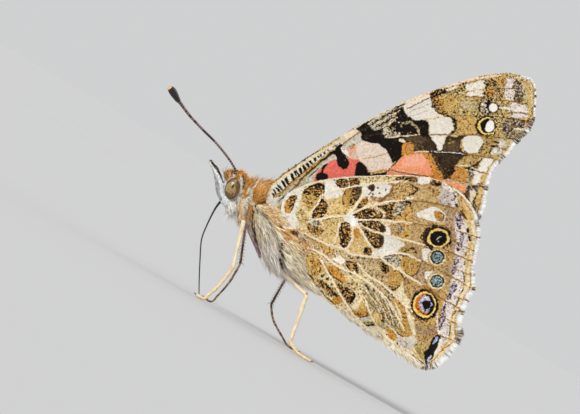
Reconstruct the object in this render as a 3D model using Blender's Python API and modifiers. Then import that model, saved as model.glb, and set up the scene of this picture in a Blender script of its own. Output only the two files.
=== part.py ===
"""A painted lady butterfly, life size, standing on a level floor with its wings closed over its back.

The insect is drawn from its left side, in millimetres, on a plate: a runs back from the forewing
root, b runs up from it, and c runs out from the plane of symmetry to the insect's left. The plate is
drawn as the insect clings to a slope, so an empty called stance tips it until its feet are level.
The head points to -X, the left side faces -Y, and the origin is on the floor under the middle.
"""

import math

import bmesh
import bpy
from mathutils import Matrix, Vector

MM = 0.001

# Stance
SLOPE = math.radians(30)  # of the plate's floor line
ROOT_HEIGHT = 12.0  # forewing root above the floor
ROOT_BACK = -4.53  # forewing root from the middle of the model
GAP = 0.1  # between neighbouring solids

# Wings
WING_THICK = 0.5
FOREWING_OUT = 0.45  # of the forewing's middle surface from the plane of symmetry
LAYER = 0.8  # from the forewing's middle surface to the hindwing's
ROOT_SPREAD = 1.5  # how much further out the wings stand at their roots
ROOT_REACH = 5.0  # how far from the root that spread dies away
MARGIN_OUT = 0.6  # of the hindwing's lower part, which closes under the abdomen
BODY_CLEAR = 0.42  # from the body's sides to the hindwing's middle surface
FOREWING_STEP = 2.2  # of the wings' facets
HINDWING_STEP = 1.3

# How the hindwing rounds the body
ACROSS = 0.75  # of a step in b, square to the body's line
SIDE_FADE = 1.6  # times a ring's height, over which the body's side fades
SOFT_MEET = 0.25  # where the two surfaces blend

# Outlines on the plate, to the tips of the fringe: costa, apex, outer margin, tornus, inner margin
FOREWING = (
    (-0.4, 0.2), (0.6, 2.0), (3.2, 3.9), (6.8, 6.2), (11.0, 8.6), (15.2, 10.5), (19.4, 11.9),
    (22.6, 12.6), (24.9, 12.5), (26.3, 12.0), (26.6, 11.2), (26.6, 9.2), (26.3, 7.3),
    (25.2, 6.0), (23.8, 4.4), (22.4, 2.9), (21.9, 1.2), (21.4, -1.2), (20.6, -2.3),
    (14.0, -2.0), (7.0, -1.6), (1.6, -1.4), (0.0, -0.9),
)
HINDWING = (
    (1.1, -0.9), (1.5, 0.3), (3.0, 1.3), (6.0, 2.1), (10.0, 2.4), (13.6, 2.45), (16.8, 1.95),
    (19.2, 0.6), (20.7, -1.5), (21.1, -3.5), (20.8, -5.2), (20.5, -7.2), (20.6, -8.8),
    (19.9, -10.3), (19.3, -12.2), (19.4, -13.6), (18.6, -15.0), (17.6, -16.2), (16.4, -17.0),
    (15.0, -16.9), (13.6, -15.7), (11.4, -14.1), (9.0, -12.7), (6.4, -10.7), (4.0, -8.4),
    (2.2, -5.6), (1.3, -3.0),
)

# Rings of the lofted body pieces: a, b of the middle, height above it, depth below it, half width
PROTHORAX = (
    (-3.2, 0.5, 0.9, 0.8, 0.5), (-2.9, 0.4, 1.7, 1.9, 1.0), (-2.3, 0.1, 2.2, 2.4, 1.5),
    (-1.6, -0.2, 2.5, 2.7, 1.9), (-0.7, -0.4, 2.5, 2.4, 1.9), (0.2, -0.6, 2.3, 1.6, 1.7),
    (1.0, -0.8, 1.6, 1.0, 1.2), (1.4, -0.9, 0.7, 0.5, 0.6),
)
THORAX = (
    (-1.9, -0.7, 0.9, 0.7, 0.8), (-1.4, -1.2, 2.1, 1.4, 1.9), (-0.4, -2.4, 3.1, 1.95, 2.5),
    (0.7, -3.7, 3.3, 2.35, 2.6), (1.8, -4.9, 2.8, 2.6, 2.45), (2.8, -5.9, 2.2, 2.35, 2.1),
    (3.7, -6.8, 1.6, 1.85, 1.7), (4.2, -7.2, 0.8, 1.0, 0.9),
)
ABDOMEN = (
    (3.0, -6.0, 0.8, 0.8, 0.8), (3.5, -6.4, 1.5, 1.5, 1.6), (5.4, -7.9, 1.75, 1.7, 1.9),
    (7.6, -9.5, 1.65, 1.55, 1.75), (9.6, -11.0, 1.2, 1.2, 1.3), (11.0, -12.0, 0.7, 0.7, 0.75),
    (11.4, -12.3, 0.3, 0.3, 0.3),
)

# Ellipsoids: middle a, b, c; half sizes; lean of the long axis from b towards a
HEAD = ((-3.6, 1.2, 0.0), (1.3, 1.85, 1.2), math.radians(12))
EYE = ((-3.75, 1.15, 0.9), (0.75, 1.08, 0.66), math.radians(17))
TEGULA = ((-0.95, 0.65, 1.75), (0.85, 1.0, 0.6), math.radians(20))

# Tubes: a, b, c and radius along each
PALP = (
    (-3.7, -0.9, 0.62, 0.50), (-4.35, -0.1, 0.60, 0.55), (-4.9, 0.9, 0.57, 0.50),
    (-5.1, 1.9, 0.53, 0.43), (-5.4, 2.95, 0.47, 0.34), (-5.75, 3.55, 0.42, 0.27),
    (-5.95, 3.85, 0.40, 0.14),
)
PROBOSCIS = (
    (-4.9, 0.2, 0.0, 0.25), (-5.5, -0.9, 0.0, 0.25), (-6.35, -2.6, 0.0, 0.25),
    (-6.85, -4.0, 0.0, 0.25), (-7.0, -6.0, 0.0, 0.25), (-7.1, -9.4, 0.0, 0.25),
)
ANTENNA = (
    (-3.5, 2.2, 0.42, 0.25), (-3.45, 3.0, 0.50, 0.25), (-4.15, 4.15, 0.85, 0.25),
    (-5.4, 5.7, 1.6, 0.25), (-6.8, 7.1, 2.5, 0.25), (-8.0, 8.4, 3.4, 0.25),
    (-8.9, 9.6, 4.2, 0.25), (-9.2, 10.0, 4.5, 0.34), (-9.7, 10.75, 5.0, 0.40),
    (-10.0, 11.2, 5.3, 0.28),
)
RIGHT_ANTENNA_REACH = 1.02  # of the left one's
FORELEG = (
    (-2.3, 0.2, 1.75, 0.30), (-2.5, -0.6, 1.85, 0.38), (-2.8, -1.7, 1.60, 0.33),
    (-3.0, -2.3, 1.35, 0.25),
)

# Walking legs: hip, knee, ankle and the foot's points; a height stands for b where the foot lies
FEMUR_RADIUS = (0.36, 0.27)
TIBIA_RADIUS = (0.27, 0.25)
TARSUS_RADIUS = (0.25, 0.25)
JOINT_REACH = 0.2  # how far each segment runs past its joint before it is mitred
LEGS = {
    "midleg_left": (
        (-1.1, -5.3, 1.2), (-2.6, -2.05, 2.3), (-3.7, -6.8, 3.0),
        ((-5.1, 2.05, 3.3), (-6.05, 0.85, 3.5), (-6.6, 0.19, 3.6), (-7.35, 0.19, 3.8)),
    ),
    "midleg_right": (
        (-1.1, -5.3, -1.2), (-2.35, -1.8, -2.4), (-3.0, -6.4, -3.3),
        ((-4.1, 2.8, -3.7), (-5.3, 1.0, -4.0), (-5.9, 0.19, -4.1), (-6.65, 0.19, -4.3)),
    ),
    "hindleg_left": (
        (0.5, -6.4, 0.7), (3.65, -9.5, 2.3), (2.0, -14.1, 3.2),
        ((2.4, 0.42, 3.6), (2.9, 0.19, 4.1), (4.1, 0.19, 5.0)),
    ),
    "hindleg_right": (
        (0.5, -6.2, -0.7), (2.1, -6.9, -3.5), (0.1, -10.5, -3.9),
        ((0.3, 1.75, -4.1), (1.1, 0.8, -4.3), (1.8, 0.19, -4.5), (2.8, 0.19, -4.8)),
    ),
}

CUTTERS = "cutters"
BODY = "painted_lady"


def clear_scene():
    for obj in list(bpy.data.objects):
        bpy.data.objects.remove(obj, do_unlink=True)
    for name in (BODY, CUTTERS):
        bpy.context.scene.collection.children.link(bpy.data.collections.new(name))


def make_material(name, colour, roughness, metallic=0.0):
    made = bpy.data.materials.new(name)
    made.use_nodes = True
    shader = made.node_tree.nodes["Principled BSDF"]
    shader.inputs["Base Color"].default_value = (*colour, 1.0)
    shader.inputs["Roughness"].default_value = roughness
    shader.inputs["Metallic"].default_value = metallic
    return made


def make_stance():
    """The empty whose own axes are the plate's a, b and c."""
    stance = bpy.data.objects.new("stance", None)
    bpy.data.collections[BODY].objects.link(stance)
    lean = Matrix.Rotation(-SLOPE, 4, "Y") @ Matrix.Rotation(math.pi / 2, 4, "X")
    stance.matrix_world = Matrix.Translation(Vector((ROOT_BACK, 0, ROOT_HEIGHT)) * MM) @ lean
    return stance


def add_object(name, data, stance, material, collection=BODY):
    obj = bpy.data.objects.new(name, data)
    obj.parent = stance
    if material and not data.materials:
        data.materials.append(material)
    bpy.data.collections[collection].objects.link(obj)
    if collection == CUTTERS:
        obj.hide_render = True
        obj.display_type = "WIRE"
    return obj


def cut(piece, *cutters):
    for cutter in cutters:
        boolean = piece.modifiers.new("clear_" + cutter.name, "BOOLEAN")
        boolean.operation = "DIFFERENCE"
        boolean.object = cutter


def b_at_height(a, height):
    """Where on the plate a point stands that far above the floor."""
    return (height - ROOT_HEIGHT - a * math.sin(SLOPE)) / math.cos(SLOPE)


# Body pieces ---------------------------------------------------------------------------------


def smooth_rows(rows, steps):
    """Rows of numbers between the given ones, on Catmull-Rom curves through them."""
    ends = [rows[0], *rows, rows[-1]]
    made = []
    for before, start, stop, after in zip(ends, ends[1:], ends[2:], ends[3:]):
        for step in range(steps):
            t = step / steps
            made.append(
                [
                    0.5 * (2 * q + (r - p) * t + (2 * p - 5 * q + 4 * r - s) * t * t
                           + (3 * q - p - 3 * r + s) * t**3)
                    for p, q, r, s in zip(before, start, stop, after)
                ]
            )
    return [*made, list(rows[-1])]


def loft_mesh(name, rings, grow, steps=2, sides=18):
    """A closed body through rings that stand square to the line of their middles."""
    rows = smooth_rows(rings, steps)
    shape = bmesh.new()
    loops = []
    for i, (a, b, height, depth, width) in enumerate(rows):
        ahead, behind = rows[min(i + 1, len(rows) - 1)], rows[max(i - 1, 0)]
        along = Vector((ahead[0] - behind[0], ahead[1] - behind[1], 0)).normalized()
        up = Vector((-along.y, along.x, 0))
        end_shift = along * grow * ((i == len(rows) - 1) - (i == 0))
        loop = []
        for k in range(sides):
            turn = 2 * math.pi * k / sides
            lift = (height if math.cos(turn) > 0 else depth) + grow
            point = Vector((a, b, 0)) + end_shift + up * lift * math.cos(turn)
            point.z = (width + grow) * math.sin(turn)
            loop.append(shape.verts.new(point * MM))
        loops.append(loop)
    for near, far in zip(loops, loops[1:]):
        for k in range(sides):
            nxt = (k + 1) % sides
            shape.faces.new((near[k], near[nxt], far[nxt], far[k]))
    for loop in (loops[0], loops[-1]):
        shape.faces.new(loop)
    bmesh.ops.recalc_face_normals(shape, faces=shape.faces)
    return finish_mesh(name, shape)


def ellipsoid_mesh(name, middle, half_sizes, lean, side, grow, segments=20):
    shape = bmesh.new()
    bmesh.ops.create_uvsphere(shape, u_segments=segments, v_segments=segments // 2, radius=1)
    sizes = [(half + grow) * MM for half in half_sizes]
    place = Vector((middle[0], middle[1], middle[2] * side)) * MM
    turn = Matrix.Rotation(-lean, 4, "Z")
    shape.transform(Matrix.Translation(place) @ turn @ Matrix.Diagonal((*sizes, 1)))
    return finish_mesh(name, shape)


def finish_mesh(name, shape):
    mesh = bpy.data.meshes.new(name)
    shape.to_mesh(mesh)
    shape.free()
    mesh.shade_smooth()
    mesh.set_sharp_from_angle(angle=math.radians(50))
    return mesh


def tube_mesh(name, points, side=1, grow=0.0, smooth_steps=2):
    """A round tube through points of a, b, c and radius, from a bevelled curve with filled caps."""
    rows = smooth_rows(points, smooth_steps) if smooth_steps else [list(p) for p in points]
    curve = bpy.data.curves.new(name, "CURVE")
    curve.dimensions = "3D"
    curve.bevel_depth = MM
    curve.bevel_resolution = 2
    curve.use_fill_caps = True
    spline = curve.splines.new("POLY")
    spline.points.add(len(rows) - 1)
    for point, (a, b, c, radius) in zip(spline.points, rows):
        point.co = (a * MM, b * MM, c * side * MM, 1)
        point.radius = radius + grow
    guide = bpy.data.objects.new(name, curve)
    bpy.context.scene.collection.objects.link(guide)
    graph = bpy.context.evaluated_depsgraph_get()
    mesh = bpy.data.meshes.new_from_object(guide.evaluated_get(graph))
    bpy.data.objects.remove(guide)
    shape = bmesh.new()
    shape.from_mesh(mesh)
    bmesh.ops.remove_doubles(shape, verts=shape.verts, dist=1e-7)
    bmesh.ops.recalc_face_normals(shape, faces=shape.faces)
    return finish_mesh(name, shape)


# Wings ---------------------------------------------------------------------------------------


def rise(low, high, value):
    """0 below low, 1 above high, smooth between."""
    t = min(max((value - low) / (high - low), 0.0), 1.0)
    return t * t * (3 - 2 * t)


def forewing_out(a, b):
    """How far out the left forewing's middle surface stands."""
    return FOREWING_OUT + ROOT_SPREAD * math.exp(-((math.hypot(a, b) / ROOT_REACH) ** 2))


def body_out(a, b):
    """How far out the body's side stands there, fading smoothly above and below it."""
    rings = [*THORAX[2:7], *ABDOMEN[3:]]
    a = min(max(a, rings[0][0]), rings[-1][0])
    for near, far in zip(rings, rings[1:]):
        if a <= far[0]:
            break
    t = (a - near[0]) / (far[0] - near[0])
    _, middle, height, depth, width = (p + (q - p) * t for p, q in zip(near, far))
    across = (b - middle) * ACROSS
    reach = SIDE_FADE * (height if across > 0 else depth)
    return width * math.exp(-((across / reach) ** 2))


def hindwing_out(a, b):
    """The hindwing lies on the forewing, closes below it and swells round the body."""
    below = rise(2.0, 8.0, -b)
    rest = (forewing_out(a, b) + LAYER) * (1 - below) + MARGIN_OUT * below
    body = body_out(a, b) + BODY_CLEAR
    return (rest + body + math.hypot(rest - body, SOFT_MEET)) / 2


def outline_prism(name, outline, stance):
    """A cutter of the wing's outline, thicker than the wing is."""
    curve = bpy.data.curves.new(name, "CURVE")
    curve.dimensions = "2D"
    curve.fill_mode = "BOTH"
    curve.extrude = 8 * MM
    curve.resolution_u = 3
    spline = curve.splines.new("BEZIER")
    spline.bezier_points.add(len(outline) - 1)
    spline.use_cyclic_u = True
    for point, (a, b) in zip(spline.bezier_points, outline):
        point.co = (a * MM, b * MM, 0)
        point.handle_left_type = point.handle_right_type = "AUTO"
    guide = add_object(name, curve, None, None, CUTTERS)
    graph = bpy.context.evaluated_depsgraph_get()
    mesh = bpy.data.meshes.new_from_object(guide.evaluated_get(graph))
    bpy.data.objects.remove(guide)
    shape = bmesh.new()
    shape.from_mesh(mesh)
    bmesh.ops.remove_doubles(shape, verts=shape.verts, dist=1e-7)
    bmesh.ops.recalc_face_normals(shape, faces=shape.faces)
    return add_object(name, finish_mesh(name, shape), stance, None, CUTTERS)


def wing(name, outline, out_of, step, side, stance, material, cutters):
    """A curved sheet over the outline's box, thickened and trimmed to the outline."""
    low = [min(p[k] for p in outline) - step for k in (0, 1)]
    high = [max(p[k] for p in outline) + step for k in (0, 1)]
    counts = [round((high[k] - low[k]) / step) for k in (0, 1)]
    sheet = bmesh.new()
    bmesh.ops.create_grid(sheet, x_segments=counts[0], y_segments=counts[1], size=0.5)
    for vert in sheet.verts:
        a = low[0] + (vert.co.x + 0.5) * (high[0] - low[0])
        b = low[1] + (vert.co.y + 0.5) * (high[1] - low[1])
        vert.co = Vector((a, b, side * out_of(a, b))) * MM
    made = add_object(name, finish_mesh(name, sheet), stance, material)
    thick = made.modifiers.new("thickness", "SOLIDIFY")
    thick.thickness = WING_THICK * MM
    thick.offset = 0
    edge = made.modifiers.new("outline", "BOOLEAN")
    edge.operation = "INTERSECT"
    edge.object = outline_prism(name + "_outline", outline, stance)
    cut(made, *cutters)
    return made


# Legs ----------------------------------------------------------------------------------------


def trim(mesh, point, keep):
    """Cuts the mesh on the plane through the point and keeps the side that keep points to."""
    shape = bmesh.new()
    shape.from_mesh(mesh)
    found = bmesh.ops.bisect_plane(
        shape,
        geom=[*shape.verts, *shape.edges, *shape.faces],
        plane_co=point * MM,
        plane_no=keep,
        clear_inner=True,
    )
    rim = [e for e in found["geom_cut"] if isinstance(e, bmesh.types.BMEdge)]
    bmesh.ops.holes_fill(shape, edges=rim)
    bmesh.ops.recalc_face_normals(shape, faces=shape.faces)
    shape.to_mesh(mesh)
    shape.free()


def leg(name, hip, knee, ankle, foot, stance, material, thorax_clear):
    """Femur, tibia and tarsus, mitred to each other with a gap, and the sole cut flat."""
    sole = [(a, b_at_height(a, height), c) for a, height, c in foot]
    chain = {
        "femur": ([Vector(hip), Vector(knee)], FEMUR_RADIUS),
        "tibia": ([Vector(knee), Vector(ankle)], TIBIA_RADIUS),
        "tarsus": ([Vector(ankle), *map(Vector, sole)], TARSUS_RADIUS),
    }
    cuts = {part: [] for part in chain}
    for (near, far) in (("femur", "tibia"), ("tibia", "tarsus")):
        before, after = chain[near][0], chain[far][0]
        joint = after[0]
        parting = ((before[0] - joint).normalized() - (after[1] - joint).normalized()).normalized()
        cuts[near].append((joint + parting * GAP / 2, parting))
        cuts[far].append((joint - parting * GAP / 2, -parting))
    up = Vector((math.sin(SLOPE), math.cos(SLOPE), 0))
    cuts["tarsus"].append((up * -ROOT_HEIGHT, up))

    for part, (points, (start_radius, end_radius)) in chain.items():
        ends = [points[0] + (points[0] - points[1]).normalized() * JOINT_REACH, *points[1:]]
        if part != "tarsus":
            ends[-1] = points[-1] + (points[-1] - points[-2]).normalized() * JOINT_REACH
        rows = [
            (*point, start_radius + (end_radius - start_radius) * i / (len(ends) - 1))
            for i, point in enumerate(ends)
        ]
        node = f"{name}_{part}"
        mesh = tube_mesh(node, rows, smooth_steps=0)
        for point, keep in cuts[part]:
            trim(mesh, point, keep)
        made = add_object(node, mesh, stance, material)
        if part == "femur":
            cut(made, thorax_clear)


# Whole insect --------------------------------------------------------------------------------


def main():
    clear_scene()
    stance = make_stance()
    fur = make_material("fur", (0.52, 0.43, 0.31), 0.8)
    white_fur = make_material("white_fur", (0.75, 0.75, 0.74), 0.8)
    scales = make_material("wing_scales", (0.66, 0.52, 0.32), 0.7)
    eye_finish = make_material("eye", (0.30, 0.22, 0.09), 0.25)
    cuticle = make_material("cuticle", (0.78, 0.67, 0.44), 0.6)
    dark = make_material("dark_cuticle", (0.05, 0.04, 0.035), 0.5)

    def cutter(name, mesh):
        return add_object(name, mesh, stance, None, CUTTERS)

    thorax_clear = cutter("thorax_clear", loft_mesh("thorax_grown", THORAX, GAP))
    head_clear = cutter("head_clear", ellipsoid_mesh("head_grown", *HEAD, 1, GAP))
    prothorax_clear = cutter("prothorax_clear", loft_mesh("prothorax_grown", PROTHORAX, GAP))
    abdomen_clear = cutter("abdomen_clear", loft_mesh("abdomen_grown", ABDOMEN, GAP))
    proboscis_clear = cutter("proboscis_clear", tube_mesh("proboscis_grown", PROBOSCIS, grow=GAP))

    add_object("thorax", loft_mesh("thorax", THORAX, 0), stance, fur)
    head = add_object("head", ellipsoid_mesh("head", *HEAD, 1, 0), stance, fur)
    prothorax = add_object("prothorax", loft_mesh("prothorax", PROTHORAX, 0), stance, fur)
    abdomen = add_object("abdomen", loft_mesh("abdomen", ABDOMEN, 0), stance, fur)
    proboscis = add_object("proboscis", tube_mesh("proboscis", PROBOSCIS), stance, dark)
    cut(prothorax, head_clear, thorax_clear)
    cut(abdomen, thorax_clear)
    cut(proboscis, head_clear)

    for word, side in (("left", 1), ("right", -1)):
        eye = ellipsoid_mesh("eye_" + word, *EYE, side, 0)
        add_object("eye_" + word, eye, stance, eye_finish)
        eye_clear = cutter("eye_clear_" + word, ellipsoid_mesh("grown", *EYE, side, GAP))
        cut(head, eye_clear)

        palp = add_object("palp_" + word, tube_mesh("palp_" + word, PALP, side), stance, white_fur)
        cut(palp, head_clear, eye_clear, proboscis_clear, prothorax_clear)

        reach = 1 if side > 0 else RIGHT_ANTENNA_REACH
        base_a, base_b = ANTENNA[0][:2]
        rows = [
            (base_a + (a - base_a) * reach, base_b + (b - base_b) * reach, c, radius)
            for a, b, c, radius in ANTENNA
        ]
        antenna = add_object("antenna_" + word, tube_mesh("antenna", rows, side), stance, dark)
        cut(antenna, head_clear)

        foreleg = add_object("foreleg_" + word, tube_mesh("foreleg", FORELEG, side), stance, fur)
        cut(foreleg, prothorax_clear, thorax_clear, head_clear)

        tegula = ellipsoid_mesh("tegula_" + word, *TEGULA, side, 0)
        tegula = add_object("tegula_" + word, tegula, stance, fur)
        cut(tegula, prothorax_clear, thorax_clear)
        tegula_clear = cutter("tegula_clear_" + word, ellipsoid_mesh("grown", *TEGULA, side, GAP))

        near_body = (thorax_clear, prothorax_clear)
        wing("forewing_" + word, FOREWING, forewing_out, FOREWING_STEP, side, stance, scales,
             (*near_body, tegula_clear))
        wing("hindwing_" + word, HINDWING, hindwing_out, HINDWING_STEP, side, stance, scales,
             (*near_body, tegula_clear, abdomen_clear))

    for name, (hip, knee, ankle, foot) in LEGS.items():
        leg(name, hip, knee, ankle, foot, stance, cuticle, thorax_clear)


main()
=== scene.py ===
"""Painted lady butterfly: its looks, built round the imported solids.

Shapes are given on the insect's side plate in millimetres: a runs back along it, b up it and c out to
its left, from the forewing's root. The stance turns the plate so that the feet stand level on the floor.
"""

import math

import bpy
import numpy as np
from mathutils import Matrix, Vector
from mathutils.geometry import delaunay_2d_cdt


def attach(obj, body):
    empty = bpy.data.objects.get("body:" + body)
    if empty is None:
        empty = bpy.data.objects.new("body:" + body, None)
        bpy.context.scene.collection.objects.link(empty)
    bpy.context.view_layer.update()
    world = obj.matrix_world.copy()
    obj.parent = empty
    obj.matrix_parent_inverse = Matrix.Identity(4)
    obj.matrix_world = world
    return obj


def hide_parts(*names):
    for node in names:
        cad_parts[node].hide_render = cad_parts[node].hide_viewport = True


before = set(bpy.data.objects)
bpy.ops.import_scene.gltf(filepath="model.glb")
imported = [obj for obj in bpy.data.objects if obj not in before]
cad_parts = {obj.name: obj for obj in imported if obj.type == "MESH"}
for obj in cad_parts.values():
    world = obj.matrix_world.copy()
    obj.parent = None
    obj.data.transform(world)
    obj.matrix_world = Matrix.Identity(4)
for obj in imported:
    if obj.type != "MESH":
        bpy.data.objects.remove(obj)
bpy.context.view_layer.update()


# Stance and solids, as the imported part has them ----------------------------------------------

MM = 0.001
SLOPE = math.radians(30)  # from the plate to the floor
ROOT_HEIGHT = 12.0  # of the forewing's root over the floor
ROOT_BACK = -4.53  # of the forewing's root along the frame

FOREWING_OUT = 0.45  # from the plate to the forewing's middle surface
LAYER = 0.8  # from the forewing out to the hindwing
ROOT_SPREAD = 1.5  # how much further out the wings stand at their root
ROOT_REACH = 5.0  # how far from the root that fades
MARGIN_OUT = 0.6  # of the hindwing where it hangs below the forewing
BODY_CLEAR = 0.42  # between the body's side and the hindwing
ACROSS = 0.75  # of a height on the plate, square to the sloping body
SIDE_FADE = 1.6  # how far the body's swelling fades, for each part of its height
SOFT_MEET = 0.25  # how softly the hindwing's hanging and swollen parts meet

FOREWING = (
    (-0.4, 0.2), (0.6, 2.0), (3.2, 3.9), (6.8, 6.2), (11.0, 8.6), (15.2, 10.5), (19.4, 11.9), (22.6, 12.6),
    (24.9, 12.5), (26.3, 12.0), (26.6, 11.2), (26.6, 9.2), (26.3, 7.3), (25.2, 6.0), (23.8, 4.4), (22.4, 2.9),
    (21.9, 1.2), (21.4, -1.2), (20.6, -2.3), (14.0, -2.0), (7.0, -1.6), (1.6, -1.4), (0.0, -0.9),
)
HINDWING = (
    (1.1, -0.9), (1.5, 0.3), (3.0, 1.3), (6.0, 2.1), (10.0, 2.4), (13.6, 2.45), (16.8, 1.95), (19.2, 0.6),
    (20.7, -1.5), (21.1, -3.5), (20.8, -5.2), (20.5, -7.2), (20.6, -8.8), (19.9, -10.3), (19.3, -12.2),
    (19.4, -13.6), (18.6, -15.0), (17.6, -16.2), (16.4, -17.0), (15.0, -16.9), (13.6, -15.7), (11.4, -14.1),
    (9.0, -12.7), (6.4, -10.7), (4.0, -8.4), (2.2, -5.6), (1.3, -3.0),
)

# Rings of the body: a, b, height above, depth below, half width
PROTHORAX = (
    (-3.2, 0.5, 0.9, 0.8, 0.5), (-2.9, 0.4, 1.7, 1.9, 1.0), (-2.3, 0.1, 2.2, 2.4, 1.5),
    (-1.6, -0.2, 2.5, 2.7, 1.9), (-0.7, -0.4, 2.5, 2.4, 1.9), (0.2, -0.6, 2.3, 1.6, 1.7),
    (1.0, -0.8, 1.6, 1.0, 1.2), (1.4, -0.9, 0.7, 0.5, 0.6),
)
THORAX = (
    (-1.9, -0.7, 0.9, 0.7, 0.8), (-1.4, -1.2, 2.1, 1.4, 1.9), (-0.4, -2.4, 3.1, 1.95, 2.5),
    (0.7, -3.7, 3.3, 2.35, 2.6), (1.8, -4.9, 2.8, 2.6, 2.45), (2.8, -5.9, 2.2, 2.35, 2.1),
    (3.7, -6.8, 1.6, 1.85, 1.7), (4.2, -7.2, 0.8, 1.0, 0.9),
)
ABDOMEN = (
    (3.0, -6.0, 0.8, 0.8, 0.8), (3.5, -6.4, 1.5, 1.5, 1.6), (5.4, -7.9, 1.75, 1.7, 1.9),
    (7.6, -9.5, 1.65, 1.55, 1.75), (9.6, -11.0, 1.2, 1.2, 1.3), (11.0, -12.0, 0.7, 0.7, 0.75),
    (11.4, -12.3, 0.3, 0.3, 0.3),
)

# Rounded lumps: middle, half sizes, degrees that the top leans back
HEAD = ((-3.6, 1.2, 0.0), (1.3, 1.85, 1.2), 12)
EYE = ((-3.75, 1.15, 0.9), (0.75, 1.08, 0.66), 17)
TEGULA = ((-0.95, 0.65, 1.75), (0.85, 1.0, 0.6), 20)

# Round stalks: a, b, c, radius
PALP = (
    (-3.7, -0.9, 0.62, 0.5), (-4.35, -0.1, 0.6, 0.55), (-4.9, 0.9, 0.57, 0.5), (-5.1, 1.9, 0.53, 0.43),
    (-5.4, 2.95, 0.47, 0.34), (-5.75, 3.55, 0.42, 0.27), (-5.95, 3.85, 0.4, 0.14),
)
FORELEG = (
    (-2.3, 0.2, 1.75, 0.3), (-2.5, -0.6, 1.85, 0.38), (-2.8, -1.7, 1.6, 0.33), (-3.0, -2.3, 1.35, 0.25),
)
PROBOSCIS = (
    (-4.7, 0.1, 0.0, 0.16), (-4.9, -0.1, 0.0, 0.14), (-5.5, -0.9, 0.0, 0.1), (-6.35, -2.6, 0.0, 0.075),
    (-6.85, -4.0, 0.0, 0.07), (-7.0, -6.0, 0.0, 0.065), (-7.08, -8.0, 0.0, 0.06), (-7.1, -9.4, 0.0, 0.05),
)
ANTENNA = (
    (-3.5, 2.2, 0.42, 0.17), (-3.47, 2.6, 0.46, 0.16), (-3.45, 3.0, 0.5, 0.11), (-4.15, 4.15, 0.85, 0.105),
    (-5.4, 5.7, 1.6, 0.105), (-6.8, 7.1, 2.5, 0.11), (-8.0, 8.4, 3.4, 0.12), (-8.9, 9.6, 4.2, 0.15),
    (-9.2, 10.0, 4.5, 0.26), (-9.5, 10.5, 4.85, 0.36), (-9.75, 10.9, 5.1, 0.36), (-9.95, 11.15, 5.26, 0.24),
)
RIGHT_ANTENNA_REACH = 1.02

# Legs: hip, knee, ankle, then the foot, whose middle values are heights above the floor
LEGS = {
    "midleg_left": ((-1.1, -5.3, 1.2), (-2.6, -2.05, 2.3), (-3.7, -6.8, 3.0),
                    ((-5.1, 2.05, 3.3), (-6.05, 0.85, 3.5), (-6.6, 0.19, 3.6), (-7.35, 0.19, 3.8))),
    "midleg_right": ((-1.1, -5.3, -1.2), (-2.35, -1.8, -2.4), (-3.0, -6.4, -3.3),
                     ((-4.1, 2.8, -3.7), (-5.3, 1.0, -4.0), (-5.9, 0.19, -4.1), (-6.65, 0.19, -4.3))),
    "hindleg_left": ((0.5, -6.4, 0.7), (3.65, -9.5, 2.3), (2.0, -14.1, 3.2),
                     ((2.4, 0.42, 3.6), (2.9, 0.19, 4.1), (4.1, 0.19, 5.0))),
    "hindleg_right": ((0.5, -6.2, -0.7), (2.1, -6.9, -3.5), (0.1, -10.5, -3.9),
                      ((0.3, 1.75, -4.1), (1.1, 0.8, -4.3), (1.8, 0.19, -4.5), (2.8, 0.19, -4.8))),
}


def rise(low, high, value):
    """0 below low, 1 above high, smooth between."""
    t = np.clip((value - low) / (high - low), 0.0, 1.0)
    return t * t * (3 - 2 * t)


def to_world(points):
    """Plate millimetres to the frame's metres."""
    a, b, c = np.asarray(points, float).T
    along = ROOT_BACK + a * math.cos(SLOPE) - b * math.sin(SLOPE)
    up = ROOT_HEIGHT + a * math.sin(SLOPE) + b * math.cos(SLOPE)
    return np.stack([along, -c, up], 1) * MM


def b_at_height(a, height):
    """Where on the plate a point stands that far above the floor."""
    return (height - ROOT_HEIGHT - a * math.sin(SLOPE)) / math.cos(SLOPE)


def forewing_out(a, b):
    """How far out the left forewing's middle surface stands."""
    return FOREWING_OUT + ROOT_SPREAD * np.exp(-((np.hypot(a, b) / ROOT_REACH) ** 2))


def body_out(a, b):
    """How far out the body's side stands there, fading smoothly above and below it."""
    rings = np.array([*THORAX[2:7], *ABDOMEN[3:]])
    middle, height, depth, width = (np.interp(a, rings[:, 0], rings[:, k]) for k in (1, 2, 3, 4))
    across = (b - middle) * ACROSS
    reach = SIDE_FADE * np.where(across > 0, height, depth)
    return width * np.exp(-((across / reach) ** 2))


def hindwing_out(a, b):
    """The hindwing lies on the forewing, closes below it and swells round the body."""
    below = rise(2.0, 8.0, -b)
    rest = (forewing_out(a, b) + LAYER) * (1 - below) + MARGIN_OUT * below
    body = body_out(a, b) + BODY_CLEAR
    return (rest + body + np.hypot(rest - body, SOFT_MEET)) / 2


# Painting ------------------------------------------------------------------------------------

ROUGH_GRAIN = 0.14  # size of the lobes on a rough oval's edge
END_WIDTH = 0.55  # of a stroke's width, at its ends
MIDDLE_WIDER = 0.45  # than its ends, as a share of that width
WAVER_GRAIN = 0.35  # size of the waves in the marks' edges


def scatter(cells, seed):
    """A number from 0 to 1 for each whole-numbered cell, the same each run."""
    mixed = np.full(len(cells), seed * 2654435761 % 2**32, np.uint32)
    for k in range(cells.shape[1]):
        mixed ^= (cells[:, k].astype(np.int64) & 0xFFFFFFFF).astype(np.uint32)
        mixed *= np.uint32(2246822519)
        mixed ^= mixed >> np.uint32(13)
        mixed *= np.uint32(3266489917)
        mixed ^= mixed >> np.uint32(16)
    return mixed / 2.0**32


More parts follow.
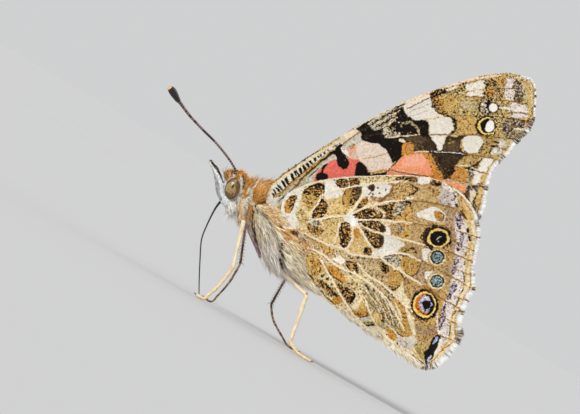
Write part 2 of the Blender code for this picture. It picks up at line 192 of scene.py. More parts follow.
def clumps(points, size, seed):
    """The same random number over each patch of about that size."""
    grid = points / size
    base = np.floor(grid).astype(np.int64)
    best = np.full(len(points), 9.0)
    value = np.zeros(len(points))
    for da in (-1, 0, 1):
        for db in (-1, 0, 1):
            cell = base + (da, db)
            where = cell + np.stack([scatter(cell, seed), scatter(cell, seed + 1)], 1)
            far = ((grid - where) ** 2).sum(1)
            near = far < best
            best[near] = far[near]
            value[near] = scatter(cell[near], seed + 2)
    return value


def drift(points, size, seed):
    """Smooth noise from 0 to 1 that changes over about that size."""
    grid = points / size
    base = np.floor(grid).astype(np.int64)
    part = grid - base
    part = part * part * (3 - 2 * part)
    corner = [scatter(base + (i, j), seed) for i in (0, 1) for j in (0, 1)]
    low = corner[0] + (corner[1] - corner[0]) * part[:, 1]
    high = corner[2] + (corner[3] - corner[2]) * part[:, 1]
    return low + (high - low) * part[:, 0]


def ring_through(points, steps=6, closed=True):
    """Points on a Catmull-Rom curve through the given ones."""
    points = [np.array(p, float) for p in points]
    if closed:
        ends = [points[-1], *points, points[0], points[1]]
    else:
        ends = [points[0], *points, points[-1]]
    made = []
    for p, q, r, s in zip(ends, ends[1:], ends[2:], ends[3:]):
        for step in range(steps):
            t = step / steps
            made.append(0.5 * (2 * q + (r - p) * t + (2 * p - 5 * q + 4 * r - s) * t * t
                               + (3 * q - p - 3 * r + s) * t**3))
    if not closed:
        made.append(points[-1])
    return np.array(made)


def inside(points, ring):
    """Which points lie in the closed ring."""
    found = np.zeros(len(points), bool)
    for (a0, b0), (a1, b1) in zip(ring, np.roll(ring, -1, 0)):
        if b0 != b1:
            crosses = (b0 > points[:, 1]) != (b1 > points[:, 1])
            found ^= crosses & (points[:, 0] < a0 + (points[:, 1] - b0) * (a1 - a0) / (b1 - b0))
    return found


def line_distance(points, path):
    """How far each point is from the path, and how far along the path that is, from 0 to 1."""
    best = np.full(len(points), 1e9)
    along = np.zeros(len(points))
    runs = np.hypot(*np.diff(path, axis=0).T)
    total = max(runs.sum(), 1e-9)
    done = 0.0
    for start, stop, run in zip(path, path[1:], runs):
        if run == 0:
            continue
        t = np.clip(((points - start) @ (stop - start)) / run**2, 0, 1)
        far = np.hypot(*(points - start - t[:, None] * (stop - start)).T)
        near = far < best
        best[near] = far[near]
        along[near] = (done + t[near] * run) / total
        done += run
    return best, along


def turned(a, b, degrees):
    """Plate values turned about the origin by that many degrees."""
    turn = math.radians(degrees)
    return a * math.cos(turn) - b * math.sin(turn), a * math.sin(turn) + b * math.cos(turn)


def blob(paint, *points):
    """A patch with a smooth outline through the points."""
    return "blob", paint, points


def line(paint, width, *points):
    """A stroke through the points, as wide as said, thinner to its ends."""
    return "line", paint, (width, points)


def lines(paint, strokes):
    """Strokes of one paint; each is its width and its points."""
    return [line(paint, width, *points) for width, *points in strokes]


def dots(paint, size, *points):
    """Round spots of one size."""
    return "dots", paint, (size, points)


def oval(paint, a, b, half_a, half_b, tilt=0.0, rough=0.0):
    """An ellipse whose top leans along a by tilt degrees; its edge is rough by a share of its size."""
    return "oval", paint, (a, b, half_a, half_b, tilt, rough)


def hit(points, kind, shape, seed):
    """Which of the points a mark covers."""
    if kind == "blob":
        ring = ring_through(shape)
        low, high = ring.min(0), ring.max(0)
        box = ((points >= low) & (points <= high)).all(1)
        box[box] = inside(points[box], ring)
        return box
    if kind == "line":
        width, path = shape
        path = ring_through(path, 4, closed=False)
        low, high = path.min(0) - width, path.max(0) + width
        box = ((points >= low) & (points <= high)).all(1)
        far, along = line_distance(points[box], path)
        thin = END_WIDTH + MIDDLE_WIDER * np.sin(np.pi * np.clip(along, 0.0, 1.0)) ** 0.5
        box[box] = far < width / 2 * thin
        return box
    if kind == "dots":
        size, places = shape
        near = np.zeros(len(points), bool)
        for middle in places:
            near |= np.hypot(*(points - middle).T) < size / 2
        return near
    a, b, half_a, half_b, tilt, rough = shape
    u, v = turned(points[:, 0] - a, points[:, 1] - b, tilt)
    reach = 1 + rough * (2 * clumps(points, ROUGH_GRAIN, seed) - 1)
    return (u / half_a) ** 2 + (v / half_b) ** 2 < reach**2


def tint(points, paint, seed):
    """The colours of a paint at the points, in clumps of its grain."""
    grain, *mix = PAINTS[paint]
    pick = clumps(points, grain, seed) if grain else scatter((points * 1000).astype(np.int64), seed)
    shares = np.cumsum([share for share, _ in mix])
    which = np.minimum(np.searchsorted(shares / shares[-1], pick), len(mix) - 1)
    return np.array([colour for _, colour in mix], float)[which] / 255


def painted(points, marks, ground, seed=7, waver=0.05):
    """sRGB colours at plate points: a ground paint with marks over it, in their order."""
    points = np.asarray(points, float)
    bend = np.stack([drift(points, WAVER_GRAIN, seed), drift(points, WAVER_GRAIN, seed + 5)], 1) - 0.5
    bent = points + bend * 2 * waver
    colours = tint(points, ground, seed)
    for number, (kind, paint, shape) in enumerate(marks):
        covered = hit(bent, kind, shape, seed + number)
        if covered.any():
            colours[covered] = tint(points[covered], paint, seed + 11)
    return colours


# Paints --------------------------------------------------------------------------------------

# A paint is the size of its clumps of scales, then each colour's share and its sRGB value.
PAINTS = {
    "white": (0.12, (6, (239, 234, 224)), (3, (230, 222, 206)), (1, (214, 204, 186))),
    "bright": (0.1, (1, (247, 244, 238)),),
    "cream": (0.12, (5, (236, 224, 196)), (3, (226, 208, 166)), (1, (205, 186, 146))),
    "cream_vein": (0.1, (1, (240, 229, 205)), (1, (232, 214, 180))),
    "ivory": (0.14, (6, (232, 226, 214)), (4, (228, 219, 203)), (2, (234, 230, 220))),
    "pinkish": (0.14, (6, (230, 214, 196)), (4, (222, 202, 180)), (3, (236, 222, 208))),
    "rose_white": (0.09, (6, (230, 220, 212)), (3, (216, 203, 194)), (1.5, (150, 126, 110)),
                   (2, (240, 234, 226))),
    "grey_white": (0.12, (5, (212, 206, 188)), (3, (196, 189, 168)), (2, (228, 223, 208)),
                   (1, (168, 156, 128))),
    "grey_lilac": (0.12, (5, (200, 190, 180)), (3, (182, 168, 158)), (2, (216, 206, 196)),
                   (1.2, (118, 96, 92))),
    "lilac": (0.1, (4, (168, 168, 200)), (3, (206, 204, 222)), (2, (120, 118, 150)), (1, (60, 50, 66))),
    "blue": (0.1, (4, (140, 160, 208)), (3, (196, 208, 232)), (2, (92, 92, 128))),
    "ochre": (0.1, (5, (202, 164, 92)), (4, (186, 150, 82)), (3, (220, 188, 122)), (1.6, (104, 74, 34))),
    "pale_ochre": (0.1, (5, (224, 192, 126)), (4, (210, 176, 106)), (2, (236, 218, 172)),
                   (1.1, (126, 90, 42))),
    "olive": (0.11, (4, (174, 150, 84)), (3, (152, 128, 66)), (3, (206, 184, 122)), (1.4, (96, 74, 34))),
    "orange_ochre": (0.09, (5, (206, 148, 56)), (4, (190, 130, 42)), (2, (224, 174, 92)),
                     (1.8, (96, 58, 20))),
    "band_ochre": (0.09, (5, (198, 155, 78)), (4, (182, 139, 64)), (3, (218, 184, 114)),
                   (2.2, (104, 66, 30))),
    "tan": (0.11, (5, (198, 166, 110)), (4, (180, 146, 92)), (3, (214, 186, 134)), (1.6, (142, 104, 62))),
    "tan_specks": (0.12, (5, (194, 158, 96)), (4, (174, 138, 82)), (3, (212, 180, 120)), (3, (118, 82, 58))),
    "taupe": (0.12, (5, (180, 150, 112)), (4, (160, 126, 88)), (3, (198, 174, 140)), (1.5, (120, 88, 60))),
    "brown": (0.11, (4, (120, 84, 48)), (3, (96, 64, 34)), (2, (150, 112, 68))),
    "dark_brown": (0.11, (5, (62, 38, 24)), (3, (84, 56, 34)), (2, (40, 22, 14))),
    "vein_brown": (0.1, (3, (150, 104, 52)), (2, (126, 82, 40)), (1, (176, 132, 76))),
    "maroon": (0.1, (5, (68, 36, 36)), (3, (48, 22, 24)), (2, (104, 70, 66))),
    "black": (0.12, (5, (16, 10, 6)), (2, (28, 18, 12))),
    "ink": (0.12, (8, (16, 10, 4)), (2, (30, 22, 12)), (0.3, (70, 60, 46))),
    "umber": (0.12, (5, (62, 47, 30)), (4, (50, 36, 20)), (2, (78, 62, 44))),
    "pale_umber": (0.12, (5, (88, 68, 44)), (3, (72, 54, 32)), (3, (110, 90, 64))),
    "speckle": (0.085, (5, (26, 14, 8)), (3, (206, 150, 66)), (2, (172, 116, 42)), (2, (226, 194, 130))),
    "dark_speckle": (0.085, (8, (24, 13, 8)), (2, (150, 104, 50)), (2, (200, 158, 92))),
    "ochre_dots": (0.13, (6, (204, 160, 82)), (3, (186, 140, 62)), (2, (224, 190, 124)), (2, (52, 30, 16))),
    "olive_dots": (0.13, (6, (188, 156, 92)), (3, (168, 136, 76)), (2, (212, 182, 124)), (2.4, (58, 38, 20))),
    "cream_dots": (0.12, (6, (228, 212, 168)), (3, (206, 180, 116)), (1.5, (112, 78, 40))),
    "grey_specks": (0.09, (5, (214, 202, 178)), (3, (60, 46, 34)), (2.4, (150, 130, 100))),
    "streaks": (0.12, (4, (180, 164, 122)), (3, (156, 138, 92)), (3, (210, 194, 154)), (2, (118, 98, 58))),
    "eye_black": (0.12, (9, (12, 8, 8)), (1, (40, 34, 34))),
    "eye_yellow": (0.12, (5, (244, 214, 118)), (3, (236, 194, 84)), (2, (248, 232, 168))),
    "eye_orange": (0.12, (4, (206, 120, 34)), (3, (186, 92, 22)), (2, (228, 156, 66))),
    "slate": (0.12, (5, (34, 44, 48)), (3, (14, 18, 20)), (2.4, (132, 140, 146)), (1, (190, 200, 190))),
    "lunule": (0.09, (4, (92, 60, 58)), (3, (62, 36, 36)), (2.4, (186, 170, 176)), (1.2, (226, 212, 204))),
    "lunule_blue": (0.09, (4, (172, 161, 172)), (3, (210, 203, 208)), (3.4, (84, 55, 52))),
    "iris": (0.085, (4, (194, 188, 212)), (2, (152, 148, 182)), (2.4, (52, 40, 52)), (1.2, (236, 232, 240))),
    "apricot": (0.12, (5, (240, 172, 112)), (3, (230, 152, 88)), (3, (246, 190, 140))),
    "salmon_lilac": (0.1, (5, (244, 178, 146)), (3, (238, 184, 160)), (2, (244, 164, 124))),
    "orange_flecks": (0.09, (5, (206, 146, 70)), (3, (188, 128, 54)), (2, (222, 170, 96)),
                      (2.4, (96, 62, 34))),
    "dark_umber": (0.1, (5, (42, 30, 18)), (3, (28, 19, 11)), (2, (72, 54, 36)), (1, (130, 96, 56))),
    "costa": (0.12, (5, (240, 214, 178)), (3, (246, 226, 200)), (1, (214, 170, 126))),
    "apex_flecks": (0.1, (5, (192, 162, 100)), (3, (116, 84, 48)), (4, (60, 42, 26)), (2, (218, 194, 146))),
    "black_specks": (0.11, (8, (20, 13, 7)), (2, (40, 29, 18)), (0.5, (176, 160, 124))),
    "ring_specks": (0.1, (4, (170, 150, 102)), (3, (206, 190, 150)), (3, (54, 40, 24))),
    "umber_flecks": (0.1, (5, (66, 50, 34)), (3, (120, 98, 56)), (2, (38, 28, 18))),
    "edge_flecks": (0.09, (4, (38, 27, 16)), (3, (186, 150, 84)), (2, (100, 72, 40))),
    "teal": (0.085, (5, (138, 158, 158)), (3, (98, 118, 120)), (3, (34, 40, 42)), (2, (202, 210, 204))),
    "gold_flecks": (0.085, (5, (206, 168, 90)), (3, (190, 150, 76)), (2, (224, 196, 134)),
                    (1.8, (100, 70, 34))),
    "tan_streak": (0.1, (5, (196, 168, 118)), (4, (222, 202, 160)), (3, (166, 130, 82)), (2.2, (92, 64, 40))),
    "gold": (0.1, (5, (226, 196, 136)), (4, (240, 222, 178)), (3, (208, 174, 108)), (1.2, (132, 96, 52))),
    "tan_mottle": (0.14, (5, (190, 156, 106)), (4, (160, 122, 74)), (3, (212, 190, 152)), (2, (120, 86, 52)),
                   (2, (232, 222, 202))),
    "hind_ground": (0.12, (5, (230, 208, 162)), (4, (242, 232, 210)), (4, (212, 180, 122)),
                    (2, (186, 148, 90))),
    "dense_speckle": (0.085, (10.5, (26, 14, 8)), (2.6, (206, 150, 66)), (1.4, (172, 116, 42)),
                      (1.4, (232, 206, 150))),
    "brown_mottle": (0.1, (6, (194, 154, 92)), (2, (120, 84, 46)), (3, (224, 194, 132)), (1.2, (60, 36, 20))),
    "rim_cream": (0.12, (4, (232, 214, 168)), (3, (240, 230, 204)), (2, (218, 190, 130))),
    "rim_orange": (0.12, (4, (206, 142, 50)), (3, (184, 118, 34)), (1, (148, 92, 30))),
    "rim_yellow": (0.12, (4, (214, 178, 100)), (3, (226, 200, 136)), (2, (190, 152, 78))),
    "coral": (0.12, (5, (230, 118, 102)), (3, (240, 130, 112)), (3, (222, 106, 90))),
    "coral_peach": (0.16, (4, (226, 176, 150)), (3, (234, 144, 120)), (4, (216, 200, 180))),
    "salmon": (0.14, (5, (240, 163, 120)), (4, (235, 152, 108)), (3, (246, 174, 132))),
    "orange": (0.1, (5, (216, 148, 64)), (3, (198, 132, 48)), (2, (230, 170, 92)), (1.3, (112, 70, 40))),
    "peach": (0.12, (5, (238, 196, 150)), (3, (244, 214, 180)), (1, (226, 172, 120))),
    "apex": (0.1, (5, (200, 172, 106)), (4, (180, 150, 86)), (3, (222, 202, 154)), (3.2, (74, 52, 28))),
    "apex_pale": (0.12, (5, (196, 178, 128)), (4, (214, 200, 160)), (2, (166, 142, 84)), (1, (112, 86, 54))),
    "apex_dark": (0.13, (4, (96, 74, 54)), (3, (54, 38, 28)), (3, (190, 180, 170)), (2, (160, 132, 84))),
    "fringe_white": (0.07, (7, (250, 250, 246)), (3, (236, 234, 224)), (0.8, (200, 188, 166))),
    "fringe_dark": (0.05, (4, (74, 56, 44)), (3, (146, 128, 106)), (3, (226, 220, 206))),
    "fringe_vein": (0.05, (4, (104, 80, 58)), (2, (152, 128, 100))),
    "upper_orange": (0.14, (5, (210, 122, 56)), (4, (196, 108, 46)), (2, (222, 142, 76))),
    "fur_grey": (0.09, (5, (240, 226, 194)), (4, (226, 208, 172)), (3, (250, 244, 226)),
                 (1.3, (136, 112, 74))),
    "fur_tan": (0.09, (5, (228, 206, 164)), (4, (212, 184, 138)), (3, (240, 228, 198)),
                (1.2, (138, 108, 70))),
    "fur_shade": (0.09, (5, (212, 197, 168)), (3, (190, 174, 144)), (3, (232, 218, 192)),
                  (1.4, (114, 94, 66))),
    "fur_pale": (0.09, (5, (240, 230, 204)), (4, (228, 214, 182)), (2, (250, 246, 232)),
                 (0.8, (150, 126, 90))),
    "fur_cream": (0.09, (5, (238, 224, 196)), (4, (224, 206, 172)), (3, (248, 240, 220)),
                  (1, (172, 144, 106))),
    "fur_peach": (0.09, (4, (228, 180, 120)), (3, (214, 156, 92)), (2, (238, 206, 160))),
    "fur_white": (0.09, (5, (240, 234, 218)), (3, (226, 216, 196)), (1, (196, 180, 150))),
    "fur_bright": (0.09, (5, (252, 250, 244)), (3, (240, 236, 226)), (0.6, (206, 196, 176))),
    "fur_rose": (0.09, (5, (248, 236, 220)), (4, (236, 220, 202)), (3, (255, 250, 240)),
                 (0.9, (150, 128, 104))),
    "fur_orange": (0.09, (5, (228, 160, 68)), (4, (214, 138, 48)), (3, (238, 186, 108)),
                   (0.7, (156, 98, 38))),
    "fur_gold": (0.09, (5, (206, 150, 76)), (4, (184, 126, 54)), (3, (226, 184, 122)), (1.2, (124, 84, 40))),
    "fur_collar": (0.09, (5, (212, 160, 88)), (4, (194, 140, 68)), (3, (226, 190, 130)), (1, (130, 92, 52))),
    "fur_brown": (0.09, (5, (86, 58, 34)), (3, (64, 40, 24)), (2, (120, 86, 52))),
    "fur_black": (0.09, (5, (44, 34, 30)), (2, (84, 66, 48)), (1, (150, 124, 88))),
    "palp_white": (0.09, (5, (222, 225, 226)), (4, (204, 207, 208)), (3, (244, 245, 246)),
                   (0.5, (150, 150, 152))),
    "palp_grey": (0.09, (5, (174, 176, 174)), (3, (148, 150, 148)), (3, (200, 202, 200)),
                  (1.4, (98, 98, 96))),
    "eye_rim": (0.0, (1, (74, 44, 16)), (1, (88, 54, 20))),
    "eye_olive": (0.05, (4, (150, 126, 76)), (3, (166, 144, 92)), (2, (138, 110, 58))),
    "eye_bronze": (0.05, (4, (112, 76, 28)), (3, (96, 62, 20)), (2, (134, 98, 44))),
    "eye_spot": (0.0, (1, (34, 22, 10)), (1, (44, 30, 16))),
    "leg_cream": (0.07, (5, (240, 226, 198)), (4, (228, 210, 174)), (2, (214, 190, 148))),
    "leg_ochre": (0.07, (5, (232, 206, 156)), (3, (218, 188, 134)), (2, (242, 222, 184))),
    "leg_orange": (0.07, (4, (222, 142, 60)), (2, (200, 118, 40))),
    "leg_dark": (0.16, (5, (96, 66, 54)), (3, (70, 46, 40)), (3, (170, 140, 110))),
    "leg_mauve": (0.07, (4, (128, 100, 112)), (3, (100, 72, 88)), (2, (178, 160, 154))),
    "antenna_dark": (0.0, (4, (52, 36, 38)), (3, (38, 26, 28))),
    "antenna_ring": (0.0, (3, (170, 140, 128)), (2, (140, 110, 104))),
    "club_black": (0.0, (4, (26, 18, 16)), (2, (40, 28, 24))),
    "club_tip": (0.0, (3, (226, 180, 120)), (2, (240, 214, 170))),
    "mouth_dark": (0.0, (3, (32, 24, 32)), (2, (44, 34, 42))),
}


# Forewing's marks ----------------------------------------------------------------------------

ZEBRA_BARS = (  # top and foot of each dark bar along the front edge's root, and its width
    ((0.22, 0.62), (0.4, 0.5), 0.13), ((0.34, 0.95), (0.62, 0.62), 0.14), ((0.6, 1.2), (0.88, 0.9), 0.16),
    ((0.84, 1.42), (1.16, 1.02), 0.15), ((1.22, 1.88), (1.5, 1.35), 0.19), ((1.52, 2.22), (1.8, 1.65), 0.24),
    ((2.1, 2.65), (2.32, 2.05), 0.21), ((2.4, 2.9), (2.56, 2.45), 0.15), ((2.5, 3.0), (2.92, 2.42), 0.15),
    ((2.86, 3.32), (3.15, 2.75), 0.18), ((3.2, 3.5), (3.52, 3.02), 0.2), ((3.55, 3.76), (3.84, 3.36), 0.2),
    ((3.85, 4.02), (4.16, 3.6), 0.18), ((4.4, 4.32), (4.52, 3.95), 0.19), ((4.76, 4.6), (4.86, 4.25), 0.15),
    ((5.0, 4.66), (5.1, 4.35), 0.13), ((5.24, 4.9), (5.42, 4.6), 0.15), ((5.6, 5.15), (5.78, 4.98), 0.18),
    ((6.12, 5.55), (6.22, 5.35), 0.15), ((6.5, 5.6), (6.58, 5.32), 0.12),
)


def between(start, stop, share):
    """The point at a share of the way from start to stop."""
    return start[0] + share * (stop[0] - start[0]), start[1] + share * (stop[1] - start[1])


# Root of the front edge
FORE_ROOT = [
    blob("white", (0.0, 0.2), (0.2, 1.2), (1.5, 2.3), (3.2, 3.6), (5.2, 4.9), (7.2, 5.95), (7.3, 5.6),
         (5.9, 4.9), (4.6, 3.7), (3.0, 2.4), (1.6, 1.1), (0.9, 0.4)),
    blob("ivory", (-0.5, 0.3), (0.3, 0.15), (0.9, 0.3), (1.0, -0.2), (0.8, -0.6), (-0.5, -0.6)),
    blob("grey_white", (0.9, 0.2), (2.2, 1.4), (2.5, 0.9), (1.7, 0.2), (1.0, -0.4), (0.7, -0.2)),
    line("band_ochre", 0.32, (0.4, 0.3), (1.2, 0.75), (2.0, 1.5), (2.9, 2.3), (4.0, 3.2), (5.0, 3.95)),
    line("cream", 0.1, (0.3, 0.45), (1.1, 0.95), (1.9, 1.72), (2.8, 2.5), (3.9, 3.38), (4.9, 4.1)),
    line("dark_brown", 0.07, (0.35, 0.38), (1.15, 0.86), (1.95, 1.62), (2.85, 2.4), (3.95, 3.3)),
    *[line("black", 1.5 * width, between(top, foot, -0.15), between(top, foot, 0.5), between(top, foot, 1.15))
      for top, foot, width in ZEBRA_BARS],
    dots("white", 0.16, (4.92, 4.45)),
    line("black", 0.12, (6.3, 5.6), (6.9, 5.8), (7.3, 5.85)),
    dots("dark_brown", 0.16, (6.35, 5.35), (6.7, 5.5), (7.0, 5.62), (7.3, 5.72)),
    blob("grey_white", (2.2, 0.9), (3.0, 1.6), (3.6, 2.3), (4.4, 3.0), (5.4, 3.9), (6.6, 4.6), (6.7, 3.9),
         (5.4, 3.3), (4.6, 2.6), (4.4, 1.8), (3.0, 1.2)),
    dots("olive", 0.2, (3.1, 1.35), (3.85, 1.9), (3.9, 1.55), (3.5, 2.0), (2.8, 1.15)),
    line("grey_lilac", 0.09, (1.3, 0.3), (2.1, 1.2), (2.9, 2.1), (3.3, 2.45)),
    line("dark_brown", 0.1, (0.8, -0.25), (1.1, 0.1), (1.45, 0.45)),
    line("vein_brown", 0.16, (1.9, 0.75), (2.4, 1.2), (3.0, 1.85), (3.4, 2.3)),
    line("black", 0.13, (2.9, 1.95), (3.5, 2.5), (4.2, 3.05), (5.2, 3.9)),
    line("dark_brown", 0.26, (5.0, 3.85), (5.6, 4.15), (6.2, 4.7), (6.9, 5.2)),
    line("black", 0.1, (3.85, 2.25), (4.3, 2.7), (4.6, 2.95), (4.95, 3.25)),
    line("grey_lilac", 0.09, (4.9, 3.35), (5.6, 3.9), (6.3, 4.35)),
]

# Coral cell with its black spots
FORE_CELL = [
    blob("coral", (4.45, 2.3), (4.7, 2.8), (5.3, 3.3), (5.7, 3.7), (6.5, 4.05), (7.6, 4.2), (7.9, 4.2),
         (8.9, 4.15), (8.8, 3.4), (8.7, 2.2), (6.5, 1.9), (4.6, 1.6)),
    blob("coral_peach", (7.4, 5.0), (8.3, 5.3), (9.0, 5.0), (9.0, 4.1), (8.0, 4.1), (7.8, 4.5)),
    blob("black", (4.6, 2.0), (4.55, 2.4), (4.8, 2.7), (5.15, 2.75), (5.5, 2.65), (5.75, 2.4), (5.7, 2.0),
         (5.2, 1.7)),
    line("black", 0.24, (5.2, 2.5), (5.25, 3.0), (5.35, 3.3), (5.65, 3.55)),
    blob("white", (7.1, 5.2), (7.6, 5.1), (7.95, 4.3), (7.6, 4.5), (7.2, 4.8)),
    blob("black", (6.5, 4.5), (6.65, 3.9), (6.7, 3.5), (6.95, 3.25), (7.35, 3.05), (7.7, 3.2), (7.9, 3.5),
         (7.8, 3.95), (7.6, 4.4), (7.2, 4.75), (7.1, 5.2), (7.35, 5.55), (6.9, 5.5), (6.4, 5.0), (5.9, 4.65)),
    dots("slate", 0.13, (7.45, 3.95)),
]

# Pale patch and the black bands round it
FORE_BANDS = [
    blob("pinkish", (8.8, 4.1), (9.4, 3.5), (10.0, 2.8), (11.0, 2.9), (11.8, 3.0), (12.2, 3.7), (12.0, 4.5),
         (11.4, 5.2), (10.5, 5.75), (9.6, 5.9), (9.1, 6.4), (8.8, 7.1), (8.4, 7.1), (7.2, 6.4), (6.8, 5.9),
         (7.5, 5.6), (8.4, 5.6)),
    blob("grey_white", (7.3, 5.1), (8.6, 5.7), (9.2, 6.0), (9.1, 6.7), (7.9, 6.0), (7.3, 5.5)),
    line("vein_brown", 0.12, (7.3, 5.65), (7.8, 6.0), (8.4, 6.4), (9.1, 6.85)),
    line("grey_lilac", 0.1, (7.4, 5.05), (8.0, 5.4), (8.7, 5.7), (9.2, 5.85)),
    line("orange", 0.16, (9.9, 2.62), (10.8, 2.85), (11.7, 3.05)),
    line("orange", 0.2, (8.05, 5.1), (8.4, 5.35)),
    line("tan", 0.1, (9.2, 4.1), (10.5, 4.3), (11.9, 4.7)),
    blob("black", (8.7, 3.75), (9.05, 3.78), (9.45, 3.5), (9.7, 3.0), (10.1, 2.55), (10.4, 2.2), (8.6, 2.1),
         (8.45, 2.7), (8.55, 3.1)),
    line("black", 0.3, (9.8, 2.35), (10.8, 2.5), (11.6, 2.65), (11.9, 2.75)),
    line("black", 0.2, (11.5, 2.75), (11.9, 3.0), (12.4, 3.5), (12.9, 4.1)),
    blob("ink", (8.65, 7.0), (8.75, 7.35), (9.6, 7.9), (10.4, 8.3), (10.2, 7.6), (11.2, 7.2), (12.4, 7.9),
         (12.6, 8.7), (13.4, 9.1), (13.7, 8.5), (14.4, 8.0), (15.4, 7.95), (15.85, 7.5), (15.85, 6.6),
         (16.3, 6.1), (16.7, 5.0), (14.4, 4.9), (13.2, 4.3), (12.4, 3.8), (12.1, 3.95), (11.9, 4.5),
         (11.5, 5.05), (10.7, 5.6), (9.8, 5.75), (9.15, 6.05), (9.1, 6.7)),
    line("umber", 0.12, (9.1, 6.9), (9.8, 7.3), (10.3, 7.7)),
    line("umber", 0.1, (9.4, 6.3), (10.2, 6.5), (11.2, 6.6)),
    blob("umber", (13.4, 6.3), (15.0, 6.3), (16.2, 6.1), (16.6, 5.1), (15.2, 5.0), (14.3, 5.6), (13.3, 5.8)),
    blob("pale_umber", (13.4, 6.3), (14.8, 6.4), (15.6, 6.0), (15.0, 5.6), (14.2, 5.8)),
    blob("grey_specks", (9.9, 7.6), (10.4, 8.2), (11.4, 8.8), (12.6, 9.35), (13.3, 9.5), (13.4, 9.3),
         (12.5, 8.8), (12.5, 8.3), (12.0, 7.9), (11.2, 7.3), (10.6, 6.95), (10.2, 7.1)),
    line("black", 0.11, (9.8, 7.3), (11.2, 8.2), (12.8, 9.1)),
    line("cream", 0.09, (9.7, 7.5), (11.1, 8.4), (12.6, 9.3)),
    line("black", 0.13, (10.5, 7.2), (11.9, 8.0), (13.0, 8.7)),
    line("cream", 0.09, (10.2, 7.25), (11.7, 8.2), (13.0, 8.95)),
    line("cream", 0.08, (10.9, 7.05), (12.2, 7.8), (12.7, 8.2)),
    blob("grey_specks", (11.2, 7.0), (11.5, 6.4), (12.4, 6.25), (13.1, 6.45), (12.6, 6.8), (12.2, 6.9),
         (11.8, 7.3)),
    blob("black_specks", (12.5, 7.7), (13.2, 7.65), (14.2, 7.6), (14.7, 7.0), (14.7, 6.55), (13.2, 6.5),
         (12.5, 6.9)),
    dots("olive", 0.2, (12.0, 6.7), (12.6, 6.5), (11.7, 6.5), (12.3, 7.2), (13.1, 7.4), (12.0, 7.5)),
    dots("cream", 0.15, (12.5, 7.9), (12.9, 7.75), (12.35, 7.05), (12.95, 6.7), (12.6, 8.25), (12.3, 8.3)),
    line("ring_specks", 0.26, (13.2, 7.65), (14.0, 7.8), (14.45, 7.4), (14.8, 7.0), (14.9, 6.5)),
    line("cream", 0.12, (11.5, 6.22), (12.6, 6.3), (13.6, 6.42), (15.0, 6.52)),
    line("cream", 0.3, (12.9, 5.98), (13.4, 5.85)),
    line("black", 0.1, (12.3, 9.15), (12.9, 9.4), (13.45, 9.55)),
    line("black", 0.15, (12.4, 8.8), (13.0, 9.1), (13.65, 9.35)),
]

# Orange dome and the patch above it
FORE_DOME = [
    blob("orange", (13.3, 5.65), (14.2, 5.65), (14.45, 5.1), (14.2, 4.6), (13.3, 4.4), (13.2, 5.0)),
    blob("orange_flecks", (13.9, 5.7), (14.35, 5.6), (14.5, 5.1), (14.2, 4.6), (13.9, 4.6)),
    blob("salmon", (11.8, 2.5), (11.95, 3.0), (12.6, 3.7), (13.1, 4.2), (14.2, 4.6), (15.3, 4.75),
         (16.0, 4.3), (16.5, 3.4), (17.0, 2.6), (17.2, 2.0), (15.0, 2.1)),
    blob("orange", (15.2, 4.72), (15.8, 4.5), (16.2, 3.9), (16.6, 3.2), (17.15, 2.4), (17.1, 2.0),
         (16.0, 2.2), (16.1, 3.0), (15.8, 3.8), (15.4, 4.3)),
    # Lilac patch over the dome's middle: partly the scales' own tint, partly a painted sheen
    blob("salmon_lilac", (13.5, 4.2), (14.8, 4.5), (15.5, 4.1), (15.3, 3.5), (14.2, 3.3), (13.3, 3.5)),
    line("orange", 0.2, (13.2, 4.35), (14.2, 4.62), (15.2, 4.75)),
    line("vein_brown", 0.13, (12.0, 2.98), (13.0, 2.78), (14.0, 2.63), (15.0, 2.48), (15.8, 2.35)),
    line("cream_vein", 0.08, (12.6, 2.95), (13.6, 2.8), (14.8, 2.6)),
    blob("umber_flecks", (14.45, 5.6), (15.3, 5.5), (15.2, 4.85), (14.4, 4.85)),
]

# White patches behind the band
FORE_WHITES = [
    blob("ivory", (13.35, 9.45), (13.5, 8.75), (14.1, 8.2), (14.8, 7.95), (15.6, 8.0), (15.9, 7.4),
         (15.95, 6.6), (16.4, 6.1), (16.7, 5.2), (17.2, 4.9), (17.4, 5.6), (17.5, 6.3), (18.1, 6.7),
         (18.4, 7.2), (18.3, 7.9), (18.0, 8.35), (17.3, 8.5), (16.9, 9.1), (16.2, 9.7), (16.1, 10.4),
         (15.6, 10.5), (14.2, 9.9)),
    blob("white", (16.0, 6.45), (17.4, 6.4), (17.4, 5.4), (17.0, 4.95), (16.7, 5.4)),
    line("cream", 0.14, (17.35, 6.3), (17.4, 5.6), (17.2, 5.1)),
    line("vein_brown", 0.12, (13.6, 9.1), (14.5, 9.5), (15.3, 9.95), (16.0, 10.25)),
    line("grey_lilac", 0.1, (13.6, 8.65), (14.4, 9.0), (15.3, 9.35), (16.0, 9.6)),
    line("grey_lilac", 0.08, (13.8, 8.3), (14.8, 8.6), (15.8, 8.9)),
    line("pale_ochre", 0.1, (15.4, 8.05), (16.2, 8.12), (17.0, 8.25), (17.9, 8.4)),
    line("vein_brown", 0.11, (16.0, 6.5), (17.0, 6.5), (18.0, 6.5)),
]

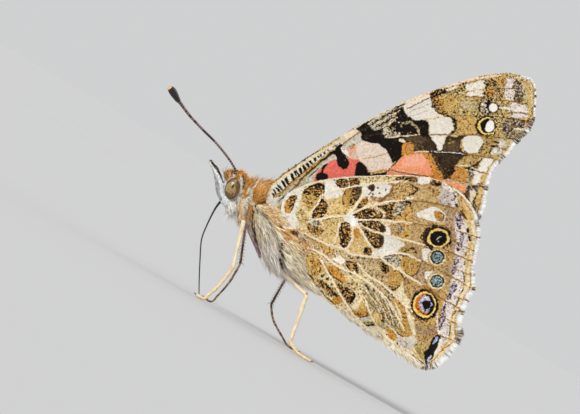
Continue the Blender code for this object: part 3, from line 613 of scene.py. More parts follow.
# Umber field and the orange patches at the rear edge
FORE_REAR = [
    blob("umber", (16.2, 5.0), (17.0, 4.95), (17.4, 5.3), (17.5, 6.0), (17.8, 6.45), (18.4, 6.25),
         (19.0, 6.5), (19.6, 6.4), (19.0, 5.6), (19.2, 4.9), (19.9, 4.5), (19.4, 4.0), (18.9, 3.6),
         (18.5, 3.2), (18.4, 2.6), (17.8, 2.1), (17.3, 2.0), (16.8, 3.0), (16.3, 4.0), (15.7, 4.7)),
    blob("pale_umber", (17.4, 5.6), (18.6, 5.9), (19.0, 5.4), (18.8, 4.9), (17.4, 4.95)),
    blob("dark_umber", (16.5, 4.0), (17.2, 4.5), (17.0, 3.2), (18.3, 3.2), (18.2, 2.6), (17.6, 2.2),
         (17.0, 2.6)),
    dots("olive", 0.24, (18.0, 6.0), (18.3, 5.8), (17.9, 5.7)),
    line("black", 0.1, (15.7, 4.66), (16.6, 4.66), (17.8, 4.62), (18.8, 4.5), (19.6, 4.42)),
    line("rose_white", 0.09, (16.0, 4.86), (17.0, 4.78), (18.0, 4.76), (18.8, 4.65), (19.4, 4.56)),
    line("cream_vein", 0.1, (14.4, 4.76), (15.2, 4.84), (16.0, 4.86)),
    line("orange_flecks", 0.3, (15.95, 4.6), (16.4, 3.8), (16.8, 3.0), (17.2, 2.3)),
    line("umber_flecks", 0.3, (16.2, 4.6), (16.65, 3.8), (17.05, 3.0), (17.4, 2.4)),
    blob("orange_flecks", (18.5, 3.4), (19.1, 3.35), (19.6, 3.0), (19.8, 2.4), (19.5, 1.85), (18.6, 1.9),
         (17.7, 2.1), (18.2, 2.6)),
    dots("black", 0.24, (18.15, 2.8), (17.9, 2.2), (18.4, 2.95), (18.25, 3.15)),
    blob("apricot", (17.3, 2.0), (18.4, 1.8), (19.45, 1.6), (19.6, 0.9), (19.0, 0.8), (18.0, 1.5),
         (17.3, 1.8)),
    line("grey_lilac", 0.1, (17.3, 2.05), (18.6, 1.8), (19.5, 1.63), (20.2, 1.52)),
    blob("olive_dots", (18.7, 3.45), (19.0, 4.0), (19.5, 4.4), (20.8, 4.35), (20.6, 3.8), (20.0, 3.4),
         (19.3, 3.35)),
    line("cream", 0.13, (18.6, 3.42), (19.2, 3.4), (20.0, 3.4)),
]

# White oval and the rows of eyespots
FORE_EYESPOTS = [
    blob("apex_flecks", (21.2, 12.2), (23.2, 12.3), (23.3, 10.4), (22.6, 9.9), (21.4, 9.9), (21.7, 10.9)),
    blob("ivory", (19.25, 6.1), (19.7, 6.4), (20.6, 6.45), (21.15, 6.2), (21.25, 5.6), (20.95, 5.0),
         (20.5, 4.68), (19.8, 4.72), (19.3, 5.1), (19.2, 5.6)),
    line("band_ochre", 0.16, (19.15, 6.0), (19.1, 5.5), (19.25, 5.05)),
    line("dark_brown", 0.14, (18.9, 6.3), (19.2, 6.42), (19.55, 6.45)),
    line("dark_brown", 0.12, (21.3, 6.1), (21.35, 5.7), (21.15, 5.35), (20.85, 4.9)),
    dots("black", 0.2, (21.35, 5.95), (21.25, 5.52)),
    blob("white", (21.0, 3.4), (21.2, 4.1), (21.8, 4.25), (22.3, 4.0), (21.9, 3.4), (21.3, 3.2)),
    blob("white", (20.3, 2.9), (20.9, 3.2), (21.6, 3.6), (21.7, 2.9), (21.2, 2.2), (20.9, 1.6), (20.2, 1.7)),
    blob("olive_dots", (21.1, 6.3), (22.3, 6.2), (22.6, 5.5), (21.9, 4.7), (21.0, 4.45), (21.1, 5.1),
         (21.4, 5.6)),
    line("dark_brown", 0.24, (21.1, 4.05), (20.7, 3.65), (20.2, 3.3), (19.5, 3.15)),
    line("black", 0.14, (19.3, 3.22), (20.0, 3.05), (20.6, 2.97)),
    line("rose_white", 0.12, (20.0, 3.2), (20.5, 3.18)),
    line("vein_brown", 0.11, (20.5, 2.97), (21.1, 2.78), (21.8, 2.55)),
    line("apex_dark", 0.45, (19.95, 2.95), (20.15, 2.5), (19.9, 2.05)),
    line("black", 0.14, (20.0, 1.5), (20.6, 1.42), (21.1, 1.33), (21.8, 1.15)),
    blob("apex_dark", (19.6, 1.4), (20.1, 1.4), (20.9, 1.3), (20.7, 0.8), (20.0, 0.9), (19.9, 0.1),
         (19.5, 0.5)),
    line("dark_brown", 0.2, (19.3, 0.7), (19.7, 0.25), (19.95, -0.1)),
    blob("cream", (20.0, 0.9), (20.5, 0.9), (20.5, 0.2), (20.1, -0.2), (19.95, 0.2)),
    line("brown", 0.12, (20.65, 1.3), (20.65, 0.6), (20.45, 0.1)),
    blob("rim_yellow", (21.2, 2.6), (21.6, 2.5), (21.6, 1.6), (21.0, 1.7), (21.0, 2.2)),
    blob("rim_yellow", (20.9, 1.2), (21.4, 1.1), (21.2, 0.4), (20.9, -0.2), (20.5, -0.3), (20.8, 0.5)),
    dots("maroon", 0.24, (20.35, -0.1), (20.3, -0.65), (20.38, -0.85), (20.45, 0.12), (20.85, 1.65),
         (21.15, 1.65)),

    oval("eye_black", 21.62, 7.38, 1.12, 1.05, -8, 0.1),
    oval("eye_yellow", 21.7, 7.38, 0.95, 0.88, -8, 0.07),
    oval("dark_brown", 21.8, 7.4, 0.82, 0.74, -8, 0.05),
    oval("eye_black", 21.65, 7.4, 0.66, 0.7, -8, 0.05),
    blob("bright", (21.5, 7.0), (21.65, 7.6), (22.0, 8.0), (22.35, 7.8), (22.45, 7.3), (22.2, 6.9),
         (21.85, 6.75)),
    line("apex_dark", 0.14, (20.35, 7.1), (20.5, 6.8), (20.8, 6.55)),

    blob("apex_pale", (19.0, 9.5), (19.7, 9.9), (20.5, 9.9), (20.8, 9.4), (20.5, 8.9), (19.6, 9.0)),
    blob("grey_specks", (21.1, 8.8), (21.3, 9.8), (21.9, 9.9), (21.9, 8.7)),
    oval("ink", 21.85, 9.2, 0.45, 0.62, 0, 0.3),
    dots("white", 0.24, (21.5, 9.45), (21.6, 9.08), (21.72, 8.85), (21.2, 9.55)),
    oval("brown", 22.32, 9.2, 0.5, 0.56, 0, 0.12),
    oval("bright", 22.3, 9.22, 0.4, 0.44, 0, 0.05),
    line("black", 0.13, (22.7, 9.45), (22.8, 9.15), (23.0, 9.1)),
    dots("black", 0.18, (21.0, 9.35), (20.95, 9.05), (21.2, 8.65), (21.0, 8.1), (20.5, 8.35), (20.35, 8.75),
         (21.3, 10.15), (21.1, 9.95), (21.35, 9.9), (21.6, 8.4), (20.9, 8.3), (22.1, 10.0)),
    line("dark_brown", 0.13, (21.05, 9.8), (20.85, 9.4), (20.9, 8.9)),
]

# Ochre field and its dark front edge
FORE_FIELD = [
    blob("gold_flecks", (16.6, 9.9), (17.2, 10.3), (18.4, 10.4), (18.8, 9.6), (18.0, 8.7), (17.3, 9.0)),
    blob("speckle", (16.2, 10.2), (17.2, 10.5), (17.0, 9.8), (17.3, 9.2), (17.7, 8.8), (17.9, 8.5),
         (17.2, 8.5), (16.8, 9.1), (16.3, 9.6)),
    blob("gold_flecks", (18.2, 8.3), (18.9, 8.1), (18.8, 7.0), (18.4, 6.65), (18.3, 7.4)),
    line("edge_flecks", 0.4, (16.1, 10.3), (16.4, 9.5), (16.9, 8.8), (17.8, 8.4)),
    line("edge_flecks", 0.34, (18.25, 8.1), (18.5, 7.6), (18.45, 6.9), (17.9, 6.5)),
    line("black", 0.2, (17.9, 8.4), (18.3, 8.1), (18.7, 7.95)),
    line("black", 0.17, (18.15, 7.8), (18.6, 7.68)),
    dots("black", 0.24, (18.42, 7.35), (18.5, 7.1), (18.25, 6.85), (18.55, 7.95), (16.25, 9.3), (17.0, 8.65)),
    blob("ochre", (19.0, 8.3), (20.6, 8.2), (20.4, 7.4), (20.6, 6.7), (19.0, 6.6), (18.8, 7.4)),
    dots("slate", 0.14, (19.45, 7.3), (19.3, 7.1), (19.75, 7.3), (19.15, 6.9), (19.9, 7.05)),
    blob("dark_speckle", (15.9, 10.55), (16.8, 10.95), (17.8, 11.2), (17.7, 10.8), (16.4, 10.3)),
    line("black", 0.16, (15.95, 10.55), (16.8, 10.95), (17.7, 11.2)),
    line("black", 0.17, (16.2, 10.2), (16.9, 10.55), (17.7, 10.9)),
    line("white", 0.24, (17.6, 10.95), (18.1, 11.1), (18.7, 11.3)),
    line("vein_brown", 0.1, (17.5, 10.6), (18.2, 10.9), (18.8, 11.1)),
    dots("black", 0.2, (18.7, 10.75), (18.5, 10.8), (19.0, 11.45), (19.3, 11.6), (19.55, 11.68),
         (19.12, 11.1), (19.25, 10.9), (19.62, 10.75)),
    dots("black", 0.3, (19.42, 11.25),),
    blob("white", (19.5, 11.4), (20.4, 11.75), (21.2, 11.95), (21.45, 11.6), (21.3, 11.2), (20.4, 11.0),
         (19.7, 10.9)),
    blob("white", (19.9, 10.8), (21.1, 10.95), (21.35, 10.5), (21.5, 10.3), (20.6, 10.35), (19.6, 10.35)),
    line("apex_pale", 0.09, (19.7, 10.88), (20.5, 10.98), (21.3, 11.1)),
    line("vein_brown", 0.1, (19.3, 10.3), (20.4, 10.3), (21.3, 10.15)),
    line("black", 0.14, (21.3, 11.8), (21.5, 11.6)),
    dots("black", 0.32, (21.72, 11.5), (21.4, 10.62)),
    oval("orange", 21.95, 10.7, 0.45, 0.3, 30, 0.2),
    dots("ink", 0.22, (21.78, 10.72), (21.8, 10.4), (22.2, 10.5), (21.5, 11.2), (21.4, 10.3)),
    blob("gold_flecks", (22.6, 12.2), (23.4, 12.25), (23.3, 11.8), (22.9, 11.5)),
    dots("orange_flecks", 0.35, (22.9, 12.0), (23.2, 11.9)),
]

# Apex
FORE_APEX = [
    blob("apex_dark", (24.3, 12.0), (25.1, 11.7), (25.3, 10.6), (25.1, 9.8), (24.4, 9.9), (24.2, 10.8)),
    blob("rose_white", (23.7, 12.1), (24.4, 12.0), (24.2, 11.3), (24.4, 10.6), (24.2, 10.0), (23.6, 10.1),
         (23.4, 10.8), (23.6, 11.6)),
    blob("apex_pale", (25.2, 12.0), (25.9, 11.4), (26.1, 10.4), (26.0, 9.0), (25.4, 9.2), (25.3, 10.6)),
    blob("rose_white", (23.7, 9.2), (24.4, 9.7), (25.3, 9.5), (25.9, 8.9), (25.7, 8.3), (24.4, 8.2),
         (24.0, 8.8)),
    line("white", 0.2, (22.9, 9.2), (24.0, 9.1), (25.2, 8.9), (26.0, 8.8)),
    line("vein_brown", 0.1, (23.9, 8.8), (25.0, 8.7), (26.0, 8.55)),
    dots("dark_brown", 0.16, (23.9, 8.7), (24.15, 8.8), (23.7, 8.95), (24.2, 8.6), (25.6, 9.7), (25.75, 9.6)),
    blob("apex_dark", (23.4, 7.9), (25.9, 7.8), (26.0, 7.1), (24.8, 7.2), (23.8, 7.0), (23.3, 7.3)),
    blob("apex_dark", (23.3, 7.3), (24.3, 7.2), (24.4, 6.5), (23.5, 6.3)),
    line("white", 0.22, (24.4, 7.15), (25.0, 7.05), (25.5, 6.8)),
    dots("orange", 0.3, (25.85, 7.4), (25.6, 7.6), (24.7, 6.3), (24.95, 6.35), (24.4, 5.8), (24.55, 5.9)),
    blob("grey_white", (22.7, 5.4), (22.9, 6.1), (23.4, 5.9), (23.9, 5.6), (23.5, 5.2)),
    blob("apex_pale", (23.6, 6.0), (24.2, 5.9), (24.2, 5.3), (23.6, 5.3)),
    blob("grey_white", (22.0, 4.6), (22.4, 5.4), (23.2, 5.2), (22.9, 4.5)),
    dots("white", 0.4, (22.5, 4.9), (23.1, 5.6)),
    line("black", 0.22, (22.1, 5.45), (22.4, 5.35), (22.7, 5.4)),
    line("dark_brown", 0.15, (22.2, 5.2), (22.0, 4.9), (21.85, 4.6)),
    dots("dark_brown", 0.24, (22.6, 5.8), (22.75, 5.7), (22.4, 5.8)),
]

# Outer veins
FORE_VEINS = [
    line("vein_brown", 0.1, (18.2, 6.55), (19.2, 6.5), (20.2, 6.5), (21.4, 6.42), (22.6, 6.28), (23.8, 6.1)),
    line("black", 0.13, (23.7, 6.12), (24.4, 6.05), (25.0, 5.95)),
    line("vein_brown", 0.11, (19.5, 4.55), (20.4, 4.48), (21.4, 4.3), (22.3, 4.15), (22.9, 4.0)),
    line("dark_brown", 0.1, (21.7, 8.32), (22.5, 8.35), (23.3, 8.22), (24.6, 8.05), (26.0, 7.8)),
    *lines("vein_brown", [
        (0.09, (22.5, 9.98), (23.5, 9.95), (24.6, 9.75), (26.0, 9.55)),
        (0.1, (22.4, 5.35), (23.2, 5.1), (23.9, 4.85)),
        (0.08, (18.3, 8.42), (19.6, 8.4), (20.6, 8.38)),
        (0.08, (22.4, 11.2), (23.4, 11.2), (24.6, 11.1)),
    ]),
]

# Outer margin and front edge
FORE_RIM = [
    line("rim_yellow", 0.24, (25.2, 11.8), (25.75, 11.2), (25.9, 10.2), (25.9, 9.2), (25.8, 8.4)),
    line("rim_cream", 0.12, (24.4, 12.25), (25.2, 12.2), (25.9, 11.85), (26.1, 11.2), (26.12, 10.4),
         (26.12, 9.2)),
    line("rim_yellow", 0.3, (24.4, 5.5), (23.3, 4.5), (22.7, 3.9), (22.0, 3.2)),
    line("gold", 0.08, (24.6, 12.1), (25.2, 12.05), (25.7, 11.75), (25.9, 11.2), (25.98, 10.4), (26.0, 9.4),
         (25.95, 8.6)),
    line("rim_orange", 0.08, (25.85, 7.8), (25.6, 6.8), (24.8, 5.9), (24.4, 5.45), (23.5, 4.55),
         (22.85, 3.85), (22.1, 3.05), (21.65, 2.3), (21.62, 1.5), (21.35, 0.8), (20.95, -0.1), (20.9, -1.2)),
    line("cream", 0.3, (-0.3, 0.2), (0.0, 1.0), (0.65, 1.75), (1.6, 2.45), (3.3, 3.65), (5.2, 4.85),
         (7.0, 5.95), (8.6, 6.95)),
    line("black", 0.09, (0.42, 1.72), (1.0, 2.25), (2.2, 3.15), (3.4, 4.0), (4.4, 4.62), (5.0, 4.95)),
    line("cream", 0.13, (8.6, 7.15), (9.8, 7.95), (11.0, 8.65), (12.4, 9.35), (13.4, 9.75)),
    line("costa", 0.3, (13.4, 9.7), (14.6, 10.15), (15.9, 10.65)),
    line("costa", 0.22, (17.2, 11.15), (18.6, 11.6), (20.0, 12.0), (21.4, 12.25), (23.0, 12.45)),
]

FORE_UNDER = [
    *FORE_ROOT, *FORE_CELL, *FORE_BANDS, *FORE_DOME, *FORE_WHITES, *FORE_REAR, *FORE_EYESPOTS,
    *FORE_FIELD, *FORE_APEX, *FORE_VEINS, *FORE_RIM,
]


# Hindwing's marks ----------------------------------------------------------------------------

# Grounds
HIND_GROUNDS = [
    blob("gold", (2.8, -1.6), (3.4, 0.6), (5.6, 0.3), (7.8, 0.6), (9.0, 0.2), (8.6, -1.2), (8.8, -4.4),
         (7.8, -5.2), (5.2, -4.6), (3.6, -3.4)),
    blob("tan_mottle", (10.0, 0.2), (10.2, 2.4), (16.2, 2.4), (16.4, 0.6), (14.6, -0.6), (12.0, -0.4)),
    blob("tan_specks", (8.6, -5.6), (10.8, -5.6), (12.0, -6.4), (12.4, -7.6), (11.8, -8.6), (10.2, -8.2),
         (8.8, -7.2)),
    blob("gold", (8.4, -2.4), (9.0, -2.3), (10.0, -3.4), (10.6, -4.8), (9.8, -5.6), (8.2, -5.2)),
    blob("white", (1.2, -0.6), (1.7, 0.6), (3.2, 1.3), (3.5, 0.7), (2.9, -0.2), (3.1, -1.2), (2.9, -2.4),
         (1.5, -2.8)),
    blob("white", (5.4, 0.4), (5.5, 2.0), (6.4, 2.1), (6.7, 1.2), (6.2, 0.3)),
    blob("white", (7.0, 1.3), (7.4, 2.2), (8.0, 2.1), (8.0, 1.3)),
    blob("white", (9.0, 1.7), (10.0, 1.7), (10.1, 0.5), (9.2, 0.2)),
    blob("white", (7.3, -1.8), (7.9, -1.15), (8.5, -1.3), (9.0, -1.85), (8.9, -2.4), (8.0, -2.6)),
    blob("tan_streak", (3.0, -3.2), (5.2, -4.4), (7.8, -5.3), (10.8, -5.9), (12.2, -7.2), (12.4, -9.4),
         (13.4, -13.4), (10.6, -12.6), (8.0, -10.6), (5.0, -9.0), (3.2, -6.6)),
    blob("tan", (13.6, 0.4), (14.6, 1.4), (16.6, 1.5), (18.8, 0.5), (19.4, -1.2), (19.2, -4.0), (19.0, -6.5),
         (18.5, -9.0), (17.4, -11.0), (16.8, -13.2), (16.2, -15.0), (15.2, -16.0), (14.3, -14.2),
         (14.5, -12.4), (14.1, -10.6), (13.2, -9.4), (13.4, -8.2), (14.6, -7.6), (14.6, -6.0), (13.4, -4.2),
         (13.8, -2.2)),
    blob("tan_specks", (13.4, -7.8), (14.8, -6.6), (16.0, -7.0), (16.0, -8.6), (17.6, -9.0), (17.3, -10.8),
         (16.9, -12.0), (16.4, -13.4), (15.4, -14.2), (14.4, -13.6), (14.4, -11.6), (13.6, -9.8),
         (13.0, -8.6)),
    blob("taupe", (14.4, -5.2), (15.3, -5.3), (15.5, -6.6), (15.6, -8.2), (14.6, -8.2), (14.2, -7.0)),
    blob("taupe", (17.3, -1.0), (18.5, -0.9), (18.9, -2.0), (18.5, -3.6), (17.9, -3.8), (17.5, -2.4)),
    blob("ochre", (17.8, -3.8), (18.6, -4.0), (18.5, -5.2), (18.3, -6.6), (17.6, -7.6), (17.4, -6.4),
         (17.7, -5.2)),
    blob("ivory", (10.3, 0.4), (11.8, 0.5), (12.1, 1.4), (10.5, 1.6)),
    blob("white", (5.6, 1.0), (6.9, 1.1), (7.1, 0.6), (6.4, 0.1), (5.8, -0.1), (5.5, 0.3)),
    blob("white", (6.1, -5.2), (6.8, -5.5), (7.5, -6.0), (7.2, -6.4), (6.5, -6.1)),
    blob("cream_dots", (8.4, 2.25), (12.2, 2.35), (12.2, 1.75), (8.6, 1.7)),
]

# Base patches
HIND_BASE = [
    blob("orange_ochre", (2.5, 0.55), (2.65, 0.3), (2.4, -0.4), (2.0, -1.25), (1.7, -1.35), (1.4, -1.0),
         (1.6, -0.1), (1.95, 0.25)),
    line("black", 0.16, (1.75, -0.05), (2.0, 0.28), (2.45, 0.36), (2.6, 0.1)),
    blob("dense_speckle", (2.65, 0.4), (2.5, -0.3), (2.15, -1.05), (1.9, -0.8), (2.0, -0.2), (1.85, 0.1),
         (2.2, 0.45)),
    blob("fur_gold", (1.2, -2.8), (2.2, -2.9), (3.1, -2.95), (3.5, -3.3), (2.8, -3.7), (1.6, -3.6)),
    blob("gold_flecks", (3.2, 0.7), (4.2, 0.9), (5.1, 0.4), (4.5, -0.5), (4.1, -0.95), (3.7, -0.8),
         (3.3, -0.3)),
    blob("dense_speckle", (3.15, 0.75), (3.6, 1.1), (4.3, 1.5), (5.3, 1.7), (5.45, 0.9), (5.1, 0.35),
         (4.7, 0.3), (4.2, 0.55), (3.6, 0.5)),
    dots("dense_speckle", 0.22, (3.6, 0.3), (4.0, 0.2), (4.5, 0.05), (3.75, -0.2), (4.2, -0.3)),
    line("black", 0.17, (3.4, 0.95), (4.1, 1.4), (4.9, 1.6), (5.35, 1.3)),
    line("black", 0.13, (5.3, 1.3), (5.4, 0.7), (5.05, 0.4)),
    blob("dense_speckle", (5.1, 0.15), (5.5, -0.25), (5.75, -0.7), (5.6, -1.3), (5.0, -1.85), (4.15, -1.8),
         (4.25, -1.2), (4.55, -0.5)),
    line("black", 0.13, (4.2, -1.7), (4.4, -0.9), (5.0, 0.1), (5.5, -0.2), (5.75, -0.7)),
    blob("cream_dots", (2.6, -0.8), (3.2, -0.75), (3.7, -1.2), (3.9, -1.8), (3.5, -2.5), (2.8, -2.2),
         (2.5, -1.4)),
    dots("gold_flecks", 0.5, (3.2, -1.2), (3.45, -1.75), (3.1, -2.0)),
    dots("dark_brown", 0.1, (3.0, -1.0), (3.35, -1.1), (3.5, -1.5), (3.2, -1.6), (3.6, -1.95), (2.9, -1.5)),
    blob("pale_ochre", (7.4, 0.0), (7.5, -1.6), (6.0, -1.75), (5.7, -1.4), (6.0, -0.6), (5.75, 0.0),
         (6.4, 0.25)),
    blob("dark_speckle", (6.5, 1.9), (7.6, 2.15), (7.8, 1.4), (6.9, 1.2)),
    blob("dark_speckle", (7.9, 2.2), (8.8, 2.15), (8.9, 1.5), (8.05, 1.35)),
    dots("black", 0.16, (8.5, 2.15), (8.85, 2.0), (6.4, 2.0), (9.3, 2.05)),
    blob("ochre_dots", (7.9, 1.3), (8.5, 1.2), (8.4, 0.2), (7.9, -0.8), (7.3, -0.5), (7.15, 0.2), (7.5, 1.0)),
    blob("dark_speckle", (8.2, 1.3), (9.1, 1.4), (9.15, 0.8), (8.75, 0.0), (8.2, -0.55), (7.9, -0.2),
         (8.1, 0.5)),
    blob("umber_flecks", (8.6, 1.35), (9.15, 1.3), (9.15, 0.75), (8.8, 0.1), (8.45, 0.2), (8.7, 0.8)),
    line("black", 0.12, (7.6, 1.05), (7.2, 0.4), (7.3, -0.5)),
    blob("dark_brown", (9.7, 1.4), (10.4, 1.5), (10.35, 0.85), (9.8, 1.1)),
    dots("dark_brown", 0.18, (10.0, 0.75), (9.85, 0.55), (10.25, 0.6), (10.7, 1.2), (10.9, 0.7), (11.5, 1.0)),
    blob("speckle", (7.9, -1.2), (8.6, -0.7), (9.1, 0.0), (9.7, 0.35), (9.7, -0.3), (9.2, -0.75),
         (8.5, -1.1)),
    blob("brown_mottle", (11.9, 0.2), (12.3, 1.5), (14.0, 1.65), (14.6, 1.1), (13.9, 0.5), (13.2, 0.05)),
    line("vein_brown", 0.28, (10.9, -0.1), (11.4, 0.2), (12.0, 0.7), (12.3, 1.5)),
    line("black", 0.17, (14.0, 1.6), (14.65, 1.15), (14.5, 0.8), (13.8, 0.4)),
    dots("white", 0.3, (13.75, 0.18), (14.15, 0.2)),
    blob("dense_speckle", (8.2, -1.6), (9.2, -1.0), (10.0, -0.75), (10.9, -1.1), (11.25, -1.5), (11.1, -1.9),
         (9.2, -1.9)),
    line("black", 0.12, (8.3, -1.55), (9.0, -1.15), (9.9, -0.85)),
    line("black", 0.12, (8.8, -1.85), (10.0, -1.8), (11.1, -1.75)),
    line("cream", 0.14, (10.3, -0.8), (11.0, -1.05), (11.5, -1.35)),
    blob("dark_speckle", (10.6, -0.65), (11.4, -0.5), (12.3, -0.45), (12.25, -1.2), (12.2, -1.9),
         (11.4, -1.9), (11.5, -1.4), (11.2, -1.0)),
    blob("speckle", (12.35, -0.2), (14.0, -0.15), (14.05, -2.1), (12.35, -2.0)),
    blob("grey_specks", (12.4, -0.5), (13.6, -0.35), (13.7, -0.9), (13.0, -1.4), (12.4, -1.8)),
    blob("ochre_dots", (13.7, -0.5), (14.0, -0.5), (14.0, -2.1), (12.9, -2.0), (13.2, -1.4)),
    blob("black", (13.4, -0.15), (14.05, -0.15), (14.05, -0.5), (13.75, -0.4)),
    dots("orange_ochre", 0.3, (13.4, -1.4), (12.9, -1.7), (13.5, -1.8)),
]

# Wedges and oval in the middle
HIND_MIDDLE = [
    blob("dense_speckle", (8.75, -2.1), (10.6, -2.05), (11.2, -2.4), (11.55, -2.85), (11.4, -3.2),
         (10.4, -3.05), (9.4, -2.7)),
    blob("dark_brown", (11.1, -2.35), (11.45, -2.6), (11.6, -3.0), (11.4, -3.2), (11.0, -3.05)),
    line("black", 0.11, (8.8, -2.1), (10.0, -2.1), (11.0, -2.25)),
    blob("dense_speckle", (9.1, -2.9), (10.2, -3.1), (11.0, -3.35), (11.35, -3.8), (11.25, -4.4),
         (10.9, -4.8), (10.3, -4.6), (9.8, -4.0)),
    blob("dark_brown", (11.0, -3.4), (11.35, -3.8), (11.3, -4.4), (10.95, -4.75), (10.85, -4.0)),
    line("black", 0.12, (9.1, -2.9), (9.7, -3.9), (10.3, -4.6), (10.9, -4.85)),
    blob("pale_ochre", (5.4, -2.0), (6.9, -1.95), (6.7, -3.2), (6.45, -4.3), (5.8, -4.15), (5.3, -2.9)),
    dots("dark_brown", 0.13, (5.8, -2.5), (6.2, -3.1), (5.9, -3.5), (6.3, -2.3)),
    oval("dense_speckle", 7.45, -3.45, 0.58, 1.27, -6),
    line("black", 0.15, (7.0, -4.3), (7.45, -4.72), (7.85, -4.4)),
    line("black", 0.1, (7.0, -2.6), (7.4, -2.2), (7.9, -2.5), (8.0, -3.4)),
    blob("pale_ochre", (8.35, -2.9), (8.9, -3.0), (9.4, -3.9), (10.0, -4.8), (9.7, -5.5), (8.3, -5.15),
         (8.0, -4.7), (8.4, -3.7)),
    blob("orange_ochre", (8.35, -2.9), (8.85, -3.0), (9.0, -3.7), (8.45, -3.7)),
    blob("dark_speckle", (9.4, -4.8), (9.9, -4.7), (10.15, -5.2), (9.9, -5.55), (9.4, -5.4)),
    blob("grey_specks", (3.9, -2.0), (4.8, -2.05), (4.9, -2.5), (3.9, -2.6)),
    blob("speckle", (3.75, -2.6), (4.8, -2.6), (5.35, -3.1), (4.8, -3.5), (3.9, -3.2)),
    blob("ochre_dots", (4.2, -4.0), (5.2, -4.3), (6.1, -4.85), (6.6, -5.75), (5.8, -5.3), (4.9, -4.6)),
    blob("ochre_dots", (12.0, -2.4), (13.7, -2.4), (13.75, -3.8), (12.8, -3.75), (12.0, -3.4)),
    blob("tan_specks", (12.0, -2.4), (13.2, -2.4), (13.3, -2.9), (13.0, -3.6), (12.0, -3.4)),
    dots("grey_specks", 0.35, (12.9, -2.9), (13.2, -3.0), (12.5, -2.7)),
    line("pale_ochre", 0.12, (13.85, -0.4), (13.9, -2.2), (13.85, -3.9)),
    blob("white", (11.6, -2.7), (12.0, -2.8), (11.95, -3.5), (11.6, -3.4)),
    blob("white", (11.4, -3.5), (12.1, -3.65), (13.3, -4.35), (13.0, -4.8), (12.75, -5.35), (11.5, -5.5),
         (10.2, -5.5), (10.2, -5.1), (11.2, -4.8)),
    blob("tan", (13.4, -4.2), (14.8, -4.4), (15.2, -5.2), (13.8, -5.3)),
    blob("olive_dots", (13.1, -4.7), (13.9, -4.6), (14.7, -4.9), (14.6, -5.35), (12.85, -5.35)),
    dots("dark_brown", 0.15, (14.55, -5.2), (14.55, -5.55), (13.6, -5.0), (13.5, -5.2)),
    blob("grey_specks", (11.3, -5.7), (12.3, -5.6), (13.2, -6.0), (12.9, -6.7), (11.9, -6.4)),
    dots("black", 0.2, (13.05, -6.0), (12.3, -6.1), (11.7, -5.95)),
    blob("dark_speckle", (11.0, -6.2), (11.7, -6.4), (11.9, -7.2), (11.2, -7.2)),
    blob("band_ochre", (13.2, -5.6), (14.4, -5.8), (15.05, -6.5), (14.7, -7.2), (14.0, -7.65), (13.1, -6.9)),
    line("dark_brown", 0.12, (15.0, -6.4), (14.75, -7.15), (14.1, -7.6), (13.5, -7.2)),
    blob("band_ochre", (12.0, -7.0), (13.0, -7.1), (13.5, -8.0), (13.1, -8.7), (12.4, -9.15), (11.9, -8.4),
         (11.8, -7.6)),
    line("black", 0.14, (12.9, -7.1), (13.25, -7.6), (13.5, -8.0)),
    line("dark_brown", 0.2, (12.1, -8.9), (12.45, -8.95), (12.8, -8.7)),
    dots("black", 0.16, (12.25, -9.05), (12.55, -8.8), (12.9, -8.55), (12.1, -8.7)),
]

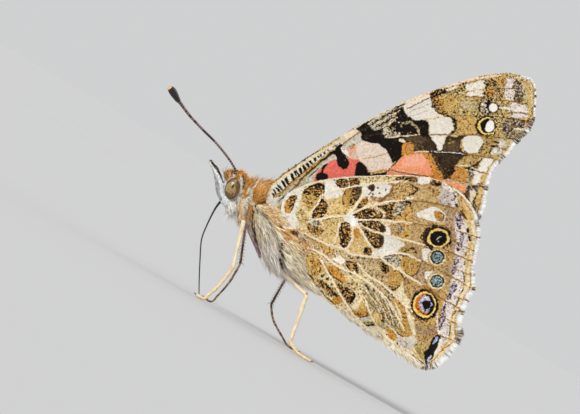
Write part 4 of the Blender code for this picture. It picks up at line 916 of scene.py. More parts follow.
# Region over the abdomen and along the inner edge
HIND_INNER = [
    blob("cream_dots", (7.4, -7.4), (9.5, -7.4), (10.2, -8.5), (9.6, -9.6), (9.6, -10.8), (8.6, -10.9),
         (8.0, -10.0), (8.4, -9.0)),
    blob("streaks", (9.2, -8.2), (10.2, -8.6), (11.2, -9.3), (12.2, -10.4), (12.9, -11.8), (13.5, -13.4),
         (12.3, -13.0), (11.0, -12.5), (10.3, -11.4), (9.7, -10.0)),
    blob("pale_ochre", (10.4, -11.0), (11.0, -11.4), (11.4, -12.0), (10.8, -12.3), (10.4, -11.8)),
    blob("dark_speckle", (7.6, -6.1), (8.6, -6.3), (8.75, -7.2), (8.2, -7.5), (7.7, -7.1)),
    dots("orange_ochre", 0.3, (8.35, -7.4), (8.1, -6.7)),
    blob("gold_flecks", (3.9, -5.4), (4.9, -5.7), (5.3, -6.6), (5.0, -7.7), (4.2, -7.8), (3.5, -6.6)),
    dots("speckle", 0.45, (4.2, -6.0), (4.5, -6.6), (4.4, -7.3), (4.9, -7.0), (5.0, -6.3)),
    dots("orange_ochre", 0.4, (4.5, -6.2), (4.8, -6.7), (4.6, -7.3)),
    dots("black", 0.12, (4.1, -5.8), (4.4, -6.1), (4.7, -6.4), (4.2, -6.6), (4.6, -6.9), (5.0, -6.9),
         (4.4, -7.2), (4.8, -7.4)),
    line("black", 0.16, (3.45, -6.3), (3.7, -7.1), (4.3, -7.9)),
    blob("orange_ochre", (5.6, -6.65), (6.3, -6.5), (7.0, -7.2), (7.6, -8.1), (6.8, -7.9), (6.0, -7.3)),
    line("dark_brown", 0.13, (5.7, -6.9), (6.4, -7.7), (7.3, -8.2)),
    blob("cream_dots", (4.7, -7.5), (5.5, -7.3), (6.2, -8.0), (6.9, -9.0), (7.0, -9.6), (6.1, -9.4),
         (5.0, -8.6)),
    blob("dense_speckle", (4.6, -7.9), (5.2, -8.0), (5.9, -8.5), (6.6, -9.2), (6.9, -9.6), (6.1, -9.4),
         (5.0, -8.6)),
    dots("dense_speckle", 0.3, (5.2, -7.6), (5.7, -7.9), (6.1, -8.4), (6.5, -8.8)),
    dots("black", 0.16, (6.1, -9.5), (5.85, -9.35), (6.4, -9.7), (6.7, -9.3)),
    blob("orange_ochre", (6.3, -9.7), (6.9, -9.5), (7.2, -9.9), (6.9, -10.4), (6.2, -10.1)),
    blob("dense_speckle", (6.7, -8.4), (7.6, -8.6), (8.4, -9.2), (8.35, -9.9), (7.9, -10.3), (7.2, -9.5)),
    line("black", 0.16, (8.3, -9.2), (8.45, -9.6), (8.1, -10.2)),
    dots("black", 0.2, (8.05, -9.7), (8.3, -9.75), (8.05, -10.15)),
    blob("grey_white", (8.6, -11.5), (9.9, -11.5), (10.3, -12.2), (9.4, -12.3)),
    blob("cream", (8.3, -10.3), (9.2, -9.9), (8.9, -10.7), (8.2, -11.1), (7.7, -10.8)),
    blob("ochre", (9.1, -10.0), (9.5, -10.5), (9.95, -11.4), (9.2, -11.6), (8.4, -11.45), (8.1, -11.1),
         (8.8, -10.7)),
    line("dark_brown", 0.14, (8.25, -11.3), (8.8, -11.58), (9.4, -11.6), (9.9, -11.35)),
    blob("orange_ochre", (8.3, -11.1), (9.6, -11.1), (9.7, -11.4), (9.1, -11.6), (8.5, -11.5)),
    line("black", 0.15, (8.2, -11.2), (8.5, -11.45)),
    line("black", 0.15, (8.6, -11.2), (8.9, -11.48)),
    line("dark_brown", 0.13, (9.6, -11.1), (9.78, -11.3)),
    blob("olive", (9.2, -12.1), (10.2, -12.15), (10.2, -12.4), (9.5, -12.45)),
    line("black", 0.2, (9.55, -12.52), (10.0, -12.45), (10.4, -12.3)),
    line("black", 0.16, (10.38, -12.4), (10.33, -12.12)),
    line("lilac", 0.14, (9.65, -12.68), (10.1, -12.62), (10.6, -12.55)),
    blob("cream", (9.6, -12.75), (10.8, -12.6), (12.2, -13.6), (12.8, -14.8), (11.6, -14.2), (10.4, -13.4)),
    blob("orange_ochre", (11.6, -12.8), (12.2, -12.95), (12.65, -13.6), (12.5, -14.0), (12.0, -13.8),
         (11.7, -13.3)),
    dots("black", 0.18, (12.45, -13.3), (12.58, -13.48), (12.15, -13.85), (12.35, -13.95), (11.65, -13.45),
         (12.65, -14.35), (12.8, -14.7), (13.45, -15.2)),
    line("maroon", 0.12, (4.3, -8.3), (5.0, -9.0), (6.0, -10.0), (6.6, -10.45)),
    line("black", 0.13, (9.35, -12.7), (9.7, -13.02)),
]

# Dark dashes and pale streaks of the folded region
HIND_FOLDS = [
    line("maroon", 0.16, (9.3, -8.25), (9.55, -8.5), (9.85, -8.9)),
    dots("dark_brown", 0.22, (9.05, -8.85), (9.45, -9.35), (8.65, -8.4)),
    *lines("black", [
        (0.14, (10.2, -8.8), (10.5, -9.1)),
        (0.17, (10.6, -9.05), (11.0, -9.35)),
        (0.13, (10.2, -9.05), (10.45, -9.3)),
        (0.16, (11.65, -9.05), (11.95, -9.3)),
    ]),
    dots("black", 0.15, (12.2, -9.45), (11.25, -8.5), (11.5, -8.95), (11.1, -9.5), (11.85, -9.65),
         (10.4, -11.05)),
    line("black", 0.14, (11.45, -9.95), (11.78, -10.2)),
    line("black", 0.16, (11.1, -11.35), (11.45, -11.85)),
    *lines("dark_brown", [
        (0.2, (11.0, -11.9), (11.4, -12.15)),
        (0.15, (12.0, -11.6), (12.3, -11.95)),
        (0.12, (12.0, -11.0), (12.45, -11.5)),
    ]),
    *lines("brown", [
        (0.1, (10.3, -10.2), (11.4, -11.2), (12.4, -12.6)),
        (0.1, (10.0, -9.4), (11.0, -10.4), (11.9, -11.3)),
        (0.1, (9.9, -10.2), (10.6, -10.9), (10.9, -11.5)),
        (0.1, (12.0, -11.8), (12.8, -12.8), (13.3, -13.2)),
    ]),
    line("vein_brown", 0.13, (9.3, -9.2), (9.4, -9.6), (9.6, -9.95)),
    *lines("cream", [
        (0.12, (10.2, -8.75), (11.2, -9.7), (12.0, -10.6), (12.4, -11.4)),
        (0.1, (9.4, -8.9), (10.4, -10.0), (11.3, -11.2), (11.6, -11.9)),
        (0.1, (10.6, -9.9), (11.8, -11.1), (12.6, -12.2)),
    ]),
    *[line("brown" if k % 3 else "cream", 0.06, (9.0 + 0.34 * k, -8.2 - 0.16 * k),
           (10.2 + 0.28 * k, -9.8 - 0.2 * k), (11.2 + 0.2 * k, -11.6 - 0.16 * k)) for k in range(9)],
    *[line("cream", 0.06, (3.8 + 0.7 * k, -4.6 - 0.34 * k), (5.2 + 0.7 * k, -6.2 - 0.36 * k))
      for k in range(7)],
    line("cream", 0.14, (11.4, -12.2), (12.4, -13.1), (13.4, -14.4), (14.6, -15.6)),
]

# Bands inside the eyespots
HIND_BANDS = [
    blob("cream", (13.3, -8.0), (13.4, -9.2), (14.0, -10.1), (13.7, -10.4), (12.9, -9.7), (12.6, -9.1),
         (13.0, -8.6)),
    blob("band_ochre", (12.3, -10.0), (13.0, -10.1), (13.45, -10.6), (13.65, -11.6), (14.05, -12.8),
         (14.2, -13.4), (13.8, -13.8), (12.9, -13.4), (12.9, -12.0), (12.6, -10.9)),
    line("cream", 0.2, (12.5, -10.3), (12.9, -11.2), (13.1, -12.0)),
    dots("dark_brown", 0.15, (13.5, -11.25), (13.6, -11.65), (13.4, -11.75), (13.7, -12.1), (13.3, -12.4),
         (14.1, -13.0), (13.2, -10.6)),
    line("black", 0.13, (12.6, -13.15), (13.0, -13.5), (13.5, -13.8), (13.95, -13.9)),
    line("cream", 0.38, (13.7, -10.9), (14.0, -11.8), (14.3, -12.8), (14.4, -13.5)),
    blob("grey_white", (13.1, -13.8), (14.3, -13.6), (14.7, -14.2), (14.4, -14.8), (13.6, -14.4)),
    blob("grey_lilac", (12.7, -13.7), (13.3, -13.9), (14.3, -14.9), (13.7, -14.9), (13.0, -14.4)),
    blob("olive", (14.5, -14.35), (15.2, -14.4), (15.65, -14.85), (15.5, -15.4), (15.3, -15.95),
         (14.6, -15.1), (14.35, -14.7)),
    line("eye_yellow", 0.1, (13.6, -15.0), (14.3, -15.6), (15.2, -16.15)),
    line("maroon", 0.15, (14.0, -15.4), (14.6, -15.82), (15.3, -16.3)),
    line("lilac", 0.15, (14.1, -15.6), (14.7, -16.05), (15.2, -16.35)),
]

# Veins
HIND_VEINS = [
    line("cream_vein", 0.18, (5.0, 0.4), (5.8, 0.75), (6.6, 0.95), (8.0, 1.3), (9.6, 1.55), (11.0, 1.7),
         (12.9, 1.8)),
    line("cream_vein", 0.23, (3.9, -2.2), (4.4, -1.95), (5.5, -1.85), (6.5, -1.65), (7.5, -1.6), (8.1, -1.6)),
    line("dark_brown", 0.07, (5.3, -1.98), (6.3, -1.83), (7.2, -1.8)),
    dots("bright", 0.5, (8.15, -1.75), (8.35, -2.1), (8.3, -2.4)),
    *lines("cream_vein", [
        (0.16, (4.1, -1.9), (4.2, -1.1), (4.9, -0.2), (5.0, 0.4)),
        (0.21, (8.0, -1.3), (8.7, -0.4), (9.1, 0.2), (9.3, 0.9)),
        (0.18, (8.1, -1.4), (9.0, -0.95), (10.3, -0.5), (12.0, -0.15), (13.5, -0.05)),
    ]),
    line("vein_brown", 0.11, (13.5, -0.05), (15.4, -0.2), (16.2, -0.3), (17.4, -0.55), (18.6, -0.95)),
    line("cream_vein", 0.19, (8.3, -1.9), (9.0, -1.97), (11.0, -1.97), (12.0, -2.1), (13.5, -2.2),
         (14.3, -2.35)),
    line("vein_brown", 0.1, (14.0, -2.3), (15.6, -2.5), (16.5, -2.5), (17.6, -2.6)),
    *lines("cream_vein", [
        (0.22, (8.6, -2.3), (9.3, -3.4), (9.9, -4.4), (10.4, -4.95)),
        (0.19, (9.0, -2.4), (10.0, -3.0), (11.2, -3.35), (12.6, -3.75), (14.5, -4.25), (15.7, -4.6)),
        (0.18, (8.25, -2.6), (8.25, -3.5), (7.95, -4.4), (7.5, -4.9)),
        (0.17, (7.0, -2.2), (6.7, -3.3), (6.4, -4.4)),
        (0.22, (3.2, -3.2), (4.2, -3.7), (5.4, -4.3), (7.5, -4.95), (8.2, -5.45), (9.0, -5.55), (10.9, -5.75),
         (11.7, -6.3), (12.9, -7.0), (14.2, -7.85), (15.2, -8.45)),
        (0.18, (10.9, -5.7), (11.9, -5.45), (12.8, -5.35), (13.8, -5.5), (15.0, -6.1)),
    ]),
    line("dark_brown", 0.07, (11.3, -5.62), (12.2, -5.5), (13.2, -5.5), (14.2, -5.85)),
    line("cream_vein", 0.19, (3.8, -4.85), (4.5, -5.0), (5.6, -5.7), (6.9, -6.7), (8.3, -7.3), (9.8, -8.2),
         (11.0, -9.2), (12.0, -10.3), (12.8, -11.8), (13.4, -13.0)),
    line("cream_vein", 0.19, (8.8, -6.3), (9.6, -7.4), (11.0, -8.25), (12.0, -9.1), (13.3, -10.4),
         (13.7, -10.9)),
    line("vein_brown", 0.11, (13.7, -10.8), (14.6, -11.8), (15.5, -12.4), (16.6, -13.1), (17.5, -13.6),
         (18.6, -14.3)),
    line("cream_vein", 0.19, (5.1, -5.95), (5.6, -7.0), (6.4, -8.3), (7.3, -9.9), (8.4, -11.5), (9.5, -12.6)),
    line("vein_brown", 0.08, (6.55, -8.2), (7.45, -9.8), (8.5, -11.35)),
    line("cream_vein", 0.17, (9.4, -9.6), (9.8, -10.8), (10.1, -11.5), (10.55, -12.4)),
    line("eye_yellow", 0.1, (10.1, -11.4), (10.3, -11.9), (10.5, -12.3)),
    *lines("vein_brown", [
        (0.11, (15.2, -8.45), (16.0, -8.85), (17.0, -9.7), (18.4, -10.7), (19.3, -11.1)),
        (0.1, (15.0, -6.1), (16.1, -6.6), (17.2, -7.15), (18.6, -8.0), (20.0, -8.7)),
        (0.1, (15.7, -4.6), (16.5, -4.9), (18.3, -5.35), (19.6, -5.9), (20.3, -6.2)),
        (0.1, (18.9, -3.15), (19.5, -3.4), (20.6, -3.75)),
        (0.1, (18.9, -6.8), (19.5, -7.1), (20.5, -7.5)),
        (0.1, (17.5, -9.4), (18.6, -9.4), (19.4, -9.9)),
        (0.1, (17.0, -11.6), (18.0, -12.1), (18.6, -12.4)),
    ]),
]

# Costal end and the white teardrop
HIND_FRONT = [
    blob("dark_speckle", (12.4, 2.0), (12.9, 2.35), (14.3, 2.35), (14.7, 2.0), (14.4, 1.75), (13.4, 2.0)),
    blob("white", (14.8, 2.25), (15.9, 2.2), (15.9, 1.7), (14.9, 1.6)),
    blob("dark_speckle", (15.95, 1.9), (16.5, 2.0), (17.1, 1.75), (16.9, 1.4), (16.2, 1.45)),
    blob("grey_lilac", (16.7, 1.1), (18.0, 0.9), (18.2, -0.4), (17.4, -0.5), (16.7, 0.2)),
    blob("brown_mottle", (16.1, 1.1), (16.7, 1.2), (16.95, 0.6), (16.5, 0.3), (16.15, 0.5)),
    blob("rose_white", (17.2, 1.7), (17.9, 1.3), (18.6, 0.6), (18.7, -0.6), (18.1, -0.6), (18.1, 0.6),
         (17.2, 1.2)),
    dots("dark_brown", 0.2, (18.25, 0.7), (18.35, 0.5), (18.45, 0.35), (18.7, -0.35), (18.7, -0.65),
         (17.8, -0.35)),
    blob("ochre", (18.5, 0.95), (19.0, 0.7), (19.3, -0.4), (20.1, -1.7), (19.6, -2.0), (19.0, -0.9),
         (18.9, 0.0)),
    blob("rim_yellow", (19.3, -0.5), (20.2, -1.6), (20.4, -2.6), (20.6, -3.4), (20.0, -3.2), (19.7, -1.9)),
    line("brown", 0.2, (19.0, -1.0), (19.2, -1.5), (19.5, -1.9)),
    dots("lunule", 0.36, (19.75, -2.9), (19.9, -3.6), (18.75, -0.4), (18.3, 0.1)),
    blob("taupe", (17.9, -2.4), (18.4, -2.2), (18.5, -4.4), (18.3, -5.6), (17.9, -4.6)),
    blob("taupe", (17.6, -6.4), (18.2, -6.2), (18.0, -8.0), (17.6, -8.8), (17.3, -7.6)),
    blob("white", (14.6, -1.4), (15.4, -0.95), (16.4, -0.7), (17.2, -1.1), (17.5, -1.8), (17.0, -2.2),
         (15.8, -2.0), (15.0, -1.75)),
    blob("orange_ochre", (16.35, -1.15), (16.9, -1.15), (17.3, -1.7), (17.1, -2.0), (16.6, -1.9),
         (16.4, -1.6)),
    line("dark_brown", 0.1, (16.9, -1.1), (17.35, -1.6), (17.2, -2.05), (16.6, -2.0)),
    dots("black", 0.16, (16.85, -1.7)),
]

# First eyespot
HIND_EYESPOT_1 = [
    oval("dark_brown", 16.6, -3.75, 1.5, 1.25, 0, 0.14),
    oval("eye_black", 16.8, -3.8, 1.3, 1.1, 0, 0.08),
    oval("eye_yellow", 16.8, -3.8, 1.12, 0.96, 0, 0.04),
    oval("eye_black", 16.78, -3.8, 0.87, 0.76, 0, 0.08),
    line("grey_white", 0.1, (16.6, -3.98), (17.08, -3.62)),
    dots("grey_white", 0.12, (16.75, -4.17)),
    line("black", 0.13, (15.7, -4.85), (16.5, -4.95), (17.35, -5.2)),
]

# Second and third eyespots
HIND_EYESPOTS_2_3 = [
    blob("white", (15.2, -4.95), (16.0, -5.0), (15.9, -6.1), (15.3, -5.9)),
    oval("ochre", 16.75, -5.72, 1.02, 0.96, 0, 0.05),
    oval("rim_cream", 16.7, -5.74, 0.86, 0.82, 0, 0.05),
    oval("eye_black", 16.7, -5.7, 0.72, 0.69, 0, 0.06),
    oval("teal", 16.7, -5.7, 0.56, 0.53, 0, 0.08),
    blob("white", (15.5, -7.2), (16.3, -7.2), (16.0, -8.0), (15.5, -7.9)),
    oval("ochre", 16.68, -8.14, 1.0, 0.96, 0, 0.05),
    oval("rim_cream", 16.66, -8.14, 0.84, 0.82, 0, 0.05),
    oval("eye_black", 16.68, -8.13, 0.7, 0.68, 0, 0.06),
    oval("teal", 16.68, -8.13, 0.55, 0.53, 0, 0.08),
    dots("eye_black", 0.18, (16.95, -8.2), (16.5, -8.4), (16.95, -5.95), (16.45, -5.4)),
]

# Fourth eyespot
HIND_EYESPOT_4 = [
    line("gold_flecks", 0.6, (17.0, -9.5), (17.15, -10.6), (16.8, -11.6), (16.0, -12.2), (15.2, -12.4)),
    dots("taupe", 0.9, (14.9, -12.9), (15.6, -13.1), (16.1, -12.9)),
    oval("eye_black", 15.45, -10.42, 1.4, 1.58, 0, 0.07),
    oval("eye_yellow", 15.45, -10.45, 1.14, 1.28, 0, 0.04),
    oval("eye_orange", 15.46, -10.42, 0.94, 1.08, 0, 0.05),
    blob("eye_black", (15.5, -9.4), (16.05, -9.55), (16.4, -10.1), (16.42, -10.7), (16.1, -11.3),
         (15.5, -11.5), (15.9, -11.0), (16.05, -10.4), (15.9, -9.9)),
    oval("iris", 15.5, -10.38, 0.64, 0.84, 0, 0.1),
    oval("eye_black", 15.6, -10.46, 0.4, 0.42, 0, 0.1),
    dots("white", 0.22, (15.3, -9.95), (15.55, -9.75), (15.3, -11.0), (15.1, -10.5)),
    dots("eye_orange", 0.34, (14.95, -9.8), (14.9, -11.0), (14.75, -10.4)),
    dots("eye_black", 0.16, (15.0, -11.2), (15.3, -11.35), (14.85, -10.9)),
]

# Lunules outside the eyespots
HIND_LUNULES = [
    blob("rose_white", (18.7, -1.0), (19.4, -2.2), (19.75, -3.2), (19.7, -4.8), (19.3, -5.6), (19.5, -6.8),
         (19.4, -8.0), (19.2, -9.2), (18.8, -10.4), (18.3, -12.0), (17.9, -13.6), (17.0, -14.6),
         (16.7, -14.0), (16.9, -12.6), (17.2, -10.6), (17.8, -9.2), (18.2, -7.6), (18.3, -6.4), (18.4, -5.0),
         (18.6, -4.0), (18.4, -2.6)),
    blob("lunule", (18.5, -1.4), (19.0, -1.3), (19.2, -2.2), (18.9, -2.95), (18.55, -2.4)),
    dots("lilac", 0.2, (18.8, -1.8), (18.85, -2.3)),
    blob("lunule", (19.1, -3.3), (19.3, -3.6), (19.2, -4.4), (18.95, -5.0), (18.6, -5.05), (18.8, -4.2)),
    line("lunule_blue", 0.14, (19.15, -3.6), (19.0, -4.3), (18.85, -4.8)),
    blob("lunule", (18.45, -5.75), (18.8, -5.95), (18.8, -6.5), (18.4, -7.4), (18.05, -7.25), (18.25, -6.4)),
    line("lunule_blue", 0.15, (18.6, -6.0), (18.5, -6.7), (18.25, -7.2)),
    blob("lunule", (18.35, -8.05), (18.65, -8.3), (18.5, -9.1), (18.15, -9.45), (17.9, -9.95), (17.55, -9.9),
         (17.85, -9.2), (18.0, -8.6)),
    line("lilac", 0.24, (18.35, -8.6), (18.15, -8.95), (18.25, -9.15)),
    line("rose_white", 0.16, (16.75, -11.2), (16.65, -12.3), (16.8, -13.1)),
    blob("lunule", (17.25, -10.6), (17.55, -10.7), (17.5, -11.8), (17.3, -12.3), (17.0, -12.95),
         (16.8, -12.8), (16.85, -12.0), (17.05, -11.3)),
    line("lunule_blue", 0.24, (17.35, -11.2), (17.15, -11.8), (17.0, -12.3)),
    dots("black", 0.16, (17.5, -10.45), (17.5, -11.8)),
    blob("black", (16.6, -13.45), (16.95, -13.5), (17.1, -13.75), (16.85, -14.5), (16.5, -15.0),
         (16.35, -15.7), (16.0, -16.3), (15.5, -16.35), (15.4, -15.6), (15.3, -15.2), (15.75, -14.85),
         (16.1, -14.0)),
    line("blue", 0.26, (16.65, -13.65), (16.6, -13.95), (16.3, -14.35)),
    line("lilac", 0.26, (16.1, -15.6), (15.85, -15.9), (15.7, -16.2)),
    line("white", 0.26, (17.0, -13.9), (16.8, -14.7), (16.5, -15.3), (16.4, -15.9)),
]

# Outer margin
HIND_RIM = [
    line("rim_cream", 0.55, (20.15, -2.2), (20.35, -3.6), (20.1, -5.0), (19.9, -6.4), (19.7, -7.8),
         (19.5, -8.8), (19.0, -10.1), (18.5, -11.3), (18.2, -12.6), (18.25, -13.8), (17.8, -14.6),
         (16.9, -15.4), (16.1, -16.2)),
    line("rim_yellow", 0.2, (19.95, -2.4), (20.1, -3.8), (19.9, -5.0), (19.65, -6.4), (19.5, -7.8),
         (19.25, -8.8), (18.8, -10.0), (18.25, -11.3), (17.95, -12.6), (18.0, -13.7), (17.5, -14.5)),
    dots("dark_brown", 0.3, (18.6, -0.45), (19.7, -2.9), (19.75, -3.15), (19.85, -3.7), (19.9, -3.95)),
    line("dark_brown", 0.22, (19.05, -1.05), (19.35, -1.45), (19.6, -1.95)),
    line("brown", 0.16, (19.6, -5.2), (19.5, -5.6)),
    line("brown", 0.14, (19.5, -6.05), (19.4, -6.5)),
    *lines("dark_brown", [
        (0.15, (19.35, -7.35), (19.35, -8.15)),
        (0.14, (19.25, -8.75), (19.0, -9.3)),
        (0.15, (18.9, -9.85), (18.5, -10.65)),
    ]),
    line("brown", 0.15, (18.6, -11.0), (18.1, -11.7)),
    line("dark_brown", 0.16, (18.0, -12.6), (17.9, -13.5)),
    line("rim_orange", 0.14, (18.9, 0.65), (19.7, -0.6), (20.4, -1.5), (20.45, -2.45), (20.62, -3.6),
         (20.36, -4.9), (20.18, -6.1), (19.98, -7.2), (20.05, -8.1), (19.9, -8.8), (19.4, -9.7),
         (19.15, -10.4), (18.85, -11.1), (18.5, -11.8), (18.45, -13.0), (18.5, -13.8), (18.0, -14.4),
         (17.2, -14.95), (16.5, -15.8), (15.9, -16.35)),
    *lines("vein_brown", [
        (0.13, (17.6, -0.6), (18.1, -0.75), (19.3, -1.45)),
        (0.1, (17.6, -2.75), (19.1, -3.2), (20.7, -3.75)),
        (0.08, (18.4, -4.2), (20.4, -5.1)),
        (0.13, (17.2, -4.8), (18.6, -5.45), (20.4, -6.3)),
        (0.09, (18.4, -6.8), (19.9, -7.5)),
        (0.13, (16.4, -6.7), (17.7, -7.45), (18.8, -8.0), (20.0, -8.8)),
        (0.09, (18.4, -9.6), (19.4, -10.0)),
        (0.13, (15.2, -8.5), (16.2, -9.3), (17.6, -10.1), (19.2, -11.0)),
        (0.09, (17.6, -11.8), (18.8, -12.5)),
        (0.13, (14.4, -11.6), (16.0, -12.9), (17.0, -13.5), (18.4, -14.05)),
    ]),
]

# Front edge and inner edge
HIND_EDGES = [
    line("cream_vein", 0.23, (1.1, -1.2), (1.2, -0.4), (1.6, 0.4), (2.2, 0.85), (3.2, 1.3), (4.2, 1.7),
         (5.2, 1.98), (6.4, 2.15), (7.5, 2.3), (9.5, 2.42), (13.0, 2.5), (15.0, 2.45), (16.5, 2.1),
         (17.5, 1.85)),
    line("peach", 0.22, (16.2, 2.1), (17.4, 1.85), (18.3, 1.4)),
    line("cream", 0.4, (4.1, -8.1), (4.9, -9.4), (6.0, -10.4), (7.5, -11.9), (9.0, -13.1)),
]

HIND_UNDER = [
    *HIND_GROUNDS, *HIND_BASE, *HIND_MIDDLE, *HIND_INNER, *HIND_FOLDS, *HIND_BANDS, *HIND_VEINS,
    *HIND_FRONT, *HIND_EYESPOT_1, *HIND_EYESPOTS_2_3, *HIND_EYESPOT_4, *HIND_LUNULES, *HIND_RIM,
    *HIND_EDGES,
]


# Fringes, upper sides and fine scales --------------------------------------------------------

# Where the scales are smaller, for the pattern is fine
FORE_FINE = [
    blob("fine", (-0.2, 0.3), (0.5, 1.7), (2.4, 3.3), (5.0, 5.0), (7.4, 6.2), (7.4, 5.0), (4.6, 2.8),
         (2.2, 0.6)),
    dots("fine", 1.7, (21.7, 7.4), (22.2, 9.2)),
]
HIND_FINE = [
    dots("fine", 2.7, (16.8, -3.8)),
    dots("fine", 3.3, (15.5, -10.45)),
    dots("fine", 2.0, (16.7, -5.75), (16.7, -8.1), (16.6, -1.7)),
]

FRINGE_MARKS = [
    dots("fringe_vein", 0.3, (26.55, 11.0), (26.6, 10.4), (26.55, 9.4)),
    *lines("fringe_dark", [
        (0.8, (26.4, 8.2), (26.35, 7.6), (26.2, 7.0)),
        (0.8, (25.6, 6.5), (25.2, 6.0), (24.9, 5.5)),
        (0.7, (23.5, 4.1), (23.1, 3.6)),
    ]),
    dots("fringe_dark", 0.5, (21.85, 1.15)),
    line("fringe_dark", 0.7, (21.2, -1.7), (21.1, -2.5)),
    dots("fringe_vein", 0.1, (24.9, 12.5), (25.3, 12.4), (25.7, 12.3), (26.0, 12.1), (26.3, 11.8),
         (26.5, 11.4), (26.5, 11.1)),
    dots("fringe_vein", 0.26, (21.1, -3.75), (20.75, -6.35), (20.6, -7.5), (19.9, -10.2)),
    dots("fringe_vein", 0.5, (20.6, -8.9), (19.5, -11.3)),
    line("fringe_dark", 0.7, (19.35, -13.0), (19.4, -13.7), (19.1, -14.5)),
    dots("fringe_vein", 0.13, (18.3, -15.3), (17.95, -15.75), (17.6, -16.15), (17.2, -16.5), (16.8, -16.8)),
    line("fringe_dark", 0.9, (16.3, -17.0), (15.8, -17.0), (15.2, -16.9)),
]

FORE_UPPER = [
    blob("brown", (-0.5, -1.2), (0.5, 2.0), (4.5, 5.0), (7.0, 5.0), (5.0, 1.5), (4.0, -2.0)),
    line("brown", 0.7, (0.6, 2.0), (3.2, 3.8), (6.8, 6.1), (11.0, 8.5), (15.2, 10.4), (19.4, 11.8),
         (22.6, 12.5), (24.9, 12.4), (26.3, 11.9)),
    blob("black", (12.5, 9.6), (16.0, 11.0), (20.5, 12.4), (26.8, 12.6), (26.8, 7.0), (23.8, 4.2),
         (20.8, 3.0), (17.5, 4.5), (15.6, 6.2)),
    blob("black", (6.2, 5.4), (9.2, 7.6), (13.5, 9.4), (13.2, 6.0), (11.5, 4.4), (10.6, 6.0), (8.8, 5.8),
         (7.8, 3.6)),
    blob("black", (3.6, -2.0), (9.0, -2.2), (20.6, -2.4), (22.2, 2.6), (20.2, 3.2), (20.0, -0.8),
         (12.0, -0.9)),
    blob("white", (13.8, 9.2), (15.4, 10.0), (17.0, 8.4), (15.6, 7.8)),
    blob("white", (19.6, 11.4), (21.2, 11.8), (21.3, 10.4), (19.8, 10.4)),
    dots("white", 0.9, (22.2, 9.2), (22.0, 7.4)),
    blob("white", (19.4, 6.2), (20.8, 6.3), (21.0, 5.1), (19.6, 4.9)),
    line("cream", 0.25, (24.8, 11.6), (25.6, 10.4), (25.6, 8.2), (24.4, 6.2)),
]

HIND_UPPER = [
    blob("brown", (1.0, -0.8), (3.0, 1.5), (10.0, 2.6), (12.0, 0.5), (8.0, -2.0), (7.0, -7.0), (9.0, -12.6),
         (6.0, -11.0), (2.0, -5.0)),
    blob("brown", (9.0, -1.0), (13.5, -1.6), (14.2, -3.0), (11.5, -4.4), (9.5, -3.4)),
    dots("black", 1.5, (16.6, -0.4), (16.8, -3.8), (16.6, -6.2), (16.4, -8.4), (15.4, -10.6)),
    dots("black", 1.1, (18.6, -1.8), (18.9, -4.4), (18.4, -6.8), (18.0, -9.2), (17.2, -11.8), (16.2, -14.6)),
    line("black", 1.1, (19.8, -0.6), (20.7, -3.2), (20.2, -6.4), (20.2, -8.8), (19.0, -12.0), (18.6, -14.4),
         (16.6, -16.4)),
]


# Marks of the body, palps and eyes -----------------------------------------------------------

# Abdomen
ABDOMEN_FUR = [
    blob("fur_tan", (2.6, -4.0), (6.0, -6.0), (12.0, -10.5), (12.2, -13.0), (8.0, -12.6), (4.0, -9.4),
         (2.6, -7.0)),
    blob("fur_pale", (3.0, -8.0), (5.0, -9.6), (8.0, -11.4), (11.0, -13.0), (7.0, -12.8), (3.0, -9.6)),
]

# Thorax
THORAX_FUR = [
    line("fur_orange", 0.5, (1.0, 0.6), (2.6, -0.8), (3.8, -2.6)),
    blob("fur_orange", (0.9, -3.1), (1.4, -2.7), (2.4, -3.0), (3.6, -3.3), (3.5, -4.2), (2.2, -4.2),
         (1.3, -4.9), (0.8, -4.2)),
    blob("fur_tan", (1.2, -4.6), (2.4, -4.2), (3.8, -4.6), (4.4, -7.6), (3.4, -7.2), (2.2, -6.2)),
    dots("fur_black", 0.5, (1.2, -2.6), (1.35, -3.05), (2.3, -3.15), (2.7, -3.2)),
    dots("fur_black", 0.26, (1.3, -4.25), (1.45, -4.55), (1.25, -4.95), (1.3, -5.4), (1.15, -5.9),
         (1.25, -6.3), (1.35, -6.65), (1.05, -7.0)),
    blob("fur_white", (-0.7, -0.2), (0.6, 0.3), (1.6, -0.3), (1.2, -1.3), (0.0, -0.9)),
    line("fur_orange", 0.34, (-0.9, -0.45), (0.4, -0.65), (1.2, -0.6)),
    line("fur_orange", 0.3, (-0.5, -1.2), (0.3, -1.9), (1.1, -2.6), (2.4, -3.1)),
    # Pale coat low on the thorax: partly its own colour, partly painted light against the shade beneath it
    blob("fur_rose", (-1.2, -3.6), (0.7, -3.6), (1.1, -5.2), (2.4, -6.6), (3.6, -7.6), (2.4, -8.0),
         (0.6, -7.4), (-0.6, -6.2)),
]

